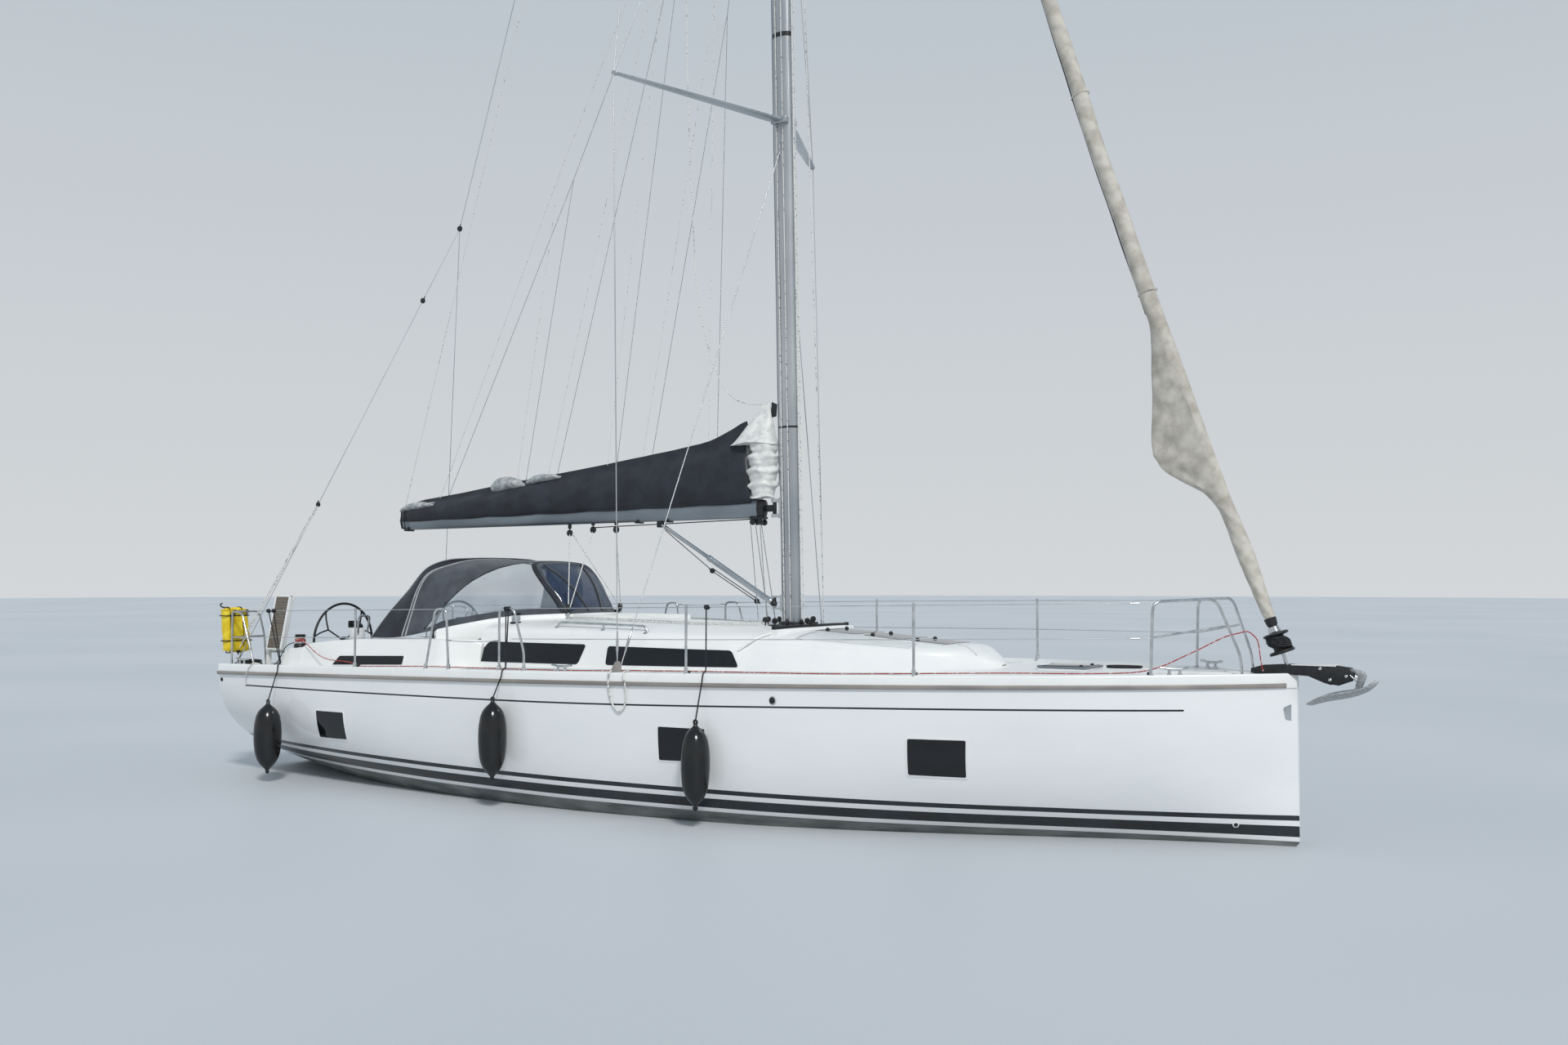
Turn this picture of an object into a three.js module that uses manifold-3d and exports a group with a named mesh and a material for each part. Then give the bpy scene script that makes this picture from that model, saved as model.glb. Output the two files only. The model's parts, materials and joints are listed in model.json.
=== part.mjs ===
// Sailing yacht, 12 m hull, afloat. Millimetres, +X to the bow, +Y to port, +Z up.
// The origin lies on the waterline, amidships, on the centreline.
import * as THREE from "three";
import manifoldModule from "manifold-3d";

const wasm = await manifoldModule();
wasm.setup();
const { Manifold, Mesh, CrossSection } = wasm;

// sizes
const GAP = 0.4; // between pieces that touch
const STERN = -6000;
const BOW = 6000;
const WIDEST_X = -1600;
const HALF_BEAM = 2085;
const SHEER = { stern: 1295, mid: 1408, bow: 1497 };
const GUNWALE = 130; // height of the moulded gunwale band
const BULWARK = 38; // rise of the gunwale over the side deck
const MAST = { x: 870, foot: 1878, top: 19850, rake: 0.0193, chord: 236, width: 132 };
const GOOSENECK = { x: 655, z: 3065 };
const WELL = { aft: -5860, step: -4350, fore: -2560, half: 420, helmHalf: 1435, seatHalf: 1225 };
const SOLE_Z = 820;
const SEAT_Z = 1210;

const group = new THREE.Group();
group.name = "sailing_yacht";

const COLOURS = {
  hull: 0xe9ebec,
  grey: 0x6b7075,
  black: 0x1b1d20,
  glass: 0x14181c,
  alloy: 0xc9ccd0,
  steel: 0xb9bcc0,
  navy: 0x1a2233,
  canvas: 0x3c3f44,
  taupe: 0x857f78,
  teak: 0x9b8468,
  yellow: 0xf2c21a,
  iron: 0x4a4e53,
  bronze: 0xa8844c,
};

// helpers
const lerp = (a, b, t) => a + (b - a) * t;
const clamp = (v, a, b) => Math.min(b, Math.max(a, v));
const rad = THREE.MathUtils.degToRad;

// The value at x of a line through the points [x, value].
function along(table, x) {
  if (x <= table[0][0]) return table[0][1];
  for (let i = 1; i < table.length; i++) {
    if (x <= table[i][0]) {
      const t = (x - table[i - 1][0]) / (table[i][0] - table[i - 1][0]);
      return lerp(table[i - 1][1], table[i][1], t);
    }
  }
  return table[table.length - 1][1];
}

// A closed skin through rings of the same number of points; `flat` gives a ring's two plane axes.
function loft(rings, flat = [1, 2]) {
  const n = rings[0].length;
  const tris = [];
  for (let i = 0; i + 1 < rings.length; i++) {
    for (let k = 0; k < n; k++) {
      const a = i * n + k;
      const b = i * n + ((k + 1) % n);
      tris.push(a, b, b + n, a, b + n, a + n);
    }
  }
  const cap = (ring, base, sameWay) => {
    const flatRing = ring.map((p) => new THREE.Vector2(p[flat[0]], p[flat[1]]));
    const ringArea = THREE.ShapeUtils.area(flatRing);
    for (const [p, q, r] of THREE.ShapeUtils.triangulateShape(flatRing, [])) {
      const triArea = THREE.ShapeUtils.area([flatRing[p], flatRing[q], flatRing[r]]);
      const keep = triArea * ringArea > 0 === sameWay;
      tris.push(base + p, base + (keep ? q : r), base + (keep ? r : q));
    }
  };
  cap(rings[0], 0, false);
  cap(rings[rings.length - 1], (rings.length - 1) * n, true);
  const made = new Manifold(
    new Mesh({
      numProp: 3,
      vertProperties: new Float32Array(rings.flat(2)),
      triVerts: new Uint32Array(tris),
    }),
  );
  return made.volume() > 0 ? made : flipped(rings, tris);
}

function flipped(rings, tris) {
  const turned = [];
  for (let i = 0; i < tris.length; i += 3) turned.push(tris[i], tris[i + 2], tris[i + 1]);
  return new Manifold(
    new Mesh({
      numProp: 3,
      vertProperties: new Float32Array(rings.flat(2)),
      triVerts: new Uint32Array(turned),
    }),
  );
}

const box = (x0, x1, y0, y1, z0, z1) =>
  Manifold.cube([x1 - x0, y1 - y0, z1 - z0]).translate([x0, y0, z0]);

// A cylinder between two points.
function rod(a, b, radius, sides = 8, radiusB = radius) {
  const from = new THREE.Vector3(...a);
  const to = new THREE.Vector3(...b);
  const length = from.distanceTo(to);
  const turn = new THREE.Quaternion().setFromUnitVectors(
    new THREE.Vector3(0, 0, 1),
    to.clone().sub(from).normalize(),
  );
  const matrix = new THREE.Matrix4().compose(from, turn, new THREE.Vector3(1, 1, 1));
  return Manifold.cylinder(length, radius, radiusB, sides).transform(matrix.elements);
}

// A bent tube: one ring per point, each in the plane that halves the corner.
function tube(points, radius, sides = 8, closed = false) {
  const pts = points.map((p) => new THREE.Vector3(...p));
  const count = pts.length;
  const rings = [];
  let side = null;
  for (let i = 0; i < count; i++) {
    const before = pts[closed ? (i + count - 1) % count : Math.max(i - 1, 0)];
    const after = pts[closed ? (i + 1) % count : Math.min(i + 1, count - 1)];
    const into = pts[i].clone().sub(before);
    const out = after.clone().sub(pts[i]);
    if (into.length() < 1e-6) into.copy(out);
    if (out.length() < 1e-6) out.copy(into);
    into.normalize();
    out.normalize();
    const ahead = into.clone().add(out).normalize();
    if (!side) {
      side = new THREE.Vector3(0, 0, 1).cross(ahead);
      if (side.length() < 0.2) side = new THREE.Vector3(1, 0, 0).cross(ahead);
    }
    side = side.clone().sub(ahead.clone().multiplyScalar(side.dot(ahead))).normalize();
    const up = ahead.clone().cross(side);
    const bend = into.clone().sub(out);
    const stretch = 1 / Math.max(0.4, into.dot(ahead));
    const bendDir = bend.length() > 1e-6 ? bend.normalize() : null;
    const ring = [];
    for (let k = 0; k < sides; k++) {
      const angle = (2 * Math.PI * (k + 0.5)) / sides;
      const off = side
        .clone()
        .multiplyScalar(Math.cos(angle) * radius)
        .add(up.clone().multiplyScalar(Math.sin(angle) * radius));
      if (bendDir) off.add(bendDir.clone().multiplyScalar(off.dot(bendDir) * (stretch - 1)));
      ring.push(pts[i].clone().add(off).toArray());
    }
    rings.push(ring);
  }
  return closed ? closedSkin(rings) : tubeSkin(rings);
}

function tubeSkin(rings) {
  const n = rings[0].length;
  const tris = [];
  for (let i = 0; i + 1 < rings.length; i++) addBand(tris, i * n, (i + 1) * n, n);
  const last = (rings.length - 1) * n;
  for (let k = 1; k + 1 < n; k++) {
    tris.push(0, k + 1, k);
    tris.push(last, last + k, last + k + 1);
  }
  return orient(rings, tris);
}

function closedSkin(rings) {
  const n = rings[0].length;
  const tris = [];
  for (let i = 0; i < rings.length; i++) addBand(tris, i * n, ((i + 1) % rings.length) * n, n);
  return orient(rings, tris);
}

function addBand(tris, from, to, n) {
  for (let k = 0; k < n; k++) {
    const next = (k + 1) % n;
    tris.push(from + k, from + next, to + next, from + k, to + next, to + k);
  }
}

function orient(rings, tris) {
  const made = new Manifold(
    new Mesh({
      numProp: 3,
      vertProperties: new Float32Array(rings.flat(2)),
      triVerts: new Uint32Array(tris),
    }),
  );
  return made.volume() > 0 ? made : flipped(rings, tris);
}

// An outline in X and Z, drawn out across the boat from y0 to y1.
function plate(outline, y0, y1) {
  const section = new CrossSection([outline], "NonZero");
  const area = section.area();
  const fixed = area > 0 ? section : new CrossSection([outline.slice().reverse()], "NonZero");
  // extrude runs along +Z; the turn takes Z to -Y and Y to Z
  return fixed.extrude(y1 - y0).rotate([90, 0, 0]).translate([0, y1, 0]);
}

// An outline in X and Y, drawn up from z0 to z1.
function slab(outline, z0, z1) {
  const section = new CrossSection([outline], "NonZero");
  const fixed =
    section.area() > 0 ? section : new CrossSection([outline.slice().reverse()], "NonZero");
  return fixed.extrude(z1 - z0).translate([0, 0, z0]);
}

function add(name, body, colour) {
  const mesh = body.simplify(0.05).getMesh();
  const n = mesh.numProp;
  const positions = new Float32Array(mesh.numVert * 3);
  for (let i = 0; i < mesh.numVert; i++) {
    positions.set(mesh.vertProperties.subarray(i * n, i * n + 3), i * 3);
  }
  const geometry = new THREE.BufferGeometry();
  geometry.setAttribute("position", new THREE.BufferAttribute(positions, 3));
  geometry.setIndex(new THREE.BufferAttribute(new Uint32Array(mesh.triVerts), 1));
  const flat = geometry.toNonIndexed();
  flat.computeVertexNormals();
  const made = new THREE.Mesh(
    flat,
    new THREE.MeshStandardMaterial({ color: colour, roughness: 0.6 }),
  );
  made.name = name;
  group.add(made);
}

const union = (list) => Manifold.union(list);
const mirrored = (body) => body.mirror([0, 1, 0]);

// hull lines
function sheerHalf(x) {
  if (x > WIDEST_X) {
    const u = (x - WIDEST_X) / (BOW - WIDEST_X);
    return Math.max(26, HALF_BEAM * Math.pow(Math.max(0, 1 - Math.pow(u, 2.25)), 0.82));
  }
  const u = (WIDEST_X - x) / (WIDEST_X - STERN);
  return HALF_BEAM - 210 * u * u;
}

function sheerHeight(x) {
  const u = x / 6000;
  const { stern, mid, bow } = SHEER;
  return mid + ((bow - stern) / 2) * u + ((bow + stern) / 2 - mid) * u * u;
}

const KEEL_LINE = [
  [-6000, -70],
  [-5200, -190],
  [-4000, -340],
  [-2500, -470],
  [-800, -540],
  [800, -530],
  [2400, -450],
  [3800, -330],
  [5000, -210],
  [5600, -140],
  [5850, -90],
  [5950, -40],
  [6000, 40],
];
const SIDE_POWER = [
  [-6000, 1.25],
  [-4000, 1.55],
  [-1500, 1.95],
  [1500, 1.95],
  [4000, 1.5],
  [6000, 1.2],
];
const DEPTH_POWER = [
  [-6000, 2.75],
  [-3500, 3.6],
  [-500, 4.2],
  [1500, 3.9],
  [4000, 2.7],
  [6000, 2.1],
];

// Half width of the hull's skin at a station and a height.
function hullHalf(x, z) {
  const top = sheerHeight(x);
  const keel = along(KEEL_LINE, x);
  const depth = clamp((top - z) / (top - keel), 0, 1);
  const m = along(DEPTH_POWER, x);
  const n = along(SIDE_POWER, x);
  return sheerHalf(x) * Math.pow(1 - Math.pow(depth, m), 1 / n);
}

const STATIONS = [
  -6000, -5600, -5100, -4500, -3800, -3000, -2200, -1400, -600, 200, 1000, 1700, 2400, 3000, 3500,
  4000, 4400, 4800, 5150, 5450, 5700, 5860, 5950, 6000,
];
const HALF_POINTS = 11;

// Half a hull section from the keel up to the gunwale's lower lip.
function halfSection(x) {
  const keel = along(KEEL_LINE, x);
  const lip = sheerHeight(x) - GUNWALE;
  const points = [[0, keel]];
  const top = sheerHeight(x);
  const m = along(DEPTH_POWER, x);
  const depthAtLip = (top - lip) / (top - keel);
  const start = Math.acos(Math.pow(depthAtLip, m / 2));
  for (let k = 1; k <= HALF_POINTS; k++) {
    const a = (start * k) / HALF_POINTS;
    const z = top - Math.pow(Math.cos(a), 2 / m) * (top - keel);
    points.push([hullHalf(x, z), z]);
  }
  return points;
}

function ringBothSides(x, half) {
  const right = half.map(([y, z]) => [x, -y, z]);
  const left = half
    .slice()
    .reverse()
    .filter(([y]) => y > 1e-6)
    .map(([y, z]) => [x, y, z]);
  return [...right, ...left];
}

// The deck moulding's section: gunwale band, its inner edge, then the cambered deck.
function deckSection(x) {
  const top = sheerHeight(x);
  const lip = top - GUNWALE + GAP;
  const out = hullHalf(x, lip) + 14;
  const edge = sheerHalf(x) + 6;
  const inner = Math.max(edge - 62, 5);
  const deck = top - BULWARK;
  return [
    [out - 10, lip],
    [out, lip + 10],
    [edge, top - 12],
    [edge - 10, top],
    [inner + 6, top],
    [inner, deck],
    [inner * 0.5, deck + 22],
    [0, deck + 34],
  ];
}

function deckRing(x) {
  const half = deckSection(x);
  const right = half.map(([y, z]) => [x, -y, z]);
  const left = half
    .slice(0, -1)
    .reverse()
    .map(([y, z]) => [x, y, z]);
  return [...right, ...left];
}

const deckHeight = (x) => sheerHeight(x) - BULWARK;

// coachroof
const ROOF = [
  // x, half width at the deck, half width at the shoulder, shoulder height, crown height
  [-2450, 1265, 1150, 1700, 1862],
  [-1500, 1265, 1135, 1700, 1868],
  [-600, 1245, 1100, 1692, 1854],
  [300, 1200, 1040, 1680, 1830],
  [1000, 1130, 960, 1660, 1804],
  [1663, 1040, 860, 1634, 1764],
  [2309, 930, 745, 1606, 1712],
  [2600, 860, 670, 1592, 1688],
  [2800, 795, 590, 1582, 1674],
  [2970, 700, 470, 1564, 1660],
  [3100, 560, 320, 1530, 1598],
  [3240, 300, 110, 1484, 1512],
];

function roofRing([x, base, shoulder, shoulderZ, crown], grow) {
  const low = deckHeight(x) - 60;
  const b = base + grow;
  const s = shoulder + grow;
  const half = [
    [b + 14, low],
    [b, deckHeight(x) + 10],
    [s, shoulderZ],
    [s - 70, shoulderZ + 52 * ((crown - shoulderZ) / 170)],
    [s * 0.5, lerp(shoulderZ, crown, 0.78)],
    [0, crown + Math.max(0, grow)],
  ];
  const right = half.map(([y, z]) => [x, -y, z]);
  const left = half
    .slice(0, -1)
    .reverse()
    .map(([y, z]) => [x, y, z]);
  return [...right, ...left];
}

const roofBody = (grow) => loft(ROOF.map((row) => roofRing(row, grow)));

// coamings
const COAMING = [
  // x, outer foot, outer top, inner face, top height
  [-5230, 1600, 1570, 1450, 1395],
  [-5110, 1606, 1580, 1448, 1484],
  [-5080, 1608, 1582, 1448, 1502],
  [-4895, 1610, 1578, 1447, 1506],
  [-4830, 1610, 1545, 1446, 1552],
  [-4400, 1610, 1535, 1440, 1596],
  [-4000, 1585, 1500, 1270, 1616],
  [-2780, 1530, 1445, 1240, 1640],
  [-2600, 1440, 1370, 1240, 1640],
  [-2440, 1310, 1285, 1240, 1570],
];
const coaming = loft(
  COAMING.map(([x, foot, top, inner, z]) => [
    [x, foot, deckHeight(x) - 80],
    [x, foot, deckHeight(x) + 8],
    [x, top + 12, z - 26],
    [x, top - 14, z],
    [x, inner + 14, z],
    [x, inner, z - 16],
    [x, inner, deckHeight(x) - 80],
  ]),
);

// hull and deck
const hullRings = STATIONS.map((x) => ringBothSides(x, halfSection(x)));
let hull = loft(hullRings);
function tubOuter(grow) {
  const bottom = SOLE_Z - 60 - grow;
  const helm = 1480 + grow;
  const seats = 1270 + grow;
  return union([
    box(WELL.aft - 60 - grow, WELL.step + 40 + grow, -helm, helm, bottom, 1420),
    box(WELL.step - 100, WELL.fore + 60 + grow, -seats, seats, bottom, 1420),
  ]);
}
const wellSpace = union([
  box(WELL.aft, WELL.step, -WELL.helmHalf, WELL.helmHalf, SOLE_Z, 2600),
  box(WELL.step - 10, WELL.fore, -WELL.half, WELL.half, SOLE_Z, 2600),
  box(WELL.step - 10, WELL.fore, -WELL.seatHalf, WELL.seatHalf, SEAT_Z, 2600),
]);
const transomGate = box(-6200, WELL.aft + 10, -560, 560, SOLE_Z, 2600);
const platformRecess = box(-6200, -5940, -760, 760, 430, 2600);
hull = hull.subtract(tubOuter(GAP)).subtract(transomGate).subtract(platformRecess);

let deck = loft(STATIONS.map((x) => deckRing(x)));
const tubShell = tubOuter(0).intersect(box(-5930, -2400, -1480, 1480, 700, 1240));
deck = union([deck, tubShell, roofBody(0), coaming, mirrored(coaming)]);
deck = deck.subtract(wellSpace).subtract(transomGate).subtract(platformRecess);

// companionway: an opening in the roof's aft face and top
const companion = box(-2700, -1750, -330, 330, 1240, 2300);
deck = deck.subtract(companion);

// side windows of the coachroof, let into its skin
const glassOuter = roofBody(3);
const glassInner = roofBody(-14);
const seatInner = roofBody(-14 - GAP);
const WINDOWS = [
  ["window_saloon_aft", [[-2395, 1412], [-2290, 1615], [-990, 1622], [-1040, 1412]]],
  ["window_saloon_forward", [[-690, 1428], [-660, 1620], [790, 1600], [930, 1470], [860, 1440]]],
];
const glazing = [];
for (const [name, outline] of WINDOWS) {
  const grown = new CrossSection([outline], "NonZero");
  const right = grown.area() > 0 ? grown : new CrossSection([outline.slice().reverse()], "NonZero");
  const wide = right.offset(GAP, "Miter");
  const pane = right.extrude(900).rotate([90, 0, 0]).translate([0, -700, 0]);
  const pocket = wide.extrude(900).rotate([90, 0, 0]).translate([0, -700, 0]);
  const glass = glassOuter.subtract(glassInner).intersect(pane);
  const seat = roofBody(20).subtract(seatInner).intersect(pocket);
  deck = deck.subtract(seat).subtract(mirrored(seat));
  glazing.push([name + "_starboard", glass], [name + "_port", mirrored(glass)]);
}

// Each helm seat folds on a pin between two lugs at the deck's inner edge.
const SEAT = { x0: -5570, x1: -5308, y: 1465, z: 1430, length: 680, thick: 84 };
const seatLug = (x) => box(x, x + 30, -1510, -SEAT.y + 16, 1230, SEAT.z + 16);
const seatLugs = union([seatLug(SEAT.x0 - 12 - GAP - 30), seatLug(SEAT.x1 + 12 + GAP)]);

// The frame under the forward hatch and the runners of the sliding hatch stand on the deck.
const HATCH_Z = deckHeight(4180) + 42;
const LID_Z = deckHeight(5150) + 34;
const LID_THICK = 18;
const lidOutline = (grow) => [
  [4880 - GAP, -300 - grow],
  [5480 + grow, -120 - grow],
  [5480 + grow, 120 + grow],
  [4880 - GAP, 300 + grow],
];
const lockerPocket = union([
  slab(lidOutline(10), LID_Z + 4 - LID_THICK - GAP, LID_Z + 100),
  slab(
    [
      [4930, -250],
      [5440, -95],
      [5440, 95],
      [4930, 250],
    ],
    LID_Z - 90,
    LID_Z + 100,
  ),
]);
deck = union([
  deck,
  seatLugs,
  mirrored(seatLugs),
  box(3705, 4175, -235, 235, HATCH_Z - 80, HATCH_Z),
  box(-2430, -700, 345, 375, 1800, 1905),
  box(-2430, -700, -375, -345, 1800, 1905),
]).subtract(lockerPocket);
const NUDGES = [
  [0, 0, GAP],
  [0, GAP, 0],
  [0, -GAP, 0],
  [GAP, 0, 0],
  [-GAP, 0, 0],
];
// Cuts a body where it would enter another, with the gap left on every side.
const clearOf = (body, other) =>
  NUDGES.reduce((rest, move) => rest.subtract(other.translate(move)), body);
const onDeck = (body) => clearOf(body, deck);

// keel, rudder, drive
const foil = (chord, thick, n = 8) => {
  const points = [];
  for (let i = 0; i <= n; i++) {
    const u = i / n;
    const c = 0.5 - 0.5 * Math.cos(Math.PI * u);
    const t = thick * 1.46 * (Math.sqrt(c) * 1.03 - c * 0.99) + 1.5;
    points.push([c * chord, t]);
  }
  const back = points
    .slice(1, -1)
    .reverse()
    .map(([x, y]) => [x, -y]);
  return [...points, ...back];
};

function fin(levels) {
  return loft(
    levels.map(([z, lead, chord, thick]) => foil(chord, thick).map(([c, t]) => [lead - c, t, z])),
    [0, 1],
  );
}

const keelFin = fin([
  [-1700, 560, 900, 62],
  [-1200, 640, 1040, 70],
  [-560, 760, 1240, 82],
  [-420, 790, 1290, 84],
]);
const bulb = (grow) => {
  const rings = [
    [900, 10],
    [820, 70],
    [600, 128],
    [200, 170],
    [-300, 172],
    [-800, 130],
    [-1200, 62],
    [-1350, 12],
  ].map(([x, r]) =>
    Array.from({ length: 12 }, (_, k) => {
      const a = (2 * Math.PI * k) / 12;
      return [x, Math.cos(a) * (r * 1.25 + grow), -1900 + Math.sin(a) * (r + grow)];
    }),
  );
  return loft(rings);
};
const keelBottom = fin([
  [-1900, 540, 880, 60],
  [-1690, 562, 902, 62],
]);
const keel = union([keelFin, keelBottom, bulb(0)]);
const keelSocket = fin([
  [-700, 745, 1222, 83],
  [-419, 792, 1295, 86],
]);
hull = hull.subtract(keelSocket);

const RUDDER_X = -5080;
const rudderBlade = fin([
  [-1720, RUDDER_X + 95, 360, 26],
  [-1000, RUDDER_X + 120, 480, 36],
  [-330, RUDDER_X + 135, 560, 44],
]);
const rudderStock = rod([RUDDER_X, 0, -340], [RUDDER_X, 0, 640], 38, 24);
const rudder = union([rudderBlade, rudderStock]);
hull = hull.subtract(rod([RUDDER_X, 0, -900], [RUDDER_X, 0, 700], 38.6, 24));
// flat top of the blade needs room under the hull
const rudderRoom = rod([RUDDER_X, 0, -345], [RUDDER_X, 0, -150], 150, 12);
hull = hull.subtract(rudderRoom.intersect(box(-7000, 0, -400, 400, -346, -300)));

const DRIVE_X = -2700;
const SHAFT_Z = -860;
const driveLeg = union([
  fin([
    [-940, DRIVE_X + 110, 250, 44],
    [-700, DRIVE_X + 120, 270, 46],
    [-300, DRIVE_X + 130, 300, 50],
  ]),
  rod([DRIVE_X + 170, 0, SHAFT_Z], [DRIVE_X + 40, 0, SHAFT_Z], 20, 12, 66),
  rod([DRIVE_X + 40, 0, SHAFT_Z], [DRIVE_X - 190, 0, SHAFT_Z], 66, 12, 56),
]);
hull = hull.subtract(
  fin([
    [-700, DRIVE_X + 121, 272, 47],
    [-299, DRIVE_X + 131, 303, 52],
  ]),
);
const HUB_X = DRIVE_X - 190 - GAP;
const propBlade = loft(
  [
    [40, 46, 58],
    [110, 84, 44],
    [170, 92, 32],
    [222, 60, 24],
    [236, 22, 22],
  ].map(([r, chord, pitch]) => {
    const a = rad(pitch);
    const c = Math.cos(a);
    const s = Math.sin(a);
    const around = [
      [chord / 2, 0],
      [0, 5],
      [-chord / 2, 0],
      [0, -5],
    ];
    return around.map(([u, t]) => [HUB_X - 40 + u * s + t * c, u * c - t * s, r]);
  }),
  [0, 1],
);
const propeller = union([
  rod([HUB_X, 0, 0], [HUB_X - 80, 0, 0], 54, 16, 46),
  rod([HUB_X - 79, 0, 0], [HUB_X - 130, 0, 0], 46, 16, 12),
  propBlade,
  propBlade.rotate([120, 0, 0]),
  propBlade.rotate([240, 0, 0]),
]).translate([0, 0, SHAFT_Z]);

// mast and rigging
const mastX = (z) => MAST.x - MAST.rake * (z - MAST.foot);

function ellipse(cx, cy, z, a, b, n = 12) {
  return Array.from({ length: n }, (_, k) => {
    const t = (2 * Math.PI * (k + 0.5)) / n;
    return [cx + Math.cos(t) * a, cy + Math.sin(t) * b, z];
  });
}

const mast = union([
  loft(
    [1760, 12000, 17000, 18500, MAST.top].map((z) => {
      const k = along([[17000, 1], [19850, 0.72]], z);
      return ellipse(mastX(z), 0, z, (MAST.chord / 2) * k, (MAST.width / 2) * k);
    }),
    [0, 1],
  ),
  box(mastX(19800) - 210, mastX(19800) + 170, -16, 16, 19790, 19846),
]);
const SPREADERS = [
  { root: 7200, tipZ: 7300, tipX: -10, tipY: 1930, chord: 175 },
  { root: 12650, tipZ: 12740, tipX: 60, tipY: 1240, chord: 150 },
];
function spreader({ root, tipZ, tipX, tipY, chord }) {
  const rootX = mastX(root);
  const y0 = MAST.width / 2 - 20;
  const stations = [0, 0.5, 1].map((t) => {
    const x = lerp(rootX, tipX, t);
    const y = -lerp(y0, tipY, t);
    const z = lerp(root, tipZ, t);
    const c = lerp(chord, chord * 0.5, t) / 2;
    const h = lerp(26, 14, t);
    return [
      [x + c, y, z],
      [x + c * 0.4, y, z + h],
      [x - c * 0.6, y, z + h * 0.7],
      [x - c, y, z],
      [x - c * 0.6, y, z - h * 0.7],
      [x + c * 0.4, y, z - h],
    ];
  });
  return loft(stations, [0, 2]);
}
const spreaders = SPREADERS.map((row) => clearOf(spreader(row), mast));

const CHAIN_X = 108;
const CHAIN_Y = sheerHalf(CHAIN_X) - 34;
const CHAIN_Z = sheerHeight(CHAIN_X);
const wire = 5.5;
const low = SPREADERS[0];
const high = SPREADERS[1];
const tipOff = 12;
const capRig = (side) => {
  const chain = [CHAIN_X, side * CHAIN_Y, CHAIN_Z + 330];
  const lowTip = [low.tipX, side * (low.tipY + tipOff), low.tipZ];
  const highTip = [high.tipX, side * (high.tipY + tipOff), high.tipZ];
  const z = 18000;
  const mastTop = [mastX(z) - 20, side * 30, z];
  const lowRoot = [mastX(6950) - 10, side * 30, 6950];
  const highRoot = [mastX(12400) - 10, side * 30, 12400];
  const bootY = side * (CHAIN_Y - 7);
  return union([
    tube([[CHAIN_X, side * CHAIN_Y, CHAIN_Z - 30], chain, lowTip], wire, 6),
    tube([lowTip, highTip], wire, 6),
    tube([highTip, mastTop], wire, 6),
    tube([[lowTip[0] + 2, lowTip[1] - side * 4, lowTip[2] + 6], highRoot], wire - 1.5, 6),
    tube([[CHAIN_X + 10, side * (CHAIN_Y - 14), CHAIN_Z - 30], lowRoot], wire, 6),
    rod([CHAIN_X + 4, bootY, CHAIN_Z - 20], [CHAIN_X + 4, bootY, CHAIN_Z + 190], 26, 8),
  ]);
};

// backstay: one wire to the block, then the two legs of the bridle
const BACK_BLOCK = [-3971, 0, 6659];
const QUARTER = [-5915, 1706];
const quarterZ = sheerHeight(-5900) - BULWARK - 10;
const backstay = union([
  tube([[mastX(19800) - 200, 0, 19787], BACK_BLOCK], wire, 6),
  rod([BACK_BLOCK[0], -14, BACK_BLOCK[2]], [BACK_BLOCK[0], 14, BACK_BLOCK[2]], 46, 10),
  tube([BACK_BLOCK, [QUARTER[0], QUARTER[1], quarterZ]], wire, 6),
  tube([BACK_BLOCK, [QUARTER[0], -QUARTER[1], quarterZ]], wire, 6),
]);

// forestay with the furled jib in its cover, the drum under it
const STAY_TOP_Z = 17200;
const STAY_FOOT = [5955, 1440];
const STAY_SAG = [
  // height, how far the stay hangs aft of the straight line
  [1440, 0],
  [1965, 8],
  [3500, 60],
  [5000, 77],
  [6460, 70],
  [7900, 30],
  [10000, 0],
];
function stayX(z) {
  const top = mastX(STAY_TOP_Z) + MAST.chord / 2 + 16;
  const straight = lerp(STAY_FOOT[0], top, (z - STAY_FOOT[1]) / (STAY_TOP_Z - STAY_FOOT[1]));
  return straight - along(STAY_SAG, z);
}
const JIB = [
  // height, half width across the boat, forward reach, aft reach
  [1945, 34, 34, 34],
  [1970, 50, 50, 50],
  [2060, 61, 62, 62],
  [2500, 80, 82, 84],
  [2960, 74, 76, 86],
  [3080, 68, 72, 150],
  [3330, 66, 70, 460],
  [3500, 68, 72, 467],
  [3900, 68, 76, 332],
  [4500, 74, 78, 128],
  [4680, 75, 78, 80],
  [6400, 76, 80, 80],
  [7900, 70, 74, 74],
  [12000, 58, 60, 60],
  [16200, 34, 36, 36],
];
const jibRings = JIB.map(([z, half, fore, aft]) =>
  Array.from({ length: 10 }, (_, k) => {
    const a = (2 * Math.PI * k) / 10;
    const c = Math.cos(a);
    return [stayX(z) + (c > 0 ? c * fore : c * aft), Math.sin(a) * half, z];
  }),
);
const jib = union([
  loft(jibRings, [0, 1]),
  tube([[stayX(1880), 0, 1880], [stayX(2100), 0, 2100]], 16, 8),
  tube([[stayX(16100), 0, 16100], [mastX(17250), 0, 17250]], 8, 8),
]);
const stayPoint = (z, off = 0) => [stayX(z) + off, 0, z];
const furler = union([
  rod(stayPoint(1662), stayPoint(1690), 110, 16),
  rod(stayPoint(1689), stayPoint(1825), 64, 16),
  rod(stayPoint(1824), stayPoint(1850), 110, 16),
  rod(stayPoint(1849), stayPoint(1880 - GAP * 2), 30, 12),
  rod(stayPoint(1490), stayPoint(1663), 16, 8),
  rod([stayX(1505), -58 + GAP, 1505], [stayX(1505), 58 - GAP, 1505], 11, 8),
]);

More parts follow.
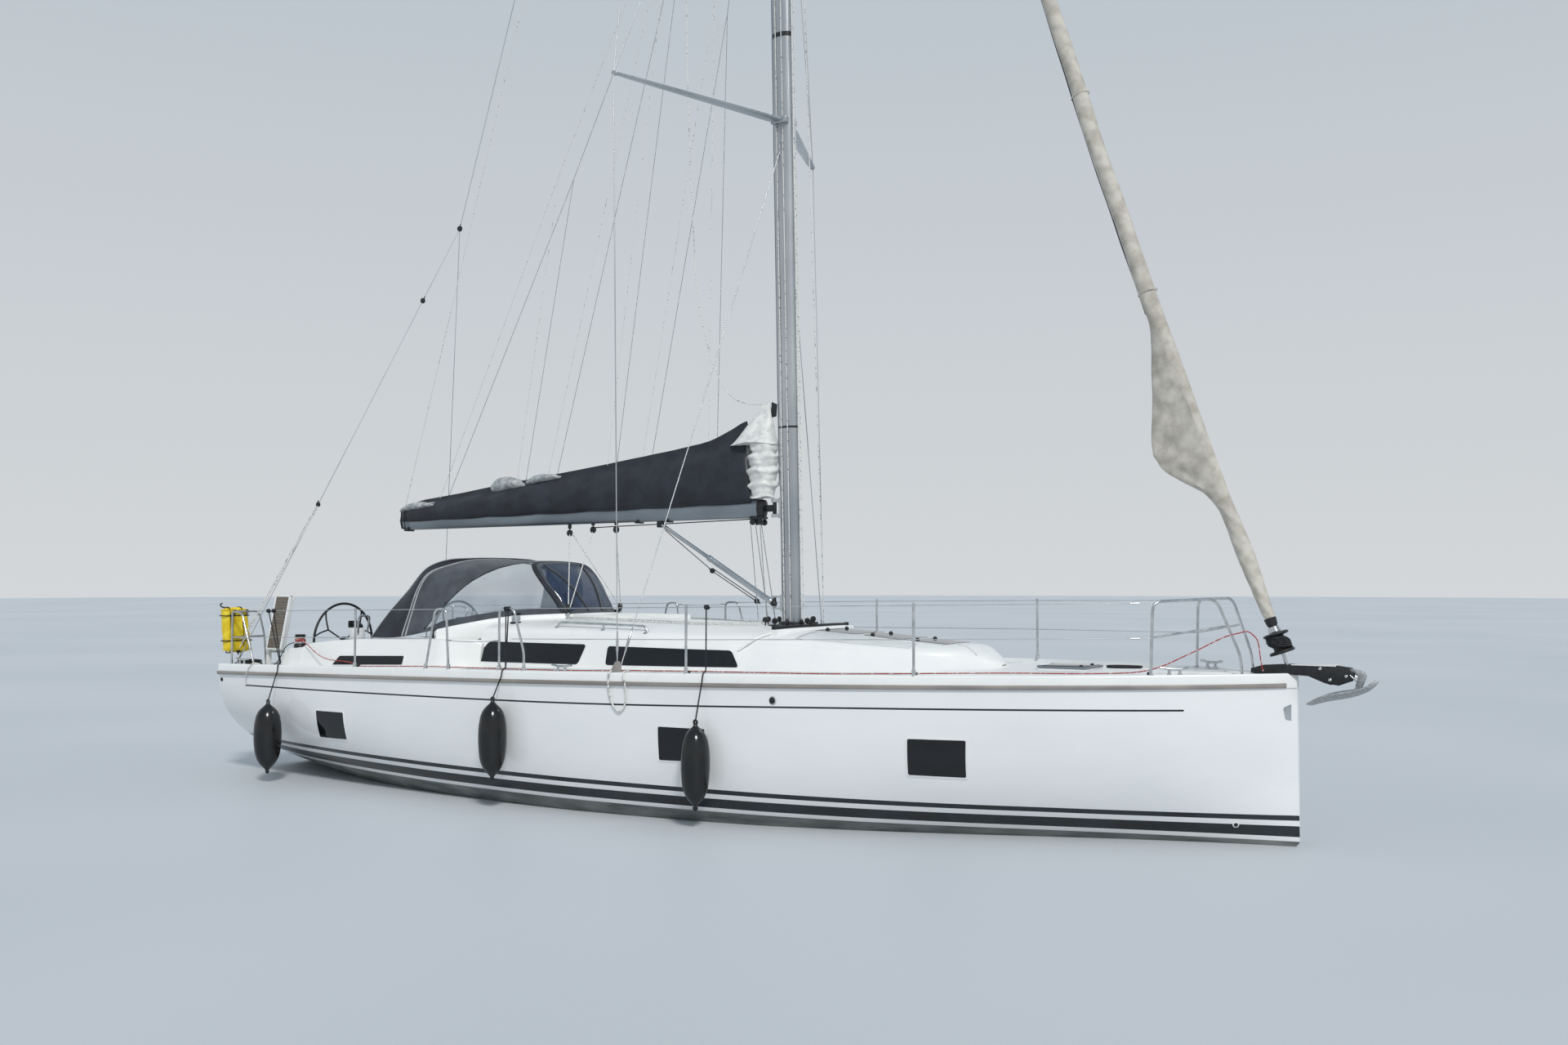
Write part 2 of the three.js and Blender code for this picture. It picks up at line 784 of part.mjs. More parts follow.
// boom, sail, vang
const BOOM_END = -4900;
const boomTopZ = (x) => lerp(3160, 3118, (GOOSENECK.x - x) / (GOOSENECK.x - BOOM_END));
function boomRing(x, w = 62, h = 100) {
  const z = boomTopZ(x) - 100;
  const shape = [
    [0, h],
    [w * 0.8, h * 0.72],
    [w, 0],
    [w * 0.72, -h * 0.75],
    [0, -h],
    [-w * 0.72, -h * 0.75],
    [-w, 0],
    [-w * 0.8, h * 0.72],
  ];
  return shape.map(([y, dz]) => [x, y, z + dz]);
}
const mastAft = (z) => mastX(z) - MAST.chord / 2;
const boom = union([
  loft([boomRing(520), boomRing(-1500), boomRing(-4700), boomRing(BOOM_END, 50, 82)]),
  rod([GOOSENECK.x, 0, 2999], [GOOSENECK.x, 0, 3120], 22, 12),
  box(500, GOOSENECK.x, -14, 14, 3024, 3096),
]);
const gooseneckBracket = union([
  box(GOOSENECK.x - 30, mastAft(3150) + 40, -30, 30, 2962, 2999 - GAP),
  box(GOOSENECK.x - 30, mastAft(3150) + 40, -30, 30, 3120 + GAP, 3158),
]);
const VANG_FOOT_Z = 2040;
const vangBracket = union([
  box(GOOSENECK.x - 28, mastAft(2100) + 60, -26, 26, 1985, 2004 - GAP),
  box(GOOSENECK.x - 28, mastAft(2100) + 60, -26, 26, 2108 + GAP, 2126),
]);
const mastWhole = onDeck(union([mast, gooseneckBracket, vangBracket]));
const vangTop = [-853, 0, 2921];
const vangAt = (t) => [lerp(GOOSENECK.x, vangTop[0], t), 0, lerp(VANG_FOOT_Z, vangTop[2], t)];
const vang = union([
  rod([GOOSENECK.x, 0, 2004], [GOOSENECK.x, 0, 2108], 20, 12),
  rod(vangAt(0), vangAt(0.55), 32, 10),
  rod(vangAt(0.5), vangTop, 22, 10),
  rod([vangTop[0], -24, vangTop[2] - 4], [vangTop[0], 24, vangTop[2] - 4], 30, 10),
]);

const SAIL_TOP = [
  // x, top height, half width
  [-4960, 3168, 50],
  [-4820, 3245, 95],
  [-4520, 3297, 120],
  [-3423, 3403, 140],
  [-2314, 3533, 150],
  [-1074, 3680, 165],
  [-300, 3790, 165],
  [150, 3960, 140],
  [400, 4130, 90],
  [530, 4190, 40],
];
const sailRings = SAIL_TOP.map(([x, top, half]) => {
  const clear = boomTopZ(clamp(x, BOOM_END, 520)) + GAP;
  const mid = lerp(clear, top, 0.35);
  return [
    [x, 0, top],
    [x, -half * 0.5, top - (top - clear) * 0.12],
    [x, -half, mid],
    [x, -half * 0.7, clear],
    [x, half * 0.7, clear],
    [x, half, mid],
    [x, half * 0.5, top - (top - clear) * 0.12],
  ];
});

// deck gear
const winch = (x, y, z, scale = 1) =>
  union([
    rod([x, y, z - 60], [x, y, z + 1], 84 * scale, 14),
    rod([x, y, z], [x, y, z + 40 * scale], 84 * scale, 14, 74 * scale),
    rod([x, y, z + 39 * scale], [x, y, z + 130 * scale], 56 * scale, 14, 62 * scale),
    rod([x, y, z + 129 * scale], [x, y, z + 165 * scale], 76 * scale, 14, 60 * scale),
  ]);

// stanchions joined by the two lifelines
const RAIL_H = 632;
const rim = (x) => [x, -(sheerHalf(x) - 30), sheerHeight(x)];
const railPost = (x, h = RAIL_H) => {
  const [, y, z] = rim(x);
  return rod([x, y, z - 20], [x, y, z + h], 12.5, 8);
};
const RAIL_XS = [-5585, -3505, -2261, -1358, 868, 3030, 4915];
function wireAt(x, h) {
  const ends = RAIL_XS.map((at) => [at, rim(at)]);
  const across = along(ends.map(([at, p]) => [at, p[1]]), x);
  const up = along(ends.map(([at, p]) => [at, p[2]]), x);
  return [x, across, up + h];
}
const STANCHIONS = [-3505, 868, 3030];
const guardrail = (() => {
  const level = (h, xs) => xs.map((x) => {
    const [, y, z] = rim(x);
    return [x, y, z + h];
  });
  const hoop = (shape) => tube(shape.map(([x, h]) => level(h, [x])[0]), 12.5, 8);
  const middleXs = [-5462, ...RAIL_XS.slice(1)];
  return union([
    ...STANCHIONS.map((x) => railPost(x)),
    hoop([[-2396, -20], [-2261, RAIL_H - 8], [-2102, RAIL_H - 8], [-2064, -20]]),
    hoop([[-1356, -20], [-1358, RAIL_H - 8], [-1168, RAIL_H - 8], [-1031, 180], [-1029, -20]]),
    tube(level(RAIL_H - 12, RAIL_XS), 4.5, 6),
    tube(level(RAIL_H * 0.5, middleXs), 4.5, 6),
  ]);
})();

// pulpit: a hoop each side of the stay, open in the middle
const pulpit = (() => {
  const aftZ = sheerHeight(4950);
  const aftLeg = [
    [4930, -(sheerHalf(4930) - 35), aftZ - 20],
    [4950, -(sheerHalf(4950) - 35), aftZ + 632],
  ];
  const foreLeg = [
    [5380, -280, 2137],
    [5568, -200, 1630],
    [5575, -200, 1440],
  ];
  const step = [
    [4940, -(sheerHalf(4940) - 35), aftZ + 320],
    [5460, -246, 1900],
  ];
  return union([tube([...aftLeg, ...foreLeg], 13, 8), tube(step, 10, 8)]);
})();

// pushpit quarter: a leaning leg forward, a rail round the corner and an inner leg aft
const PUSHPIT_X = -5850;
const pushpit = (() => {
  const side = (x) => -(sheerHalf(x) - 50);
  const z = sheerHeight(-5700);
  const upper = [
    [-5350, side(-5350), z - 30],
    [-5610, side(-5610), z + 605],
    [-5800, side(-5800), z + 612],
    [PUSHPIT_X, side(PUSHPIT_X) + 50, z + 612],
    [PUSHPIT_X, -1430, z + 612],
    [PUSHPIT_X, -1345, z + 310],
    [PUSHPIT_X, -1310, z - 160],
  ];
  const middle = [
    [-5483, side(-5483), z + 310],
    [-5800, side(-5800), z + 310],
    [PUSHPIT_X, side(PUSHPIT_X) + 50, z + 310],
    upper[5],
  ];
  const aftLeg = rod([-5825, side(-5825) + 12, z - 30], [-5835, side(-5835) + 20, z + 612], 12.5, 8);
  return union([tube(upper, 12.5, 8), tube(middle, 10, 8), aftLeg]);
})();

// steering: pedestal, wheel on its shaft
const WHEEL = { x: -4890, y: 960, z: 1560, r: 445 };
const pedestal = union([
  loft(
    [
      [SOLE_Z + GAP, 150, 120],
      [1350, 110, 95],
      [1720, 90, 85],
    ].map(([z, a, b]) => ellipse(WHEEL.x + 170, -WHEEL.y + 60, z, a, b, 12)),
    [0, 1],
  ),
  rod([WHEEL.x + 120, -WHEEL.y, WHEEL.z], [WHEEL.x + 55, -WHEEL.y, WHEEL.z], 40, 12),
]);
const wheel = (() => {
  const n = 24;
  const rimPoints = Array.from({ length: n }, (_, k) => {
    const a = (2 * Math.PI * k) / n;
    return [WHEEL.x, -WHEEL.y + Math.cos(a) * WHEEL.r, WHEEL.z + Math.sin(a) * WHEEL.r];
  });
  const spokes = [30, 150, 270].flatMap((deg) => {
    const a = rad(deg);
    const fork = [WHEEL.x, -WHEEL.y + Math.cos(a) * 275, WHEEL.z + Math.sin(a) * 275];
    const end = (d) => {
      const b = rad(deg + d);
      return [WHEEL.x, -WHEEL.y + Math.cos(b) * WHEEL.r, WHEEL.z + Math.sin(b) * WHEEL.r];
    };
    return [
      rod([WHEEL.x, -WHEEL.y, WHEEL.z], fork, 11, 6),
      rod(fork, end(-22), 9, 6),
      rod(fork, end(22), 9, 6),
    ];
  });
  return union([
    tube(rimPoints, 14, 8, true),
    ...spokes,
    rod([WHEEL.x + 55 - GAP, -WHEEL.y, WHEEL.z], [WHEEL.x - 24, -WHEEL.y, WHEEL.z], 46, 14),
  ]);
})();

// table in the well: a pillar box and two leaves folded down
const table = union([
  box(-4050, -3150, -52, 52, 1180, 1600),
  box(-4000, -3860, -40, 40, SOLE_Z + GAP, 1185),
  box(-3340, -3200, -40, 40, SOLE_Z + GAP, 1185),
  box(-4070, -3130, -86, 86, 1600 - 30, 1622),
  box(-4040, -3160, -86, -68, 1250, 1575),
  box(-4040, -3160, 68, 86, 1250, 1575),
]);

// sprayhood over the companionway
const HOOD = [
  // x at the crown, shoulder and foot; half width at the foot and shoulder; height of foot, shoulder, crown
  [-3150, -3600, -4420, 1470, 1060, 1565, 2290, 2500],
  [-2928, -3050, -3500, 1345, 1050, 1590, 2350, 2523],
  [-2500, -2500, -2500, 1310, 1010, 1612, 2345, 2512],
  [-2100, -2100, -2100, 1140, 960, 1645, 2330, 2501],
  [-1850, -1800, -1760, 1110, 900, 1645, 2230, 2451],
  [-1450, -1400, -1390, 1080, 840, 1645, 1960, 2040],
];
function hoodRing([xCrown, xShoulder, xFoot, foot, shoulder, footZ, shoulderZ, crownZ], inset) {
  const half = [
    [xFoot, foot - inset, footZ - inset * 5],
    [lerp(xFoot, xShoulder, 0.6), lerp(foot, shoulder, 0.45) - inset, lerp(footZ, shoulderZ, 0.6)],
    [xShoulder, shoulder - inset, shoulderZ - inset * 0.5],
    [lerp(xShoulder, xCrown, 0.6), shoulder * 0.6, lerp(shoulderZ, crownZ, 0.82) - inset],
    [xCrown, 0, crownZ - inset],
  ];
  const right = half.map(([x, y, z]) => [x, -y, z]);
  return [...right, ...half.slice(0, -1).reverse()];
}
const HOOD_WALL = 22;
const hoodInnerRows = HOOD.map((row, i) => {
  const shift = i === 0 ? -60 : i === HOOD.length - 1 ? -40 : 0;
  return [row[0] + shift, row[1] + shift, row[2] + shift, ...row.slice(3)];
});
const sprayhood = loft(HOOD.map((row) => hoodRing(row, 0)))
  .subtract(loft(hoodInnerRows.map((row) => hoodRing(row, HOOD_WALL))))
  .subtract(box(-1600, -1300, -390, 390, 1500, 1918));

// companionway: sliding hatch on two runners, washboard below
const slideHatch = union([
  box(-2470, -1745, -345 + GAP, 345 - GAP, 1886, 1910),
  box(-2470, -2440, -329, 329, 1862, 1890),
]);
const washboard = box(-2436, -2414, -330 + GAP, 330 - GAP, 1240 + GAP, 1884);

// flush hatch lids
const foreHatch = (() => {
  const z = HATCH_Z;
  return union([
    box(3700, 4180, -240, 240, z + GAP, z + 26),
    rod([3692, -200, z + 20], [3692, 200, z + 20], 8, 8),
    box(3690, 3702, -190, 190, z + 14, z + 24),
  ]);
})();
const lockerLid = slab(
  [
    [4880, -300],
    [5480, -120],
    [5480, 120],
    [4880, 300],
  ],
  LID_Z + 4 - LID_THICK,
  LID_Z + 4,
);

// bow roller fitting with the anchor in it
const bowFitting = union([
  plate(
    [
      [5640, 1505],
      [6120, 1505],
      [6380, 1440],
      [6450, 1470],
      [6440, 1560],
      [6330, 1560],
      [5700, 1560],
    ],
    -70,
    -58,
  ),
  plate(
    [
      [5640, 1505],
      [6120, 1505],
      [6380, 1440],
      [6450, 1470],
      [6440, 1560],
      [6330, 1560],
      [5700, 1560],
    ],
    58,
    70,
  ),
  box(5640, 5900, -70, 70, 1450, 1512),
  rod([6410, -60, 1505], [6410, 60, 1505], 34, 12),
]);
const anchor = union([
  plate(
    [
      [6150, 1545],
      [6480, 1552],
      [6560, 1515],
      [6500, 1330],
      [6460, 1330],
      [6490, 1500],
      [6440, 1541],
      [6150, 1520],
    ],
    -10,
    10,
  ),
  loft(
    [
      [6660, 1440, 8],
      [6480, 1340, 120],
      [6240, 1268, 165],
      [6110, 1232, 60],
    ].map(([x, z, w]) => [
      [x, 0, z + 10],
      [x, w, z + 6],
      [x, w, z - 6],
      [x, 0, z - 10],
      [x, -w, z - 6],
      [x, -w, z + 6],
    ]),
  ),
]);

// fenders on the starboard side, each on its line
const FENDERS = [
  // name, x, middle height, radius, reach of the tube or wire it hangs from
  ["fender_aft", -4800, 540, 152, 4.5],
  ["fender_mid", -1280, 730, 141, 16],
  ["fender_forward", 1070, 610, 136, 4.5],
];
const fender = (x, z, r, holder) => {
  const lip = sheerHeight(x) - GUNWALE;
  const widest = Math.max(...[z - 380, z, z + 380, lip].map((h) => hullHalf(x, h)));
  const side = -widest - 22 - r;
  const rings = [
    [-423, 0.12],
    [-388, 0.17],
    [-360, 0.42],
    [-318, 0.68],
    [-250, 0.88],
    [-140, 0.99],
    [60, 1],
    [180, 0.92],
    [250, 0.78],
    [298, 0.58],
    [328, 0.32],
    [348, 0.15],
    [388, 0.12],
  ].map(([dz, k]) =>
    Array.from({ length: 12 }, (_, i) => {
      const a = (2 * Math.PI * i) / 12;
      return [x + Math.cos(a) * r * k, side + Math.sin(a) * r * k, z + dz];
    }),
  );
  const [, wireY, wireZ] = wireAt(x, RAIL_H - 12);
  return union([
    loft(rings, [0, 1]),
    tube(
      [
        [x, side, z + 380],
        [x, -(sheerHalf(x) + 26), sheerHeight(x) + 4],
        [x, wireY - holder - 6 - GAP, wireZ - 40],
        [x, wireY - holder - 6 - GAP, wireZ + 12],
      ],
      6,
      6,
    ),
  ]);
};

// rescue bag hung on the after side of the pushpit
const BAG = [
  // height, aft face, front face, outer edge, inner edge
  [1412, -5975, -5890, 1850, 1480],
  [1450, -5990, -5872, 1868, 1468],
  [1700, -5994, -5862.3, 1892, 1508],
  [1940, -5990, -5862.3, 1908, 1548],
  [1976, -5968, -5882, 1890, 1566],
];
const rescueBag = loft(
  BAG.map(([z, aft, front, outer, inner]) => [
    [aft, -outer, z],
    [aft, -inner, z],
    [front, -inner, z],
    [front, -outer, z],
  ]),
  [0, 1],
);

// folding platform in the transom
const PLATFORM_Z = 470;
const platform = union([
  box(-5998, -5946, -752, 752, 486, 1268),
  rod([-5972, -760 + GAP, PLATFORM_Z], [-5972, 760 - GAP, PLATFORM_Z], 14, 12),
  box(-5990, -5954, -700, 700, PLATFORM_Z, 490),
]);

// helm seats: starboard up and leaning inboard, port down
const SEAT_LEAN_DEG = 12;
const seatUp = union([
  box(SEAT.x0, SEAT.x1, -SEAT.thick - 10, -10, 6, SEAT.length),
  rod([SEAT.x0 - 12, 0, 0], [SEAT.x1 + 12, 0, 0], 10, 12),
  box(SEAT.x0 + 30, SEAT.x1 - 30, -16, 0, -4, 12),
])
  .rotate([-SEAT_LEAN_DEG, 0, 0])
  .translate([0, -SEAT.y, SEAT.z]);
const seatDown = union([
  box(SEAT.x0, SEAT.x1, SEAT.y - SEAT.length, SEAT.y - 6, SEAT.z + 10, SEAT.z + 10 + SEAT.thick),
  rod([SEAT.x0 - 12, SEAT.y, SEAT.z], [SEAT.x1 + 12, SEAT.y, SEAT.z], 10, 12),
  box(SEAT.x0 + 30, SEAT.x1 - 30, SEAT.y - 12, SEAT.y, SEAT.z - 4, SEAT.z + 16),
]);

// named pieces
add("hull", hull, COLOURS.hull);
add("deck", deck, COLOURS.hull);
add("keel", keel, COLOURS.iron);
add("rudder", rudder, COLOURS.grey);
add("drive_leg", driveLeg, COLOURS.grey);
add("propeller", propeller, COLOURS.bronze);
for (const [name, glass] of glazing) add(name, glass, COLOURS.glass);
add("mast", mastWhole, COLOURS.alloy);
["lower", "upper"].forEach((level, i) => {
  add("spreader_" + level + "_starboard", spreaders[i], COLOURS.alloy);
  add("spreader_" + level + "_port", mirrored(spreaders[i]), COLOURS.alloy);
});
add("shrouds_starboard", clearOf(onDeck(capRig(-1)), mast), COLOURS.steel);
add("shrouds_port", clearOf(onDeck(capRig(1)), mast), COLOURS.steel);
add("backstay", onDeck(backstay), COLOURS.steel);
add("jib_furled", clearOf(jib, mast), COLOURS.taupe);
add("furler_drum", onDeck(furler), COLOURS.black);
add("boom", boom, COLOURS.alloy);
add("mainsail_stowed", loft(sailRings), COLOURS.navy);
add("vang", vang, COLOURS.alloy);
add("guardrail_starboard", onDeck(guardrail), COLOURS.steel);
add("guardrail_port", onDeck(mirrored(guardrail)), COLOURS.steel);
add("pulpit_starboard", onDeck(pulpit), COLOURS.steel);
add("pulpit_port", onDeck(mirrored(pulpit)), COLOURS.steel);
add("pushpit_starboard", onDeck(pushpit), COLOURS.steel);
add("pushpit_port", onDeck(mirrored(pushpit)), COLOURS.steel);
add("pedestal_starboard", pedestal, COLOURS.hull);
add("pedestal_port", mirrored(pedestal), COLOURS.hull);
add("wheel_starboard", wheel, COLOURS.black);
add("wheel_port", mirrored(wheel), COLOURS.black);
add("cockpit_table", table, COLOURS.teak);
add("sprayhood", onDeck(sprayhood), COLOURS.canvas);
add("companion_slide", slideHatch, COLOURS.glass);
add("washboard", washboard, COLOURS.glass);
add("deck_hatch_forward", foreHatch, COLOURS.glass);
add("anchor_locker_lid", lockerLid, COLOURS.hull);
add("bow_roller", onDeck(bowFitting), COLOURS.black);
add("anchor", anchor.translate([0, 0, 0.5]), COLOURS.steel);
add("winch_roof_starboard", onDeck(winch(-2180, -900, 1790, 0.85)), COLOURS.steel);
add("winch_roof_port", onDeck(winch(-2180, 900, 1790, 0.85)), COLOURS.steel);
add("winch_coaming_starboard", onDeck(winch(-4990, -1521, 1504, 0.9)), COLOURS.steel);
add("winch_coaming_port", onDeck(winch(-4990, 1521, 1504, 0.9)), COLOURS.steel);
for (const [name, x, z, r, holder] of FENDERS) add(name, fender(x, z, r, holder), COLOURS.black);
add("rescue_bag", rescueBag, COLOURS.yellow);
add("bathing_platform", platform, COLOURS.hull);
add("helm_seat_starboard", seatUp, COLOURS.teak);
add("helm_seat_port", seatDown, COLOURS.teak);

export default group;
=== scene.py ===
# %% [markdown]
# # A cruising yacht, finished over its solid frame
# The solid model gives every piece its size and place. This lesson adds what the eye
# wants: gelcoat, cloth, rope, glass, teak and steel, and the small gear that a solid
# model leaves out. Lengths are metres, X runs to the bow, Y to port and Z up, and the
# water's surface is at zero.
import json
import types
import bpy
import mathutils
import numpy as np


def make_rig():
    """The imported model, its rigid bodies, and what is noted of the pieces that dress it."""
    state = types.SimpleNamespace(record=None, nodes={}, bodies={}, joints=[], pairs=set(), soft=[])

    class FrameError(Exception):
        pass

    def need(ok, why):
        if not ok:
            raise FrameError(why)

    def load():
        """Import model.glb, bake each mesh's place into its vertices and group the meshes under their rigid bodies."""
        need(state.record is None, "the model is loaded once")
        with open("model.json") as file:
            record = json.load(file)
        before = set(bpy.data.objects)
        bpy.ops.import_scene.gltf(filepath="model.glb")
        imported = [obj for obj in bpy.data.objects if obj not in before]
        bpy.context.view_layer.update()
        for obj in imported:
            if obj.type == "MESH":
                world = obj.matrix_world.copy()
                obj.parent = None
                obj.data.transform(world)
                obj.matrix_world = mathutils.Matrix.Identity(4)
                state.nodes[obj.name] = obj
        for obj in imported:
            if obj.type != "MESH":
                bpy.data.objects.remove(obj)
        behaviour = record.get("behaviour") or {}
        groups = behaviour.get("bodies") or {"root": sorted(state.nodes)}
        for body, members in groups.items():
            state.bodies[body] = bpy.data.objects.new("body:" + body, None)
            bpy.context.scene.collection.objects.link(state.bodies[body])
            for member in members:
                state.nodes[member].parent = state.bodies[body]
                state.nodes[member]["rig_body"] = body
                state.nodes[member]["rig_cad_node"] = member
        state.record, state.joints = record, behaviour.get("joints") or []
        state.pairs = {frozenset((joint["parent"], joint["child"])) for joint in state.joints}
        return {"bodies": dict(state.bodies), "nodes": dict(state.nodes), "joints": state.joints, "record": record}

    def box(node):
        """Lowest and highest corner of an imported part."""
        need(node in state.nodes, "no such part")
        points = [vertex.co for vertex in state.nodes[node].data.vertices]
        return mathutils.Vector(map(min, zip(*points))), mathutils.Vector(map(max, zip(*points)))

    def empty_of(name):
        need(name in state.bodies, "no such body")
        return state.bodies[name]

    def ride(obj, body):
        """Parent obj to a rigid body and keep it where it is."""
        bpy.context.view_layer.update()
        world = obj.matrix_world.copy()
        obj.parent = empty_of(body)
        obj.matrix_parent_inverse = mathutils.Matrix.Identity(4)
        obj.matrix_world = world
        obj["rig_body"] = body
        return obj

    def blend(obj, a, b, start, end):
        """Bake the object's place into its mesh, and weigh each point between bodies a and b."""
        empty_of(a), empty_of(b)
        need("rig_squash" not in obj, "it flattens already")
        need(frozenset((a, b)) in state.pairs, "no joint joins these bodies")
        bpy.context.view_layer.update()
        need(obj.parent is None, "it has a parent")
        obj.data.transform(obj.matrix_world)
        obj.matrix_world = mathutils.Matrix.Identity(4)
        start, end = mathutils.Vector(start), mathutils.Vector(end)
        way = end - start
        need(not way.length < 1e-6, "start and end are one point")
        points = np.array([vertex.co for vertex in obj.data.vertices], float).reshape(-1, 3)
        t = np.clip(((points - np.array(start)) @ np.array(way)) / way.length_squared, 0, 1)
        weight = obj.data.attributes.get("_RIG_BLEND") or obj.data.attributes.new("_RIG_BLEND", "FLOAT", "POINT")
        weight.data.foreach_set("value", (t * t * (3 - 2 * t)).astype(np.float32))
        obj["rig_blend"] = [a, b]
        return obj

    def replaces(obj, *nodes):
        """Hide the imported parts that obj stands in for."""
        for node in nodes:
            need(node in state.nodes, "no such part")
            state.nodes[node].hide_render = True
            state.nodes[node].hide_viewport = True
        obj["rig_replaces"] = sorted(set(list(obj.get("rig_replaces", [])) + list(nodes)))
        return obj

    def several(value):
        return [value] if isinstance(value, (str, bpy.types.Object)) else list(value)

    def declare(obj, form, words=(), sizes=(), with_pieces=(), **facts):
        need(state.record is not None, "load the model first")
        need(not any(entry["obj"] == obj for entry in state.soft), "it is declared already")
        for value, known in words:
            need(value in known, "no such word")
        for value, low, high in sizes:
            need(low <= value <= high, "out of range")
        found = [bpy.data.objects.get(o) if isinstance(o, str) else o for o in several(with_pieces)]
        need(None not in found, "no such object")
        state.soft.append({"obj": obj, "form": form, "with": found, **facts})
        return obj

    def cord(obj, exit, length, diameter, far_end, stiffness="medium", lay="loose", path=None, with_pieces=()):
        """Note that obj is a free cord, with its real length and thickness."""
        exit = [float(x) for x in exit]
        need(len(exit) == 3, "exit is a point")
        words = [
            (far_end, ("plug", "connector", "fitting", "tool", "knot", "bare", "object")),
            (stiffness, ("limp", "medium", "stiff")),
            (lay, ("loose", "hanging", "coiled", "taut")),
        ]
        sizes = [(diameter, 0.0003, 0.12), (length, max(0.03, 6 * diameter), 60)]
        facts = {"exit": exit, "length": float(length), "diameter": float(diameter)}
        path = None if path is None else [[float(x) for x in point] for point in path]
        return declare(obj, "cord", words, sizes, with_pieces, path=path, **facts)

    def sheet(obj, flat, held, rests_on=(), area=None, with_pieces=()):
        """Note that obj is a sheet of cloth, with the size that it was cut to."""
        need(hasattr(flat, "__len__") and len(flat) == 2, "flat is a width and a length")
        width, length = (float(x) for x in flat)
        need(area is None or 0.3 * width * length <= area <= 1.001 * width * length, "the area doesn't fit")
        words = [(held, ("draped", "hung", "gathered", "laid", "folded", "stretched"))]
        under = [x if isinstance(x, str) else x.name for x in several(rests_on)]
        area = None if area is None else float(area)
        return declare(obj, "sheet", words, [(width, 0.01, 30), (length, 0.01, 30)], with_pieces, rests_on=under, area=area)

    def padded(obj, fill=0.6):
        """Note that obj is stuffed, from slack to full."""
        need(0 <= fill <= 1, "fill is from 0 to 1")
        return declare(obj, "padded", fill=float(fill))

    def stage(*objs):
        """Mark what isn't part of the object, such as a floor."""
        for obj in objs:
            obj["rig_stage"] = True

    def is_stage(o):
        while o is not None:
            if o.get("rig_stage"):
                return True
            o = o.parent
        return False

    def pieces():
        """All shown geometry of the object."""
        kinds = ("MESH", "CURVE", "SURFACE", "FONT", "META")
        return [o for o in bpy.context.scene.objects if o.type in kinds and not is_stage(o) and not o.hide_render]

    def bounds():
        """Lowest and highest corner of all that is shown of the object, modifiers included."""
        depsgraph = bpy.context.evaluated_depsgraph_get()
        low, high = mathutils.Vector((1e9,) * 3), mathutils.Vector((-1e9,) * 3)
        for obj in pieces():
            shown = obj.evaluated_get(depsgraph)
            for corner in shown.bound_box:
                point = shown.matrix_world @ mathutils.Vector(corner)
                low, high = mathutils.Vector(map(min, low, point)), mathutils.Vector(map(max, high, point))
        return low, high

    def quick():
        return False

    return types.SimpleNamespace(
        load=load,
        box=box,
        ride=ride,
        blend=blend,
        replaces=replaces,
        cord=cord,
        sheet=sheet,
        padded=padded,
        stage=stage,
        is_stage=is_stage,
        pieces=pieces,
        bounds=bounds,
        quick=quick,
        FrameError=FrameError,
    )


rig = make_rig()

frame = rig.load()

import json
import math

import bpy
from mathutils import Vector

cad_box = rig.bounds()
node_of = frame["nodes"]
print("solid pieces:", len(node_of), "box:", [tuple(round(c, 3) for c in p) for p in cad_box])

# %% [markdown]
# ## The camera
# A telephone camera of about 33 mm (on full frame) stood on the quay, ahead and to
# starboard, a little over two metres above the water. Its place and turn were found by
# fitting the sheer, the mast, the spreaders and the waterline together, so nothing
# else in the scene has to be moved to look right.

# %% Camera
CAMERA_AT = (8.7202, -12.9211, 2.3331)
CAMERA_TURN_DEG = 31.6002
CAMERA_LIFT_DEG = 2.1594
LENS_MM = 32.815

camera_turn = (math.radians(90 + CAMERA_LIFT_DEG), 0, math.radians(CAMERA_TURN_DEG))
bpy.ops.object.camera_add(location=CAMERA_AT, rotation=camera_turn)
camera = bpy.context.object
camera.name = "camera"
camera.data.sensor_width = 36
camera.data.lens = LENS_MM
camera.data.clip_end = 2000
bpy.context.scene.camera = camera

# %% [markdown]
# ## Small helpers
# An operator acts on whatever is selected, so each new piece starts with nothing
# selected. After that the piece is the active object and can be named.

# %% Starting and naming a piece
def begin():
    """Leaves nothing selected and Blender in object mode."""
    if bpy.context.object and bpy.context.object.mode != "OBJECT":
        bpy.ops.object.mode_set(mode="OBJECT")
    bpy.ops.object.select_all(action="DESELECT")


def named(name):
    """Names the piece that the last operator made."""
    piece = bpy.context.object
    piece.name = name
    piece.data.name = name
    return piece


def choose(piece):
    """Makes one piece the selected and active one."""
    begin()
    piece.select_set(True)
    bpy.context.view_layer.objects.active = piece


def settle(piece):
    """Puts a piece's place, turn and size into its mesh, so that its object sits at the origin."""
    choose(piece)
    bpy.ops.object.transform_apply(location=True, rotation=True, scale=True)
    return piece


def edit_all():
    """Opens the active piece for editing, with all of it selected."""
    bpy.ops.object.mode_set(mode="EDIT")
    bpy.ops.mesh.select_all(action="SELECT")


def edited():
    """Turns every face outward and closes the edit."""
    bpy.ops.mesh.normals_make_consistent(inside=False)
    bpy.ops.object.mode_set(mode="OBJECT")


def soften(piece, angle_deg=35):
    """Smooth shading that stops at sharp edges."""
    choose(piece)
    bpy.ops.object.shade_smooth_by_angle(angle=math.radians(angle_deg))
    return piece


def modify(piece, kind, **settings):
    """Adds a modifier with its settings and applies it."""
    choose(piece)
    step = piece.modifiers.new(kind.title(), kind)
    for key, value in settings.items():
        setattr(step, key, value)
    bpy.ops.object.modifier_apply(modifier=step.name)
    return piece


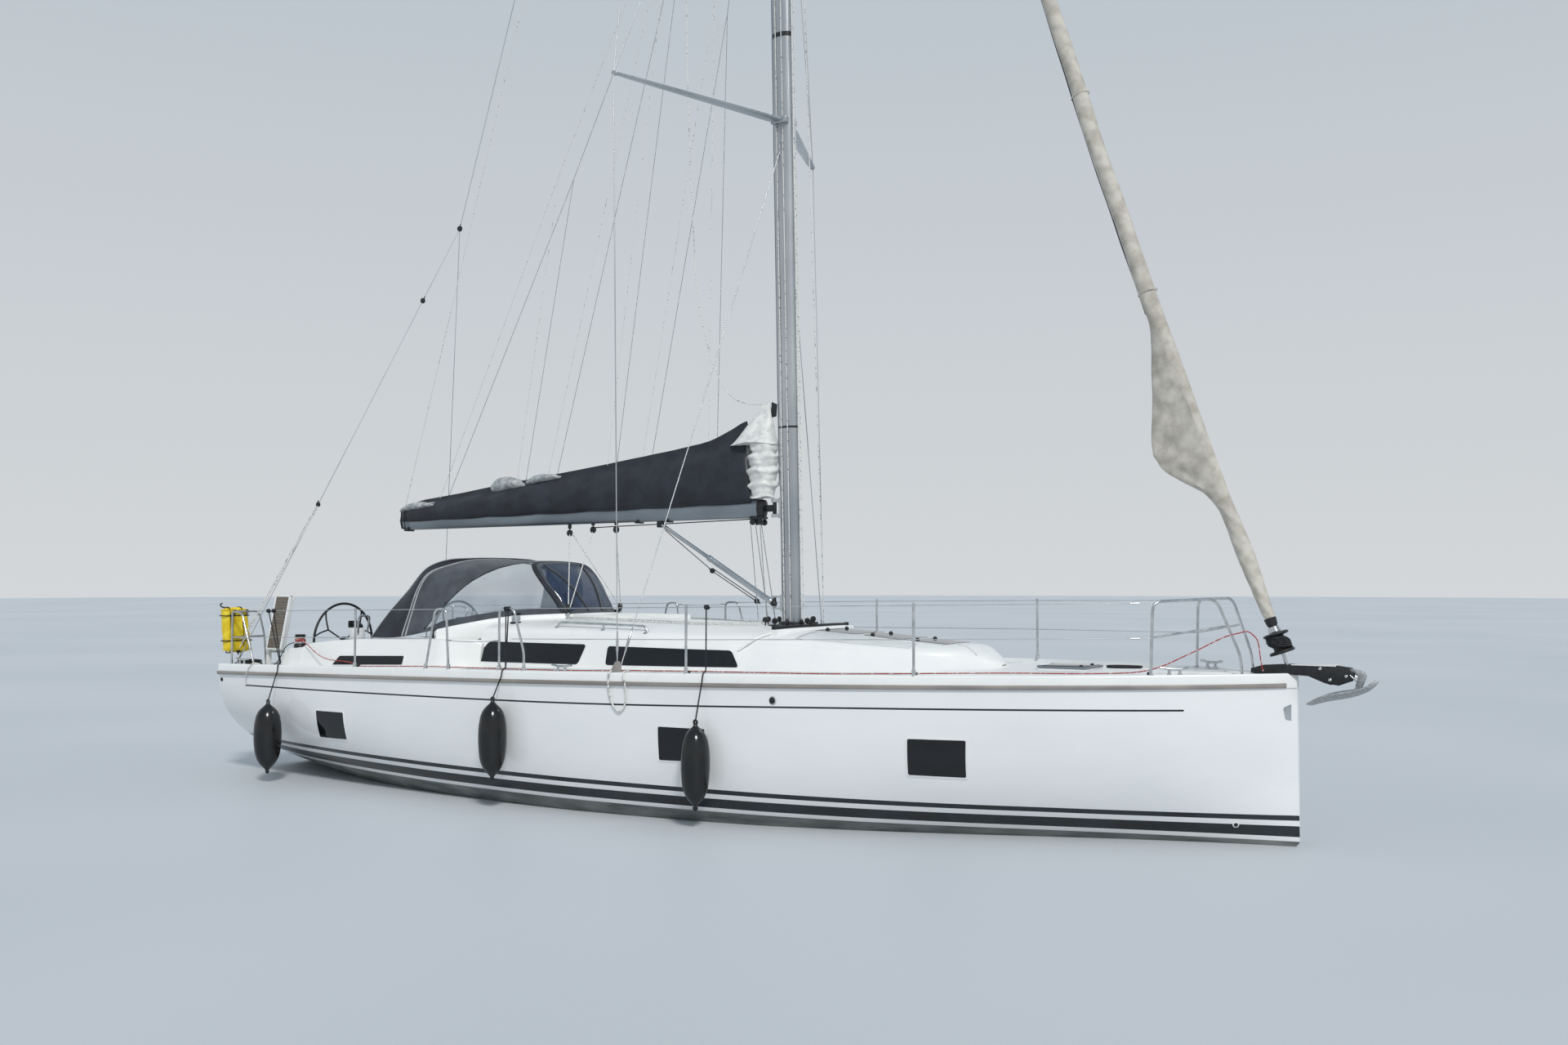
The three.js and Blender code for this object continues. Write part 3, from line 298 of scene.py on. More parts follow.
def thickened(piece, thick):
    """Gives a sheet its thickness, half of it on each side."""
    return modify(piece, "SOLIDIFY", thickness=thick, offset=0.0)

# %% [markdown]
# ## Five ways to shape a piece
# Most of a yacht is one of five things: a box with eased edges, a turned piece such as
# a winch, a bent tube or rope, a plate cut to an outline, or a skin drawn through
# lines. Each gets one small function that does by code what a hand would do in edit
# mode.

# %% A box with rounded edges
def block(name, low, high, edge=0.004, segments=2):
    """A box from its lowest to its highest corner, every edge bevelled."""
    begin()
    middle = [(a + b) / 2 for a, b in zip(low, high)]
    size = [b - a for a, b in zip(low, high)]
    bpy.ops.mesh.primitive_cube_add(size=1, location=middle, scale=size)
    piece = settle(named(name))
    if edge:
        edit_all()
        bpy.ops.mesh.bevel(offset=edge, segments=segments)
        bpy.ops.object.mode_set(mode="OBJECT")
    return soften(piece)

# %% A turned piece
def aimed(piece, at, toward):
    """Turns a piece that was made along Z to point along another direction, at a place."""
    piece.rotation_mode = "QUATERNION"
    piece.rotation_quaternion = Vector(toward).to_track_quat("Z", "Y")
    piece.location = at
    return settle(piece)


ACROSS = (0, 1, 0)


def turned(name, profile, at=(0, 0, 0), toward=(0, 0, 1), sides=24, angle_deg=40):
    """A disc drawn up its axis and widened or narrowed at each (height, radius) of the profile."""
    begin()
    bottom, radius = profile[0]
    bpy.ops.mesh.primitive_circle_add(
        vertices=sides, radius=radius, fill_type="NGON", location=(0, 0, bottom)
    )
    piece = settle(named(name))
    edit_all()
    for (low, narrow), (high, wide) in zip(profile, profile[1:]):
        bpy.ops.mesh.extrude_region_move(TRANSFORM_OT_translate={"value": (0, 0, high - low)})
        change = wide / narrow
        bpy.ops.transform.resize(value=(change, change, 1), center_override=(0, 0, high))
    bpy.ops.mesh.select_all(action="SELECT")
    edited()
    return soften(aimed(piece, at, toward), angle_deg)

# %% A bent tube or a rope
def tube(name, runs, radius, round_steps=3, closed=False):
    """One piece of round section along each run of points."""
    begin()
    bpy.ops.curve.primitive_nurbs_path_add()
    piece = named(name)
    path = piece.data
    path.splines.clear()
    for points in runs:
        run = path.splines.new("POLY")
        run.points.add(len(points) - 1)
        for corner, point in zip(run.points, points):
            corner.co = (*point, 1)
        run.use_cyclic_u = closed
    path.bevel_depth = radius
    path.bevel_resolution = round_steps
    path.use_fill_caps = not closed
    bpy.ops.object.convert(target="MESH")
    piece = bpy.context.object
    return soften(settle(piece), 50)


def rounded(points, reach=0.05, steps=4):
    """A path whose corners are bent round: each starts to bend `reach` before the corner."""
    path = [Vector(points[0])]
    for before, corner, after in zip(points, points[1:], points[2:]):
        corner = Vector(corner)
        back = Vector(before) - corner
        on = Vector(after) - corner
        r = min(reach, back.length * 0.45, on.length * 0.45)
        start = corner + back.normalized() * r
        end = corner + on.normalized() * r
        for k in range(steps + 1):
            t = k / steps
            path.append(start * (1 - t) ** 2 + corner * (2 * t * (1 - t)) + end * t * t)
    path.append(Vector(points[-1]))
    return [tuple(p) for p in path]


def sagging(a, b, drop, steps=12):
    """Points of a line that hangs between two ends, its middle `drop` under the straight."""
    a = Vector(a)
    b = Vector(b)
    shares = [k / steps for k in range(steps + 1)]
    return [tuple(a.lerp(b, t) - Vector((0, 0, drop * 4 * t * (1 - t)))) for t in shares]

# %% A plate cut to an outline
def plate(name, outline, thick, edge=0.0):
    """An outline of points in space, drawn out by the vector `thick`, its edges eased."""
    begin()
    bpy.ops.mesh.primitive_circle_add(vertices=len(outline), fill_type="NGON")
    piece = named(name)
    for corner, point in zip(piece.data.vertices, outline):
        corner.co = point
    piece.data.update()
    settle(piece)
    edit_all()
    bpy.ops.mesh.extrude_region_move(TRANSFORM_OT_translate={"value": thick})
    bpy.ops.mesh.select_all(action="SELECT")
    bpy.ops.mesh.normals_make_consistent(inside=False)
    if edge:
        bpy.ops.mesh.bevel(offset=edge, segments=2)
    bpy.ops.object.mode_set(mode="OBJECT")
    return soften(piece)

# %% A skin through rows of points
def skin(name, rows, ring=False, ends=False):
    """A grid laid on rows of points. `ring` joins each row's ends, `ends` closes the outer rows."""
    begin()
    across = len(rows[0])
    bpy.ops.mesh.primitive_grid_add(
        x_subdivisions=across - 1, y_subdivisions=len(rows) - 1, size=1
    )
    piece = named(name)
    places = [c for row in rows for point in row for c in point]
    assert len(piece.data.vertices) * 3 == len(places), name
    piece.data.vertices.foreach_set("co", places)
    piece.data.update()
    edit_all()
    if ring:
        bpy.ops.mesh.remove_doubles(threshold=0.00002)
    if ends:
        bpy.ops.mesh.select_all(action="DESELECT")
        bpy.ops.mesh.select_non_manifold()
        bpy.ops.mesh.fill_holes(sides=0)
        bpy.ops.mesh.select_all(action="SELECT")
    edited()
    return soften(piece)


def around(count, closed=False):
    """The angles of so many equal steps round a circle, and the first again if closed."""
    return [2 * math.pi * k / count for k in range(count + closed)]


def between(a, b, t):
    """A number or a point part of the way from a to b."""
    if hasattr(a, "__len__"):
        return tuple(between(p, q, t) for p, q in zip(a, b))
    return a + (b - a) * t


def spaced(a, b, count):
    """Values or points from a to b, in so many equal steps."""
    return [between(a, b, k / count) for k in range(count + 1)]


def along(table, x):
    """The value at x on a line through the table's (x, value) rows."""
    if x <= table[0][0]:
        return table[0][1]
    for (x0, v0), (x1, v1) in zip(table, table[1:]):
        if x <= x1:
            return between(v0, v1, (x - x0) / (x1 - x0))
    return table[-1][1]


def flowing(table, x):
    """Like `along`, but on a smooth curve through the rows."""
    xs = [row[0] for row in table]
    if x <= xs[0]:
        return table[0][1]
    if x >= xs[-1]:
        return table[-1][1]
    i = next(k for k in range(len(xs) - 1) if x <= xs[k + 1])
    values = [table[max(0, min(len(table) - 1, k))][1] for k in (i - 1, i, i + 1, i + 2)]
    t = (x - xs[i]) / (xs[i + 1] - xs[i])

    def bend(p, q, r, s):
        """The smooth value between q and r, with p before and s after them."""
        return q + 0.5 * t * (r - p + t * (2 * p - 5 * q + 4 * r - s + t * (3 * (q - r) + s - p)))

    if hasattr(values[0], "__len__"):
        return tuple(bend(*four) for four in zip(*values))
    return bend(*values)


def smoothed(points, steps):
    """A smooth curve through points, in so many steps from each to the next."""
    table = list(enumerate(points))
    return [flowing(table, k / steps) for k in range(steps * (len(points) - 1) + 1)]


def run_length(path):
    """The length of a path along its points."""
    return sum((Vector(b) - Vector(a)).length for a, b in zip(path, path[1:]))

# %% Joining and mirroring
def joined(name, pieces):
    """Several pieces made one."""
    choose(pieces[0])
    for piece in pieces:
        piece.select_set(True)
    bpy.ops.object.join()
    return named(name)


def mirrored(piece, name):
    """The same piece on the other side of the boat, with its faces turned out again."""
    choose(piece)
    bpy.ops.object.duplicate()
    twin = named(name)
    twin.scale = (1, -1, 1)
    settle(twin)
    edit_all()
    edited()
    return twin

# %% [markdown]
# A solid piece whose form is already right is copied: its loose triangles are merged,
# its flat areas made whole again and its edges eased, because no moulded or machined
# edge is knife sharp. The copy then stands for the solid.

# %% A finished copy of a solid piece
def finished_copy(node, edge=0.0, angle_deg=35):
    """A merged copy of a solid piece, with eased edges, standing for that piece."""
    choose(node_of[node])
    bpy.ops.object.duplicate()
    piece = named(node + "_finished")
    piece.parent = None
    for key in list(piece.keys()):
        del piece[key]
    piece.data.materials.clear()
    edit_all()
    bpy.ops.mesh.remove_doubles(threshold=0.00003)
    bpy.ops.mesh.dissolve_limited(angle_limit=math.radians(0.6))
    bpy.ops.object.mode_set(mode="OBJECT")
    if edge:
        modify(
            piece, "BEVEL", width=edge, segments=2, limit_method="ANGLE",
            angle_limit=math.radians(angle_deg), use_clamp_overlap=True,
        )
    soften(piece, angle_deg)
    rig.replaces(piece, node)
    return piece


def rides(piece, finish, body="yacht"):
    """Gives a piece its finish and the body it moves with."""
    piece.data.materials.clear()
    piece.data.materials.append(finish)
    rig.ride(piece, body)
    return piece

# %% [markdown]
# ## Finishes
# Colours are written as they look on a screen, in sRGB hex, and one function turns
# them to the linear light that Blender mixes. A second small function adds a node with
# its settings and links, which is all that a node tree needs.

# %% Colours and nodes
def linear(hex_colour):
    """An sRGB hex colour as linear red, green, blue and alpha."""
    shares = [int(hex_colour[i : i + 2], 16) / 255 for i in (1, 3, 5)]
    lights = [c / 12.92 if c <= 0.04045 else ((c + 0.055) / 1.055) ** 2.4 for c in shares]
    return (*lights, 1.0)


def add_node(tree, kind, settings=None, links=None):
    """Adds a node, sets its properties and sockets, and links its sockets to (node, output)."""
    made = tree.nodes.new(kind)
    for key, value in (settings or {}).items():
        if isinstance(key, int) or key in made.inputs:
            made.inputs[key].default_value = value
        else:
            setattr(made, key, value)
    for key, (source, output) in (links or {}).items():
        tree.links.new(source.outputs[output], made.inputs[key])
    return made


def start_finish(name, colour, roughness, metallic=0.0, **sockets):
    """A new material with its shader set, and the place that its patterns read."""
    finish = bpy.data.materials.new(name)
    finish.use_nodes = True
    tree = finish.node_tree
    shader = tree.nodes["Principled BSDF"]
    shader.inputs["Base Color"].default_value = linear(colour)
    shader.inputs["Roughness"].default_value = roughness
    shader.inputs["Metallic"].default_value = metallic
    for socket, value in sockets.items():
        shader.inputs[socket.replace("_", " ")].default_value = value
    place = add_node(tree, "ShaderNodeTexCoord")
    return finish, tree, shader, place

# %% [markdown]
# Nothing outdoors is one flat colour. Cloud-like noise moves most of these finishes
# between two close shades. The same noise, read as a height, gives a surface its
# ripple or grain. Scales are given as the real size of one patch in millimetres.

# %% Shades, relief and wear
def patches(tree, place, patch_mm, stretch=(1, 1, 1), detail=4.0):
    """Noise whose patches are about patch_mm across, drawn out along an axis if stretched."""
    laid = add_node(tree, "ShaderNodeMapping", {"Scale": stretch}, {"Vector": (place, "Object")})
    return add_node(
        tree, "ShaderNodeTexNoise", {"Scale": 1000 / patch_mm, "Detail": detail},
        {"Vector": (laid, "Vector")},
    )


def shaded(tree, shader, noise, dark, light, low=0.35, high=0.65):
    """The base colour runs from dark to light as the noise does."""
    spread = add_node(
        tree, "ShaderNodeMapRange", {"From Min": low, "From Max": high}, {"Value": (noise, 0)}
    )
    mixed = add_node(
        tree, "ShaderNodeMix", {"data_type": "RGBA", 6: linear(dark), 7: linear(light)},
        {0: (spread, 0)},
    )
    tree.links.new(mixed.outputs[2], shader.inputs["Base Color"])
    return mixed


def relief(tree, shader, source, depth_mm):
    """A bump of the given depth where the source is high."""
    bump = add_node(
        tree, "ShaderNodeBump", {"Strength": 1.0, "Distance": depth_mm / 1000}, {"Height": (source, 0)}
    )
    tree.links.new(bump.outputs[0], shader.inputs["Normal"])


def rougher(tree, shader, noise, low, high):
    """The roughness runs from low to high as the noise does."""
    spread = add_node(
        tree, "ShaderNodeMapRange",
        {"From Min": 0.3, "From Max": 0.7, "To Min": low, "To Max": high}, {"Value": (noise, 0)},
    )
    tree.links.new(spread.outputs[0], shader.inputs["Roughness"])

# %% [markdown]
# **Gelcoat** is polyester resin sprayed in a polished mould: a clear glossy white with
# the faintest ripple, which bends reflections more than it shows itself. On the deck it
# is the same resin, duller with use, and where people tread it is moulded with a fine
# grain. The real grain is about 3 mm, too fine to show, so it is drawn at 9 mm.

# %% Gelcoat
hull_gelcoat, tree, shader, place = start_finish(
    "gelcoat_hull_white", "#E9EAEA", 0.14, Coat_Weight=0.35, Coat_Roughness=0.06
)
weather = patches(tree, place, 900, (1, 1, 2.5))
shaded(tree, shader, weather, "#E4E6E7", "#ECEDED", 0.2, 0.8)
relief(tree, shader, patches(tree, place, 700, detail=0.0), 0.5)

deck_gelcoat, tree, shader, place = start_finish("gelcoat_deck_white", "#ECEDEC", 0.3)
weather = patches(tree, place, 400)
shaded(tree, shader, weather, "#E6E8E7", "#EFF0EE", 0.2, 0.8)
rougher(tree, shader, weather, 0.24, 0.4)
relief(tree, shader, patches(tree, place, 500, detail=0.0), 0.3)

nonslip_gelcoat, tree, shader, place = start_finish("gelcoat_nonslip_grey", "#D9DCDB", 0.62)
trodden = patches(tree, place, 420)
shaded(tree, shader, trodden, "#CDD1D0", "#DEE0DF")
grain = add_node(
    tree, "ShaderNodeTexVoronoi", {"Scale": 1000 / 9, "feature": "F1"}, {"Vector": (place, "Object")}
)
relief(tree, shader, grain, 1.2)

# %% [markdown]
# **Vinyl stripes** are a cut film, nearly black with a cool cast. **Antifouling** is a
# soft matt paint, chalky and mottled where weed and water have been at it. The
# **rubbing strake** is grey extruded plastic with a satin face.

# %% Stripes, bottom paint and strake
stripe_vinyl, tree, shader, place = start_finish("vinyl_stripe_dark", "#1A2226", 0.24)
shaded(tree, shader, patches(tree, place, 500), "#151B20", "#232C30")

bottom_paint, tree, shader, place = start_finish("antifouling_grey", "#6B706F", 0.78)
growth = patches(tree, place, 130, (0.3, 0.3, 1.6), detail=7.0)
shaded(tree, shader, growth, "#555B5B", "#7C8180")
relief(tree, shader, patches(tree, place, 18), 0.5)

strake_plastic, tree, shader, place = start_finish("pvc_strake_grey", "#8C8782", 0.42)
shaded(tree, shader, patches(tree, place, 200, (0.2, 1, 1)), "#7F7B77", "#98938D")

# %% [markdown]
# **Smoked acrylic** is a cast sheet, so its face is flat and very glossy and its edge is
# hidden by black sealant. **Clear vinyl** is the bendy sheet of a sprayhood window, a
# little smoky and never quite flat.

# %% Glazing
smoked_acrylic, tree, shader, place = start_finish("acrylic_smoked", "#0B0E11", 0.05, IOR=1.49)
smears = patches(tree, place, 260, (0.4, 1, 1))
rougher(tree, shader, smears, 0.03, 0.12)
shaded(tree, shader, smears, "#090B0E", "#10151A")

clear_vinyl, tree, shader, place = start_finish(
    "vinyl_clear_smoky", "#8E9BA6", 0.08, Alpha=0.34, IOR=1.53
)
shaded(tree, shader, patches(tree, place, 300), "#7F8C98", "#A3AEB6")
relief(tree, shader, patches(tree, place, 140, detail=1.0), 2.0)

tinted_vinyl, tree, shader, place = start_finish(
    "vinyl_tinted_blue", "#33415A", 0.1, Alpha=0.62, IOR=1.53
)
shaded(tree, shader, patches(tree, place, 300), "#2B3850", "#3F4D66")
relief(tree, shader, patches(tree, place, 140, detail=1.0), 2.0)

# %% [markdown]
# **Anodised aluminium** spars are drawn through a die and dipped: a satin silver with
# fine lines along the length. **Stainless steel** tube is polished, with brighter and
# duller lengths. Wire is the same steel laid up in strands, and a cast or galvanised
# piece is mottled zinc grey.

# %% Metals
spar_aluminium, tree, shader, place = start_finish("aluminium_anodised_spar", "#C6C9CB", 0.36, 1.0)
drawn = patches(tree, place, 14, (1, 1, 0.01), detail=2.0)
rougher(tree, shader, drawn, 0.24, 0.36)
shaded(tree, shader, patches(tree, place, 700, (1, 1, 0.4)), "#A9AEB2", "#C9CCCE")
relief(tree, shader, drawn, 0.15)

boom_aluminium, tree, shader, place = start_finish("aluminium_anodised_grey", "#8B9299", 0.4, 0.85)
drawn = patches(tree, place, 14, (0.01, 1, 1), detail=2.0)
rougher(tree, shader, drawn, 0.34, 0.5)
shaded(tree, shader, patches(tree, place, 600, (0.4, 1, 1)), "#7E858C", "#99A0A6")

stainless, tree, shader, place = start_finish("stainless_polished", "#C9CBCC", 0.16, 1.0)
rub = patches(tree, place, 90)
rougher(tree, shader, rub, 0.1, 0.28)
shaded(tree, shader, rub, "#B9BCBE", "#D6D8D8")

rigging_wire, tree, shader, place = start_finish("stainless_wire_strand", "#C4C6C7", 0.34, 0.9)
lay = add_node(
    tree, "ShaderNodeTexWave",
    {"Scale": 30.0, "bands_direction": "DIAGONAL", "Distortion": 0.0},
    {"Vector": (place, "Object")},
)
relief(tree, shader, lay, 0.8)
shaded(tree, shader, patches(tree, place, 300, (1, 1, 0.2)), "#B4B7B9", "#D4D5D5")

galvanised, tree, shader, place = start_finish("steel_galvanised", "#A9ACAD", 0.5, 0.75)
crystals = add_node(
    tree, "ShaderNodeTexVoronoi", {"Scale": 1000 / 22, "feature": "F1"},
    {"Vector": (place, "Object")},
)
shaded(tree, shader, crystals, "#8F9395", "#BEC0C0", 0.0, 0.8)
relief(tree, shader, patches(tree, place, 12), 0.4)

bronze, tree, shader, place = start_finish("bronze_cast", "#A9854E", 0.38, 1.0)
shaded(tree, shader, patches(tree, place, 60), "#8A6A3D", "#BE9A5F")

keel_iron, tree, shader, place = start_finish("iron_cast_painted", "#5F6465", 0.8)
shaded(tree, shader, patches(tree, place, 150, detail=7.0), "#4E5354", "#717676")
relief(tree, shader, patches(tree, place, 9), 0.8)

# %% [markdown]
# **Black fittings** are glass-filled nylon: blocks, drums, clutches and the winch tops.
# **Wheel leather** is blacker and softer, and **fender vinyl** is glossy with scuffs.

# %% Black fittings
black_nylon, tree, shader, place = start_finish("nylon_black", "#17181A", 0.42)
shaded(tree, shader, patches(tree, place, 40), "#101113", "#212325")
relief(tree, shader, patches(tree, place, 3), 0.15)

black_leather, tree, shader, place = start_finish("leather_black", "#141416", 0.5)
pores = add_node(
    tree, "ShaderNodeTexVoronoi", {"Scale": 1000 / 5, "feature": "F1"},
    {"Vector": (place, "Object")},
)
relief(tree, shader, pores, 0.5)
shaded(tree, shader, patches(tree, place, 60), "#0F0F11", "#1D1E20")

fender_vinyl, tree, shader, place = start_finish("vinyl_fender_black", "#121314", 0.2, IOR=1.5)
scuff = patches(tree, place, 160, detail=2.0)
rougher(tree, shader, scuff, 0.14, 0.24)
shaded(tree, shader, scuff, "#101112", "#17191A")

# %% [markdown]
# **Acrylic canvas** is a dense plain weave of dull yarn. Its threads are half a
# millimetre apart, which no view here shows, so the weave is drawn at 5 mm, where it
# reads as a soft tooth. Larger folds are real shape in the mesh, and noise adds the
# small creases between them. **Sailcloth** is crisper and shines a little.

# %% Cloths
def woven(tree, shader, place, thread_mm, crease_mm, crease_depth_mm):
    """Crossed threads with soft creases over them, both as relief."""
    laid = add_node(
        tree, "ShaderNodeMapping", {"Scale": [1000 / thread_mm] * 3}, {"Vector": (place, "Object")}
    )
    along_threads = add_node(
        tree, "ShaderNodeTexWave", {"Scale": 0.314, "bands_direction": "X"},
        {"Vector": (laid, "Vector")},
    )
    across_threads = add_node(
        tree, "ShaderNodeTexWave", {"Scale": 0.314, "bands_direction": "Z"},
        {"Vector": (laid, "Vector")},
    )
    cloth = add_node(
        tree, "ShaderNodeMath", {"operation": "MULTIPLY"},
        {0: (along_threads, 1), 1: (across_threads, 1)},
    )
    fine = add_node(
        tree, "ShaderNodeBump", {"Strength": 0.35, "Distance": 0.0006}, {"Height": (cloth, 0)}
    )
    creases = patches(tree, place, crease_mm, detail=3.0)
    folded = add_node(
        tree, "ShaderNodeBump", {"Strength": 0.8, "Distance": crease_depth_mm / 1000},
        {"Height": (creases, 0), "Normal": (fine, 0)},
    )
    tree.links.new(folded.outputs[0], shader.inputs["Normal"])
    return creases


navy_canvas, tree, shader, place = start_finish(
    "acrylic_canvas_navy", "#151A24", 0.72, Sheen_Weight=0.15, Sheen_Roughness=0.5
)
creases = woven(tree, shader, place, 5, 190, 9)
shaded(tree, shader, creases, "#10141C", "#1F2531")

cream_canvas, tree, shader, place = start_finish(
    "acrylic_canvas_cream", "#BDB7AC", 0.8, Sheen_Weight=0.2, Sheen_Roughness=0.5
)
creases = woven(tree, shader, place, 5, 120, 6)
shaded(tree, shader, creases, "#ABA59A", "#CBC6BB")

hood_canvas, tree, shader, place = start_finish(
    "acrylic_canvas_grey", "#40454C", 0.78, Sheen_Weight=0.2, Sheen_Roughness=0.5
)
creases = woven(tree, shader, place, 5, 220, 4)
shaded(tree, shader, creases, "#373C43", "#4C5159")

piping_cloth, tree, shader, place = start_finish("binding_tape_grey", "#A7ABAE", 0.7)
shaded(tree, shader, patches(tree, place, 60), "#989CA0", "#B4B8BA")

white_sailcloth, tree, shader, place = start_finish(
    "sailcloth_white", "#DADBD8", 0.5, Sheen_Weight=0.1
)
creases = woven(tree, shader, place, 6, 70, 6)
shaded(tree, shader, creases, "#C9CBC9", "#E8E8E4")

grey_sailcloth, tree, shader, place = start_finish("sailcloth_aged_grey", "#A4A8A9", 0.5)
creases = woven(tree, shader, place, 6, 60, 6)
shaded(tree, shader, creases, "#8A8F92", "#BABDBC")

rescue_cloth, tree, shader, place = start_finish("pvc_cloth_yellow", "#EFD21C", 0.42)
creases = woven(tree, shader, place, 6, 110, 7)
shaded(tree, shader, creases, "#DDBE12", "#F6DE3A")

# %% [markdown]
# **Teak** left to the weather turns silver brown. It is laid in planks 45 mm wide with
# black caulking between them, so two patterns work together: the caulking lines repeat
# across the planks, and long thin noise gives each plank its grain.

# %% Teak
PLANK_MM, SEAM_MM = 45, 5


def planked(name, across_axis):
    """Weathered teak planks laid along the boat or across it."""
    finish, tree, shader, place = start_finish(name, "#9C8A73", 0.68)
    apart = add_node(tree, "ShaderNodeSeparateXYZ", {}, {0: (place, "Object")})
    at = add_node(
        tree, "ShaderNodeMath", {"operation": "MULTIPLY", 1: 1000 / PLANK_MM},
        {0: (apart, across_axis)},
    )
    in_plank = add_node(tree, "ShaderNodeMath", {"operation": "FRACT"}, {0: (at, 0)})
    seam = add_node(
        tree, "ShaderNodeMath", {"operation": "LESS_THAN", 1: SEAM_MM / PLANK_MM},
        {0: (in_plank, 0)},
    )
    stretch = (0.12, 1, 1) if across_axis == "Y" else (1, 0.12, 1)
    grain = patches(tree, place, 12, stretch, detail=5.0)
    wood = shaded(tree, shader, grain, "#857560", "#AE9C84", 0.3, 0.7)
    caulked = add_node(
        tree, "ShaderNodeMix", {"data_type": "RGBA", 7: linear("#1F1F1F")},
        {0: (seam, 0), 6: (wood, 2)},
    )
    tree.links.new(caulked.outputs[2], shader.inputs["Base Color"])
    relief(tree, shader, grain, 0.6)
    return finish


teak_along = planked("teak_planks_along", "Y")

# The seat slats are darker than the cockpit teak. Part of that is grey-brown weathering, and part is painted shade for
# the shadow the slats stood in.
teak_slat_painted_shade, tree, shader, place = start_finish("teak_weathered", "#6B6258", 0.7)
grain = patches(tree, place, 10, (0.12, 1, 1), detail=5.0)
shaded(tree, shader, grain, "#544C44", "#7E7468", 0.3, 0.7)
relief(tree, shader, grain, 0.6)

# %% [markdown]
# **Rope** is braided polyester. At this distance its braid shows as flecks along the
# line, so the pattern is short noise drawn along the rope, over its main colour.

# %% Ropes
FLECKED = 0.62


def braided(name, main, fleck):
    """Braided rope of one colour with flecks of another."""
    finish, tree, shader, place = start_finish(name, main, 0.75)
    flecks = patches(tree, place, 22, detail=1.0)
    shaded(tree, shader, flecks, main, fleck, FLECKED - 0.04, FLECKED + 0.04)
    braid = add_node(
        tree, "ShaderNodeTexWave", {"Scale": 60.0, "bands_direction": "DIAGONAL"},
        {"Vector": (place, "Object")},
    )
    relief(tree, shader, braid, 1.0)
    return finish


white_rope = braided("rope_polyester_white", "#E2E1DC", "#8D9298")
black_rope = braided("rope_polyester_black", "#1C1D20", "#3A3C40")
red_rope = braided("rope_polyester_red", "#A8322E", "#D8BFB8")
grey_rope = braided("rope_polyester_grey", "#8E9194", "#C6C8C8")

print("finishes made:", len([m for m in bpy.data.materials if m.use_nodes]))

# %% [markdown]
# ## The floor and the light
# The yacht stands on a plain pale floor laid at the waterline, like a model on a
# table. A pale sky gives soft light from everywhere, and one broad sun from ahead and
# to starboard gives the shine on the spars that the day had. The colours are shown
# as they are, with no film curve over them.

# %% Stage and light
begin()
bpy.ops.mesh.primitive_circle_add(vertices=96, radius=160, fill_type="NGON")
floor = named("floor")
edit_all()
bpy.ops.mesh.inset(thickness=110)
bpy.ops.mesh.inset(thickness=40)
bpy.ops.object.mode_set(mode="OBJECT")
floor_paint, tree, shader, place = start_finish("floor_pale_plaster", "#D3D6D8", 0.55)
shaded(tree, shader, patches(tree, place, 9000, detail=1.0), "#C3C8CC", "#CACED2")
floor.data.materials.append(floor_paint)
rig.stage(floor)

scene = bpy.context.scene
scene.view_settings.view_transform = "Standard"
scene.world = bpy.data.worlds.new("soft_sky")
scene.world.use_nodes = True
sky = scene.world.node_tree
sky_light = sky.nodes["Background"]
seen = add_node(sky, "ShaderNodeTexCoord")
upward = add_node(sky, "ShaderNodeSeparateXYZ", {}, {0: (seen, "Generated")})
rise = add_node(
    sky, "ShaderNodeMapRange", {"From Min": -0.05, "From Max": 0.7}, {"Value": (upward, "Z")}
)
shade = add_node(
    sky, "ShaderNodeMix", {"data_type": "RGBA", 6: linear("#E9ECEE"), 7: linear("#B9C8D6")},
    {0: (rise, 0)},
)
sky.links.new(shade.outputs[2], sky_light.inputs["Color"])
sky_light.inputs["Strength"].default_value = 0.82

begin()
bpy.ops.object.light_add(type="SUN", location=(10, -20, 30))
sun = bpy.context.object
sun.name = "broad_sun"
sun.data.energy = 1.9
sun.data.angle = math.radians(9)
sun.data.color = (1.0, 0.975, 0.94)
sun.rotation_mode = "QUATERNION"
sun.rotation_quaternion = Vector((0.62, -0.62, 0.85)).to_track_quat("Z", "Y")
print("light set")

# %% [markdown]
# ## The hull
# A moulded hull has no straight section anywhere. Its lines are a few curves: the
# half breadth and height of the sheer (the upper edge), the line of the keel, and a
# power that makes each section fuller or sharper. The solid was drawn from the same
# numbers, so this skin lies on it, only with four times as many sections.

# %% Hull lines
STERN_X, BOW_X, WIDEST_X, HALF_BEAM = -6.0, 6.0, -1.6, 2.085
GUNWALE = 0.13
BULWARK = 0.038
KEEL_LINE = [
    (-6.0, -0.07), (-5.2, -0.19), (-4.0, -0.34), (-2.5, -0.47), (-0.8, -0.54), (0.8, -0.53),
    (2.4, -0.45), (3.8, -0.33), (5.0, -0.21), (5.6, -0.14), (5.85, -0.09), (5.95, -0.04),
    (6.0, 0.04),
]
SIDE_POWER = [(-6.0, 1.25), (-4.0, 1.55), (-1.5, 1.95), (1.5, 1.95), (4.0, 1.5), (6.0, 1.2)]
DEPTH_POWER = [(-6.0, 2.75), (-3.5, 3.6), (-0.5, 4.2), (1.5, 3.9), (4.0, 2.7), (6.0, 2.1)]


def sheer_half(x):
    """Half breadth of the hull's upper edge."""
    if x > WIDEST_X:
        u = (x - WIDEST_X) / (BOW_X - WIDEST_X)
        return max(0.026, HALF_BEAM * max(0.0, 1 - u**2.25) ** 0.82)
    u = (WIDEST_X - x) / (WIDEST_X - STERN_X)
    return HALF_BEAM - 0.21 * u * u


def sheer_height(x):
    """Height of the hull's upper edge."""
    u = x / 6
    return 1.408 + 0.101 * u - 0.012 * u * u


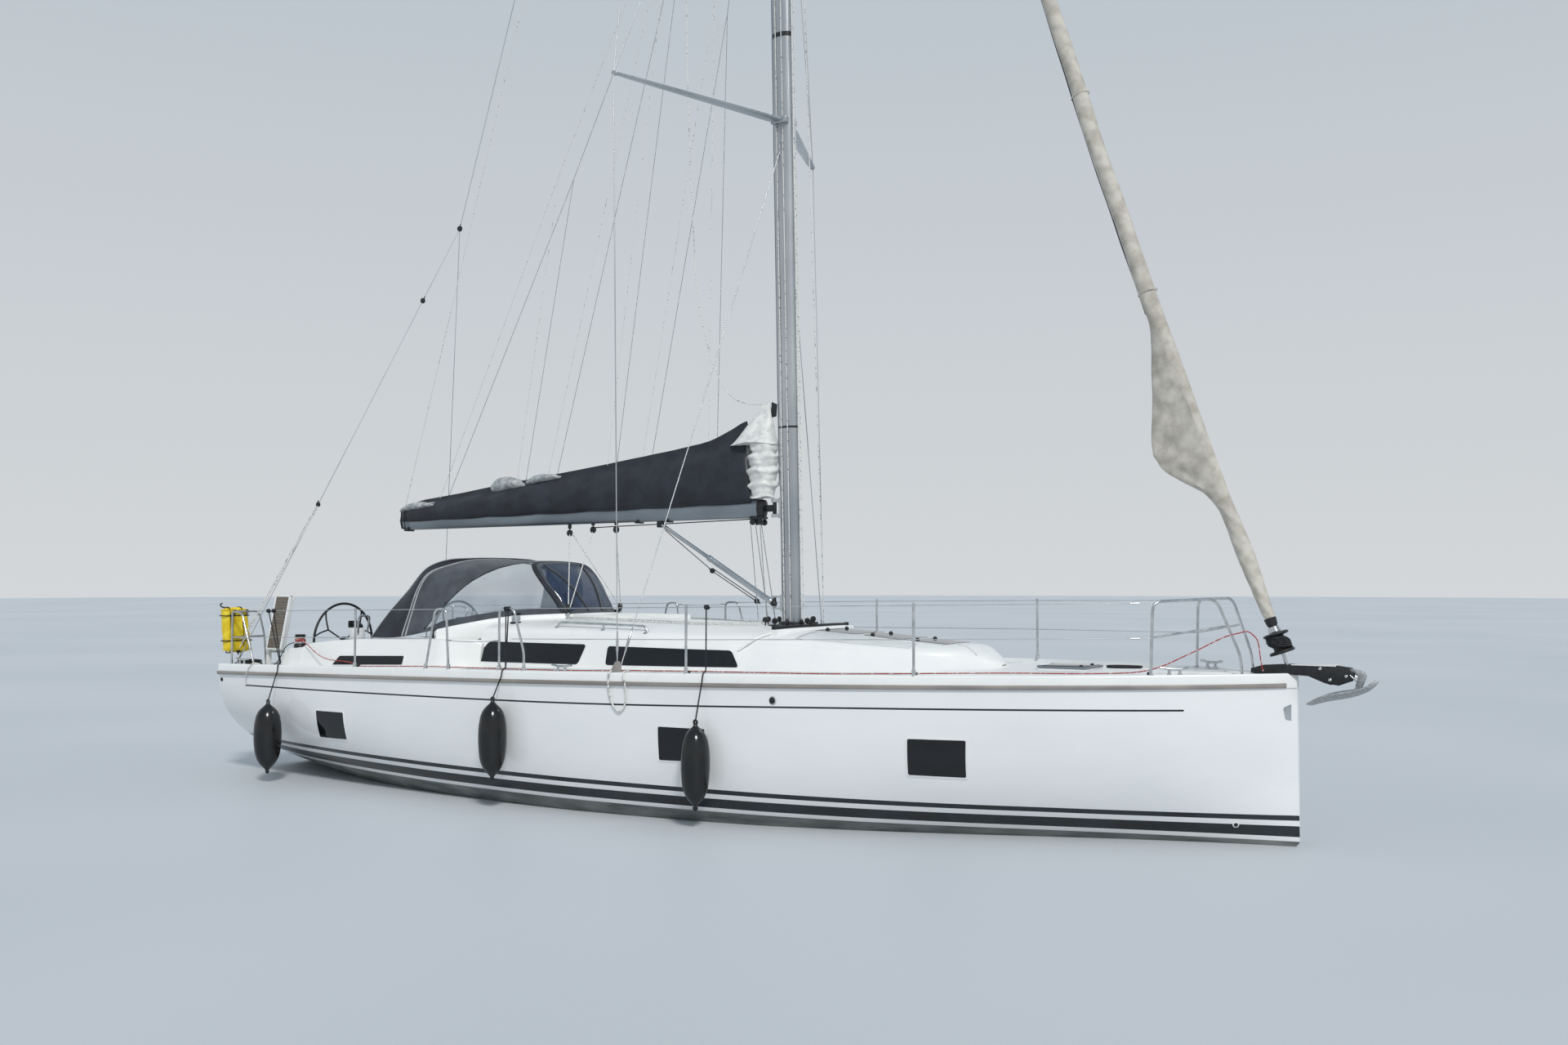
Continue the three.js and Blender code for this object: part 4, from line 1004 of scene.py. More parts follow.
def deck_height(x):
    """Height of the deck's outer edge, inside the gunwale."""
    return sheer_height(x) - BULWARK


def hull_half(x, z):
    """Half breadth of the hull's skin at a station and a height."""
    top = sheer_height(x)
    keel = along(KEEL_LINE, x)
    depth = min(1.0, max(0.0, (top - z) / (top - keel)))
    return sheer_half(x) * (1 - depth ** along(DEPTH_POWER, x)) ** (1 / along(SIDE_POWER, x))

# %% [markdown]
# The painted bands follow their own long curves, not the hull's rows, and a band drawn
# by a texture would have soft edges. So the rows of this skin are laid exactly on the
# edges of the bands, and each band is simply the faces between two rows.

# %% Where the bands run
STRIPE_TOP = [
    (-6.0, 0.43), (-4.86, 0.411), (-2.2, 0.372), (1.12, 0.343), (3.83, 0.3), (6.0, 0.27),
]
BAND_EDGES = (0.226, 0.186, 0.092, 0.045, 0.0)  # below the top of the upper dark stripe
COVE_LINE = [(-6.0, 1.06), (-5.27, 1.062), (-3.13, 1.072), (-0.4, 1.096), (2.62, 1.155), (6.0, 1.185)]
COVE_WIDTH = 0.017
COVE_ENDS = (-5.45, 5.2)
UNDER_ROWS = 9
SIDE_ROWS = 9


def band_heights(x):
    """The heights of the skin's rows at a station, from the keel to the gunwale."""
    keel = along(KEEL_LINE, x)
    top = sheer_height(x)
    m = along(DEPTH_POWER, x)
    stripe = flowing(STRIPE_TOP, x)
    paint = max(stripe - BAND_EDGES[0], keel + 0.002)
    last = math.acos(((top - paint) / (top - keel)) ** (m / 2))
    under = [
        top - math.cos(last * k / UNDER_ROWS) ** (2 / m) * (top - keel)
        for k in range(UNDER_ROWS + 1)
    ]
    bands = [max(stripe - edge, paint + 0.001) for edge in BAND_EDGES[1:]]
    cove = flowing(COVE_LINE, x) - COVE_WIDTH / 2
    side = [between(stripe, cove, k / SIDE_ROWS) for k in range(1, SIDE_ROWS + 1)]
    lip = top - GUNWALE
    return under + bands + side + [cove + COVE_WIDTH, between(cove + COVE_WIDTH, lip, 0.5), lip]


EASE = 0.5


def stations(start, end, count):
    """Stations along the boat, closer together toward the bow end."""
    shares = [k / count for k in range(count + 1)]
    return [between(start, end, t * (1 - EASE) + EASE * math.sin(t * math.pi / 2)) for t in shares]

# %% Hull skin
hull_stations = stations(STERN_X, BOW_X, 84)
hull_rows = []
for x in hull_stations:
    half = [(hull_half(x, z), z) for z in band_heights(x)]
    half[0] = (0.0, half[0][1])
    starboard = [(x, -y, z) for y, z in half]
    port = [(x, y, z) for y, z in half]
    hull_rows.append(starboard[::-1] + port[1:] + starboard[-1:])
hull_skin = skin("hull_skin", hull_rows, ring=True, ends=True)

# %% [markdown]
# Each face finds its band by its height over the long curve. Slot 0 is gelcoat, slot 1
# bottom paint and slot 2 the dark stripe.

# %% Paint the bands
for face in hull_skin.data.polygons:
    x, y, z = face.center
    below = flowing(STRIPE_TOP, x) - z
    if below > BAND_EDGES[0]:
        face.material_index = 1
    elif BAND_EDGES[2] < below < BAND_EDGES[1] or 0 < below < BAND_EDGES[3]:
        face.material_index = 2
    elif abs(z - flowing(COVE_LINE, x)) < COVE_WIDTH / 2 and COVE_ENDS[0] < x < COVE_ENDS[1]:
        face.material_index = 2
for slot_finish in (hull_gelcoat, bottom_paint, stripe_vinyl):
    hull_skin.data.materials.append(slot_finish)
print("hull faces:", len(hull_skin.data.polygons))

# %% [markdown]
# The cockpit, the gate through the transom and the seat of the bathing platform are
# cut out with boxes whose corners are already round, so the cuts come out with soft
# inside corners, as from a mould.

# %% Cut the cockpit, the gate and the platform's seat
def cut(piece, cutters):
    """Takes each cutter's volume away from the piece and removes the cutter."""
    for cutter in cutters:
        modify(piece, "BOOLEAN", operation="DIFFERENCE", object=cutter, solver="EXACT")
        bpy.data.objects.remove(cutter)
    return piece


def gate_cutters():
    """The way through the transom and the seat of the platform."""
    return [
        block("gate_cut", (-6.3, -0.56, 0.82), (-5.8, 0.56, 2.6), 0.04, 3),
        block("platform_cut", (-6.3, -0.76, 0.43), (-5.94, 0.76, 2.6), 0.0),
    ]


cut(
    hull_skin,
    [
        block("helm_cut", (-5.9204, -1.4804, 0.7596), (-4.3096, 1.4804, 1.6), 0.0),
        block("seat_cut", (-4.45, -1.2704, 0.7596), (-2.4996, 1.2704, 1.6), 0.0),
        *gate_cutters(),
        turned("stock_cut", [(-0.9, 0.0386), (0.7, 0.0386)], (-5.08, 0, 0), sides=24),
    ],
)
soften(hull_skin, 28)
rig.ride(hull_skin, "yacht")
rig.replaces(hull_skin, "hull")
print("hull after the cuts:", len(hull_skin.data.polygons))

# %% [markdown]
# ## Deck, coachroof and coamings
# The deck moulding drops over the hull like a lid, with a rounded gunwale at its edge.
# Its section is drawn once, as half a row of points, and repeated at every station.

# %% Deck moulding
def deck_section(x):
    """Half of the deck's section, from under the lip to the centreline."""
    top = sheer_height(x)
    lip = top - GUNWALE + 0.0004
    out = hull_half(x, lip) + 0.014
    edge = sheer_half(x) + 0.006
    inner = max(edge - 0.062, 0.005)
    deck = top - BULWARK
    wide = max(edge - inner, 0.02)
    return [
        (0.0, lip), (max(out - 0.06, 0.004), lip), (max(out - 0.008, 0.006), lip),
        (out - 0.002, lip + 0.002), (out, lip + 0.008), (out, lip + 0.02),
        (between(out, edge, 0.5), between(lip, top, 0.5)),
        (edge, top - 0.02), (edge - 0.002, top - 0.01), (edge - 0.007, top - 0.003),
        (edge - 0.014, top), (edge - wide * 0.5, top + 0.001), (inner + 0.012, top),
        (inner + 0.006, top - 0.004), (inner + 0.002, top - 0.014), (inner, deck + 0.008),
        (inner - 0.003, deck + 0.002), (inner - 0.01, deck),
        (inner * 0.75, deck + 0.011), (inner * 0.5, deck + 0.022), (inner * 0.25, deck + 0.03),
        (0.0, deck + 0.034),
    ]


deck_rows = []
for x in hull_stations:
    half = [(max(y, 0.0), z) for y, z in deck_section(x)]
    deck_rows.append([(x, -y, z) for y, z in half] + [(x, y, z) for y, z in half[-2::-1]])
deck_moulding = skin("deck_moulding", deck_rows, ring=True, ends=True)

# %% [markdown]
# The coachroof's section has a leaning side, a crease over the windows, and a soft
# quarter round to the cambered top. The table holds its breadths and heights from the
# companionway to the rounded front.

# %% Coachroof lines
ROOF = [
    # x, (half width at the deck, half width at the crease, crease height, crown height)
    (-2.45, (1.265, 1.15, 1.7, 1.862)),
    (-1.5, (1.265, 1.135, 1.7, 1.868)),
    (-0.6, (1.245, 1.1, 1.692, 1.854)),
    (0.3, (1.2, 1.04, 1.68, 1.83)),
    (1.0, (1.13, 0.96, 1.66, 1.804)),
    (1.663, (1.04, 0.86, 1.634, 1.764)),
    (2.309, (0.93, 0.745, 1.606, 1.712)),
    (2.6, (0.86, 0.67, 1.592, 1.688)),
    (2.8, (0.795, 0.59, 1.582, 1.674)),
    (2.9, (0.745, 0.53, 1.574, 1.669)),
    (2.97, (0.7, 0.47, 1.564, 1.66)),
    (3.02, (0.65, 0.41, 1.552, 1.638)),
    (3.1, (0.56, 0.32, 1.53, 1.598)),
    (3.18, (0.44, 0.22, 1.506, 1.55)),
    (3.24, (0.3, 0.11, 1.484, 1.512)),
    (3.27, (0.16, 0.05, 1.468, 1.488)),
]


def roof_side(x, z):
    """Half breadth of the coachroof's leaning side at a height."""
    base, crease, crease_z, _ = flowing(ROOF, x)
    low = deck_height(x) + 0.01
    return between(base, crease, (z - low) / (crease_z - low))


def roof_top(x, y):
    """Height of the coachroof's top at a place."""
    base, crease, crease_z, crown = flowing(ROOF, x)
    share = min(1.0, abs(y) / crease)
    return crease_z + (crown - crease_z) * max(0.0, 1 - share**2.9) ** (1 / 2.1)


def roof_section(x):
    """Half of the coachroof's section, from under the deck to the centreline."""
    base, crease, crease_z, crown = flowing(ROOF, x)
    low = deck_height(x)
    points = [(0.0, low - 0.06), (base + 0.014, low - 0.06), (base + 0.006, low + 0.004)]
    points += [(base - 0.001, low + 0.022)]
    points += [(between(base, crease, t), between(low + 0.01, crease_z, t)) for t in (0.3, 0.65, 0.98)]
    points += [(crease, crease_z), (crease - 0.004, crease_z + 0.012)]
    for share in (0.985, 0.955, 0.91, 0.85, 0.76, 0.62, 0.44, 0.22, 0.0):
        points.append((crease * share, roof_top(x, crease * share)))
    return points


roof_rows = []
for x in spaced(-2.45, 2.9, 42) + [2.95, 2.98, 3.02, 3.08, 3.14, 3.2, 3.24, 3.27]:
    half = roof_section(x)
    roof_rows.append([(x, -y, z) for y, z in half] + [(x, y, z) for y, z in half[-2::-1]])
coachroof = skin("coachroof", roof_rows, ring=True, ends=True)

# %% [markdown]
# The coamings that carry the winches run from the helm to the coachroof, with a
# rounded top and a soft end. One is modelled and its mirror image is the other.

# %% Coamings
COAMING = [
    # x, (outer foot, outer top, inner face, top height)
    (-5.23, (1.6, 1.57, 1.45, 1.395)),
    (-5.11, (1.606, 1.58, 1.448, 1.484)),
    (-5.08, (1.608, 1.582, 1.448, 1.502)),
    (-4.895, (1.61, 1.578, 1.447, 1.506)),
    (-4.83, (1.61, 1.545, 1.446, 1.552)),
    (-4.4, (1.61, 1.535, 1.44, 1.596)),
    (-4.0, (1.585, 1.5, 1.27, 1.616)),
    (-2.78, (1.53, 1.445, 1.24, 1.64)),
    (-2.6, (1.44, 1.37, 1.24, 1.64)),
    (-2.44, (1.31, 1.285, 1.2, 1.64)),
    (-2.37, (1.28, 1.23, 1.1, 1.6)),
]


def coaming_side(x, z):
    """Half breadth of the coaming's outer face at a height."""
    foot, top, _, height = along(COAMING, x)
    low = deck_height(x) + 0.008
    return between(foot, top + 0.012, (z - low) / (height - 0.026 - low))


def coaming_row(x):
    """A section of the starboard coaming."""
    foot, top, inner, height = along(COAMING, x)
    low = deck_height(x)
    return [
        (x, -foot, low - 0.08), (x, -foot, low + 0.004),
        (x, -between(foot, top + 0.014, 0.5), between(low, height - 0.03, 0.5)),
        (x, -top - 0.012, height - 0.03), (x, -top - 0.006, height - 0.012),
        (x, -top + 0.008, height - 0.002), (x, -top + 0.02, height),
        (x, -inner - 0.02, height), (x, -inner - 0.008, height - 0.003),
        (x, -inner - 0.001, height - 0.012), (x, -inner, height - 0.03),
        (x, -inner, low - 0.08),
    ]


coaming_xs = [-5.23, -5.17, -5.11, -5.095, -5.08, -5.0, -4.91, -4.895, -4.875, -4.85, -4.83, -4.7,
              -4.55, -4.4, -4.3]
coaming_xs += [-4.2, -4.1, -4.0, -3.7, -3.4, -3.1, -2.9, -2.82, -2.78, -2.72, -2.66, -2.6, -2.54, -2.5,
               -2.48]
coaming_xs += [-2.46, -2.44, -2.4, -2.37]
coaming_piece = skin(
    "coaming", [row + row[:1] for row in map(coaming_row, coaming_xs)], ring=True, ends=True
)
coamings = [coaming_piece, mirrored(coaming_piece, "coaming_port")]

# %% [markdown]
# The cockpit's inner moulding is a tub. It is made solid first and joined to the deck,
# and then the well, the seats, the companionway and the anchor locker are cut from the
# whole, so every inside corner belongs to one clean piece.

# %% Join the mouldings and cut the openings
def joined_solid(piece, others):
    """Adds the volume of the others to the piece."""
    for other in others:
        modify(piece, "BOOLEAN", operation="UNION", object=other, solver="EXACT")
        bpy.data.objects.remove(other)
    return piece


joined_solid(
    deck_moulding,
    [
        block("tub_helm", (-5.92, -1.48, 0.76), (-4.31, 1.48, 1.24), 0.0),
        block("tub_seats", (-4.45, -1.27, 0.76), (-2.5, 1.27, 1.24), 0.0),
        coachroof, *coamings,
    ],
)
LOCKER = [(4.87, -0.31), (5.49, -0.13), (5.49, 0.13), (4.87, 0.31)]
locker_floor = deck_height(5.15) + 0.0196
locker_cut = plate(
    "locker_cut", [(x, y, locker_floor) for x, y in LOCKER], (0, 0, 0.1)
)
locker_deep = plate(
    "locker_deep", [(4.93 if x < 5 else 5.44, y * 0.8, locker_floor - 0.075) for x, y in LOCKER],
    (0, 0, 0.1),
)
cut(
    deck_moulding,
    [
        block("well_helm", (-5.86, -1.435, 0.82), (-4.35, 1.435, 2.6), 0.05, 3),
        block("well_sole", (-4.5, -0.42, 0.82), (-2.56, 0.42, 2.6), 0.03, 3),
        block("well_seats", (-4.36, -1.225, 1.21), (-2.56, 1.225, 2.6), 0.04, 3),
        *gate_cutters(),
        block("companion_cut", (-2.7, -0.33, 1.24), (-1.75, 0.33, 2.3), 0.0),
        locker_cut, locker_deep,
    ],
)
modify(
    deck_moulding, "BEVEL", width=0.008, segments=2, limit_method="ANGLE",
    angle_limit=math.radians(50), use_clamp_overlap=True,
)
soften(deck_moulding, 32)
rides(deck_moulding, deck_gelcoat)
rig.replaces(deck_moulding, "deck")
print("deck faces:", len(deck_moulding.data.polygons))

# %% [markdown]
# Some raised parts are moulded with the deck: the lugs that carry the helm seats, the
# frame under the forward hatch and the runners of the sliding hatch. Two shallow
# channels lead rain down the coachroof's front, and their grey is painted shade for the
# shadow in the grooves there.

# %% Lugs, frame, runners and channels
HATCH_Z = deck_height(4.18) + 0.042
raised = [
    block("hatch_frame", (3.705, -0.235, HATCH_Z - 0.08), (4.175, 0.235, HATCH_Z), 0.008),
]
for side in (-1, 1):
    for x in (-5.6124, -5.2956):
        raised.append(plate("seat_lug", [(x, side * y, z) for y, z in (
            (1.51, 1.23), (1.51, 1.405), (1.49, 1.438), (1.466, 1.446), (1.4495, 1.434),
            (1.4495, 1.23))], (0.03, 0, 0), 0.004))
    raised.append(block("slide_runner", (-2.43, side * 0.36 - 0.015, 1.8),
                        (-0.7, side * 0.36 + 0.015, 1.905), 0.006))
rides(joined("deck_raised_parts", raised), deck_gelcoat)
channels = []
for side in (-1, 1):
    line = [(2.86, side * 0.16), (2.94, side * 0.19), (2.99, side * 0.21), (3.04, side * 0.235),
            (3.1, side * 0.26)]
    rows = [
        [(x, y + across, roof_top(x, y + across) + 0.0025 - 0.002 * (abs(across) > 0.01))
         for x, y in line]
        for across in (-0.016, -0.012, 0.0, 0.012, 0.016)
    ]
    channels.append(skin("roof_channel", rows))
    thickened(channels[-1], 0.003)
# The channels' grey nonslip finish is painted shade for the shadowed grooves on the roof front.
rides(joined("roof_channels", channels), nonslip_gelcoat)

# %% [markdown]
# The rubbing strake is a grey plastic strip under the gunwale. It is a skin of its own,
# a thumb's breadth high, closed at both ends.

# %% Rubbing strake
STRAKE = [(0.0, 0.004), (0.011, 0.006), (0.016, 0.014), (0.016, 0.036), (0.011, 0.044), (0.0, 0.046)]


def strake(side):
    """The rubbing strake of one side."""
    rows = []
    for x in [s for s in hull_stations if s < 5.93]:
        lip = sheer_height(x) - GUNWALE
        rows.append(
            [(x, side * (hull_half(x, lip + up) + 0.012 + out), lip + up) for out, up in STRAKE]
        )
    rows = [row + row[:1] for row in rows]
    piece = skin("rubbing_strake_" + ("port" if side > 0 else "starboard"), rows, True, True)
    return rides(piece, strake_plastic)


for side in (-1, 1):
    strake(side)

# %% [markdown]
# ## Windows in the hull and the coachroof
# Each window is a dark sheet that lies flush in a curved side, so a flat plate would
# show gaps at its ends. This function lays a grid on the curved surface itself. Its
# rows run from the lower to the upper edge, and the ends of the first and last rows
# are drawn in along a quarter circle, which rounds the corners. A second, slightly larger
# sheet under a window makes its thin white frame.

# %% A curved pane
def pane(name, corners, surface, side, proud=0.003, reach=0.04, thick=0.008):
    """A pane between (x, z) corners: aft low, aft high, fore high, fore low, on y = surface(x, z)."""
    aft_low, aft_high, fore_high, fore_low = corners
    tall = (aft_high[1] + fore_high[1] - aft_low[1] - fore_low[1]) / 2
    arc = [reach * (1 - math.cos(math.radians(a))) for a in (0, 22, 45, 67, 90)]
    rows = []
    for up in [*arc, *[between(reach, tall - reach, k / 4) for k in (1, 2, 3)],
               *[tall - a for a in arc[::-1]]]:
        t = up / tall
        aft = between(aft_low, aft_high, t)
        fore = between(fore_low, fore_high, t)
        into = max(0.0, reach - min(up, tall - up))
        drawn = (reach - math.sqrt(max(0.0, reach**2 - into**2))) / (fore[0] - aft[0])
        row = []
        for k in range(17):
            x, z = between(aft, fore, between(drawn, 1 - drawn, k / 16))
            row.append((x, side * (surface(x, z) + proud), z))
        rows.append(row)
    piece = skin(name, rows)
    thickened(piece, thick)
    choose(piece)
    edit_all()
    edited()
    return soften(piece, 35)

# %% All the side windows
HANDS = ((-1, "starboard"), (1, "port"))
HULL_WINDOWS = {
    "aft": [(-4.176, 0.531), (-4.141, 0.836), (-3.679, 0.838), (-3.687, 0.539)],
    "mid": [(0.587, 0.598), (0.589, 0.915), (1.08, 0.912), (1.07, 0.605)],
    "forward": [(2.957, 0.57), (2.978, 0.895), (3.47, 0.892), (3.441, 0.559)],
}
COAMING_WINDOW = [(-4.34, 1.32), (-4.25, 1.422), (-3.27, 1.447), (-3.275, 1.35)]
SALOON_AFT = [(-2.488, 1.4), (-2.313, 1.617), (-0.968, 1.617), (-1.013, 1.41)]
SALOON_FORWARD = [(-0.65, 1.415), (-0.681, 1.606), (0.792, 1.594), (0.93, 1.435)]

FRAME = 0.014


def framed(corners):
    """The same corners, moved outward by the width of a frame."""
    signs = ((-1, -1), (-1, 1), (1, 1), (1, -1))
    return [(x + FRAME * sx, z + FRAME * sz) for (x, z), (sx, sz) in zip(corners, signs)]


for side, hand in HANDS:
    panes = [("hull_window_" + key, corners, hull_half) for key, corners in HULL_WINDOWS.items()]
    panes.append(("coaming_window", COAMING_WINDOW, coaming_side))
    for name, corners, surface in panes:
        rides(pane("%s_frame_%s" % (name, hand), framed(corners), surface, side, 0.001, 0.02),
              hull_gelcoat)
        rides(pane("%s_%s" % (name, hand), corners, surface, side, 0.003, 0.014), smoked_acrylic)
    for node, corners in (("aft", SALOON_AFT), ("forward", SALOON_FORWARD)):
        glass = pane("saloon_%s_%s" % (node, hand), corners, roof_side, side, 0.003, 0.03)
        rides(glass, smoked_acrylic)
        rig.replaces(glass, "window_saloon_%s_%s" % (node, hand))
print("side windows:", 2 * (len(HULL_WINDOWS) + 3))

# %% [markdown]
# ## Mast and spreaders
# A mast is one long extrusion with an oval section, and a track of lighter metal runs
# up its aft face. It leans back a little, so its sections are laid along that rake.

# %% Mast
MAST_FOOT = (0.87, 1.878)
MAST_TOP_Z = 19.85
MAST_RAKE = 0.0193
MAST_REACH, MAST_BREADTH = 0.118, 0.066


def mast_x(z):
    """Middle of the mast at a height."""
    return MAST_FOOT[0] - MAST_RAKE * (z - MAST_FOOT[1])


def oval(centre, reach, breadth, count=20):
    """A level oval of points: reach fore and aft, breadth across."""
    x, y, z = centre
    return [(x + reach * math.cos(a), y + breadth * math.sin(a), z) for a in around(count, True)]


mast_rows = []
for z in (1.77, 1.9, 4.0, 8.0, 12.0, 15.0, 17.0, 17.8, 18.6, 19.3, MAST_TOP_Z):
    taper = along([(17.0, 1.0), (19.85, 0.72)], z)
    mast_rows.append(oval((mast_x(z), 0, z), MAST_REACH * taper, MAST_BREADTH * taper, 28))
mast_tube = rides(skin("mast_section", mast_rows, True, True), spar_aluminium)
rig.replaces(mast_tube, "mast")


def up_mast(z, back=0.0, out=0.0):
    """A point by the mast: at a height, behind its middle and out to a side."""
    return (mast_x(z) - back, out, z)


track = [
    [up_mast(z, b, o) for b, o in ((0.112, 0.013), (0.128, 0.013), (0.128, 0.005), (0.121, 0.004),
                                   (0.121, -0.004), (0.128, -0.005), (0.128, -0.013),
                                   (0.112, -0.013), (0.112, 0.013))]
    for z in (3.3, 8.0, 12.0, 17.0)
]
rides(skin("mast_track", track, True, True), boom_aluminium)

# %% [markdown]
# The fittings are cast or bent plates riveted to the tube: a collar at the deck, the
# gooseneck and vang brackets, the spreader roots, and the crane at the head with its
# sheaves.

# %% Mast fittings
collar = turned(
    "mast_collar", [(0, 0.2), (0.012, 0.2), (0.016, 0.185), (0.03, 0.15), (0.05, 0.135)],
    (0.87, 0, roof_top(0.87, 0) - 0.003), sides=32,
)
collar.scale = (1, 0.72, 1)
rides(settle(collar), black_nylon)
GOOSE_X = 0.655
brackets = [
    block("gooseneck_low", (GOOSE_X - 0.03, -0.03, 2.962), (0.79, 0.03, 2.998), 0.006),
    block("gooseneck_high", (GOOSE_X - 0.03, -0.03, 3.121), (0.79, 0.03, 3.158), 0.006),
    block("vang_low", (GOOSE_X - 0.028, -0.026, 1.985), (0.8, 0.026, 2.003), 0.005),
    block("vang_high", (GOOSE_X - 0.028, -0.026, 2.109), (0.8, 0.026, 2.126), 0.005),
]
for z, low, high in ((3.06, 2.95, 3.17), (2.056, 1.97, 2.14)):
    plate_back = block("mast_plate", (mast_x(z) - 0.119, -0.05, low), (mast_x(z) - 0.085, 0.05, high),
                       0.008)
    brackets.append(plate_back)
rides(joined("mast_brackets", brackets), stainless)
crane_z = 19.79
crane = [
    block("crane_arm", (mast_x(19.8) - 0.21, -0.016, crane_z), (mast_x(19.8) + 0.17, 0.016, 19.846),
          0.005),
    turned("sheave_aft", [(-0.02, 0.03), (-0.016, 0.036), (0.016, 0.036), (0.02, 0.03)],
           (mast_x(19.8) - 0.19, 0, 19.81), ACROSS),
]
rides(joined("mast_crane", crane), boom_aluminium)

# %% [markdown]
# Spreaders are tapering aerofoils swept a little up and aft. A round end cap holds
# the shroud in its slot.

# %% Spreaders
SPREADERS = {
    "lower": (7.2, (-0.01, 1.93, 7.3), 0.175),
    "upper": (12.65, (0.06, 1.24, 12.74), 0.15),
}
for level, (root_z, tip, chord) in SPREADERS.items():
    root = (mast_x(root_z), 0.046, root_z)
    rows = []
    for t in (0, 0.04, 0.3, 0.6, 0.9, 0.97, 1.0):
        x, y, z = between(root, tip, t)
        c = between(chord, chord * 0.5, t) / 2 * (1 if t < 0.95 else 0.86)
        h = between(0.026, 0.014, t)
        rows.append([(x + c * math.cos(a), -y, z + h * math.sin(a)) for a in around(16, True)])
    blade = skin("spreader_%s_starboard_blade" % level, rows, True, True)
    cap = turned(
        "spreader_cap", [(-0.03, 0.012), (-0.02, 0.024), (0.012, 0.026), (0.018, 0.016)],
        (tip[0], -tip[1], tip[2]), (0, -1, 0.05), sides=16,
    )
    cuff = block(
        "spreader_cuff", (root[0] - chord * 0.56, -0.12, root_z - 0.034),
        (root[0] + chord * 0.56, -0.05, root_z + 0.036), 0.014, 3,
    )
    starboard = joined("spreader_%s_starboard_finished" % level, [blade, cap, cuff])
    port = mirrored(starboard, "spreader_%s_port_finished" % level)
    for piece, hand in ((starboard, "starboard"), (port, "port")):
        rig.replaces(rides(piece, spar_aluminium), "spreader_%s_%s" % (level, hand))

# %% [markdown]
# ## Boom
# The boom is a deep anodised section, closed by cast ends. Reefing lines leave through
# the sheaves of its aft end, and most of it is hidden by the sail cover.

# %% Boom
BOOM_END_X = -4.9


def boom_top(x):
    """Height of the boom's upper face."""
    return between(3.16, 3.118, (GOOSE_X - x) / (GOOSE_X - BOOM_END_X))


def boom_row(x, wide=0.062, deep=0.1):
    """A section of the boom: an oval with flattened sides."""
    middle = boom_top(x) - 0.1
    row = []
    for a in around(20, True):
        flat = math.copysign(abs(math.cos(a)) ** 0.75, math.cos(a))
        tall = math.copysign(abs(math.sin(a)) ** 0.8, math.sin(a))
        row.append((x, wide * flat * (1 if tall > -0.2 else 0.9), middle + deep * tall))
    return row


boom_xs = [0.52, 0.5, 0.0, -1.5, -3.0, -4.4, -4.7]
boom_rows = [boom_row(0.52, 0.05, 0.085)] + [boom_row(x) for x in boom_xs[1:]]
boom_rows.append(boom_row(BOOM_END_X, 0.05, 0.082))
boom_section = skin("boom_section", boom_rows, True, True)
rides(boom_section, boom_aluminium, "boom")
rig.replaces(boom_section, "boom")
boom_ends = [
    block("goose_tongue", (0.49, -0.014, 3.024), (GOOSE_X, 0.014, 3.096), 0.004),
    turned("goose_pin", [(2.999, 0.02), (3.003, 0.022), (3.116, 0.022), (3.12, 0.02)],
           (GOOSE_X, 0, 0), sides=20),
    skin("boom_end_front", [boom_row(0.545, 0.03, 0.05), boom_row(0.535, 0.055, 0.092),
                            boom_row(0.5, 0.064, 0.102), boom_row(0.46, 0.064, 0.102)], True, True),
    skin("boom_end_aft", [boom_row(-4.87, 0.053, 0.088), boom_row(-4.9, 0.053, 0.086),
                          boom_row(-4.915, 0.045, 0.074)], True, True),
]
rides(joined("boom_castings", boom_ends), black_nylon, "boom")
print("boom length:", round(0.545 - BOOM_END_X, 2))

# %% [markdown]
# ## The sail in its cover
# The mainsail lies flaked on the boom under a long canvas cover: high at the mast
# where the stack is thick, low at the end. Canvas hangs from the ridge in shallow
# scallops between its fastenings. So each row of the skin is a tent shape whose sides
# swell and sink along the boom, and small waves are added to that.

# %% Sail cover
COVER_TOP = [
    # x, (ridge height, half width)
    (-4.9, (3.2, 0.06)), (-4.82, (3.243, 0.088)), (-4.52, (3.297, 0.11)),
    (-3.9, (3.36, 0.124)), (-3.423, (3.42, 0.132)), (-2.9, (3.48, 0.138)),
    (-2.314, (3.545, 0.144)), (-1.7, (3.614, 0.15)), (-1.074, (3.69, 0.155)),
    (-0.681, (3.74, 0.156)), (-0.3, (3.795, 0.154)), (-0.14, (3.833, 0.15)),
    (0.1, (3.925, 0.138)), (0.3, (4.01, 0.12)),
]
COVER_FRONT_X = 0.3


def ripple(x, t, seed):
    """A few waves that never repeat together, between -1 and 1."""
    return (
        math.sin(x * 5.3 + t * 3.1 + seed) * 0.5
        + math.sin(x * 11.7 - t * 5.0 + seed * 2.3) * 0.3
        + math.sin(x * 23.1 + t * 9.0 + seed * 4.1) * 0.2
    )


def cover_foot(x):
    """Height of the cover's lower edge, which hangs lower toward the boom's end."""
    return boom_top(x) + along([(-4.3, -0.1), (-2.0, -0.07), (0.4, -0.035)], x)


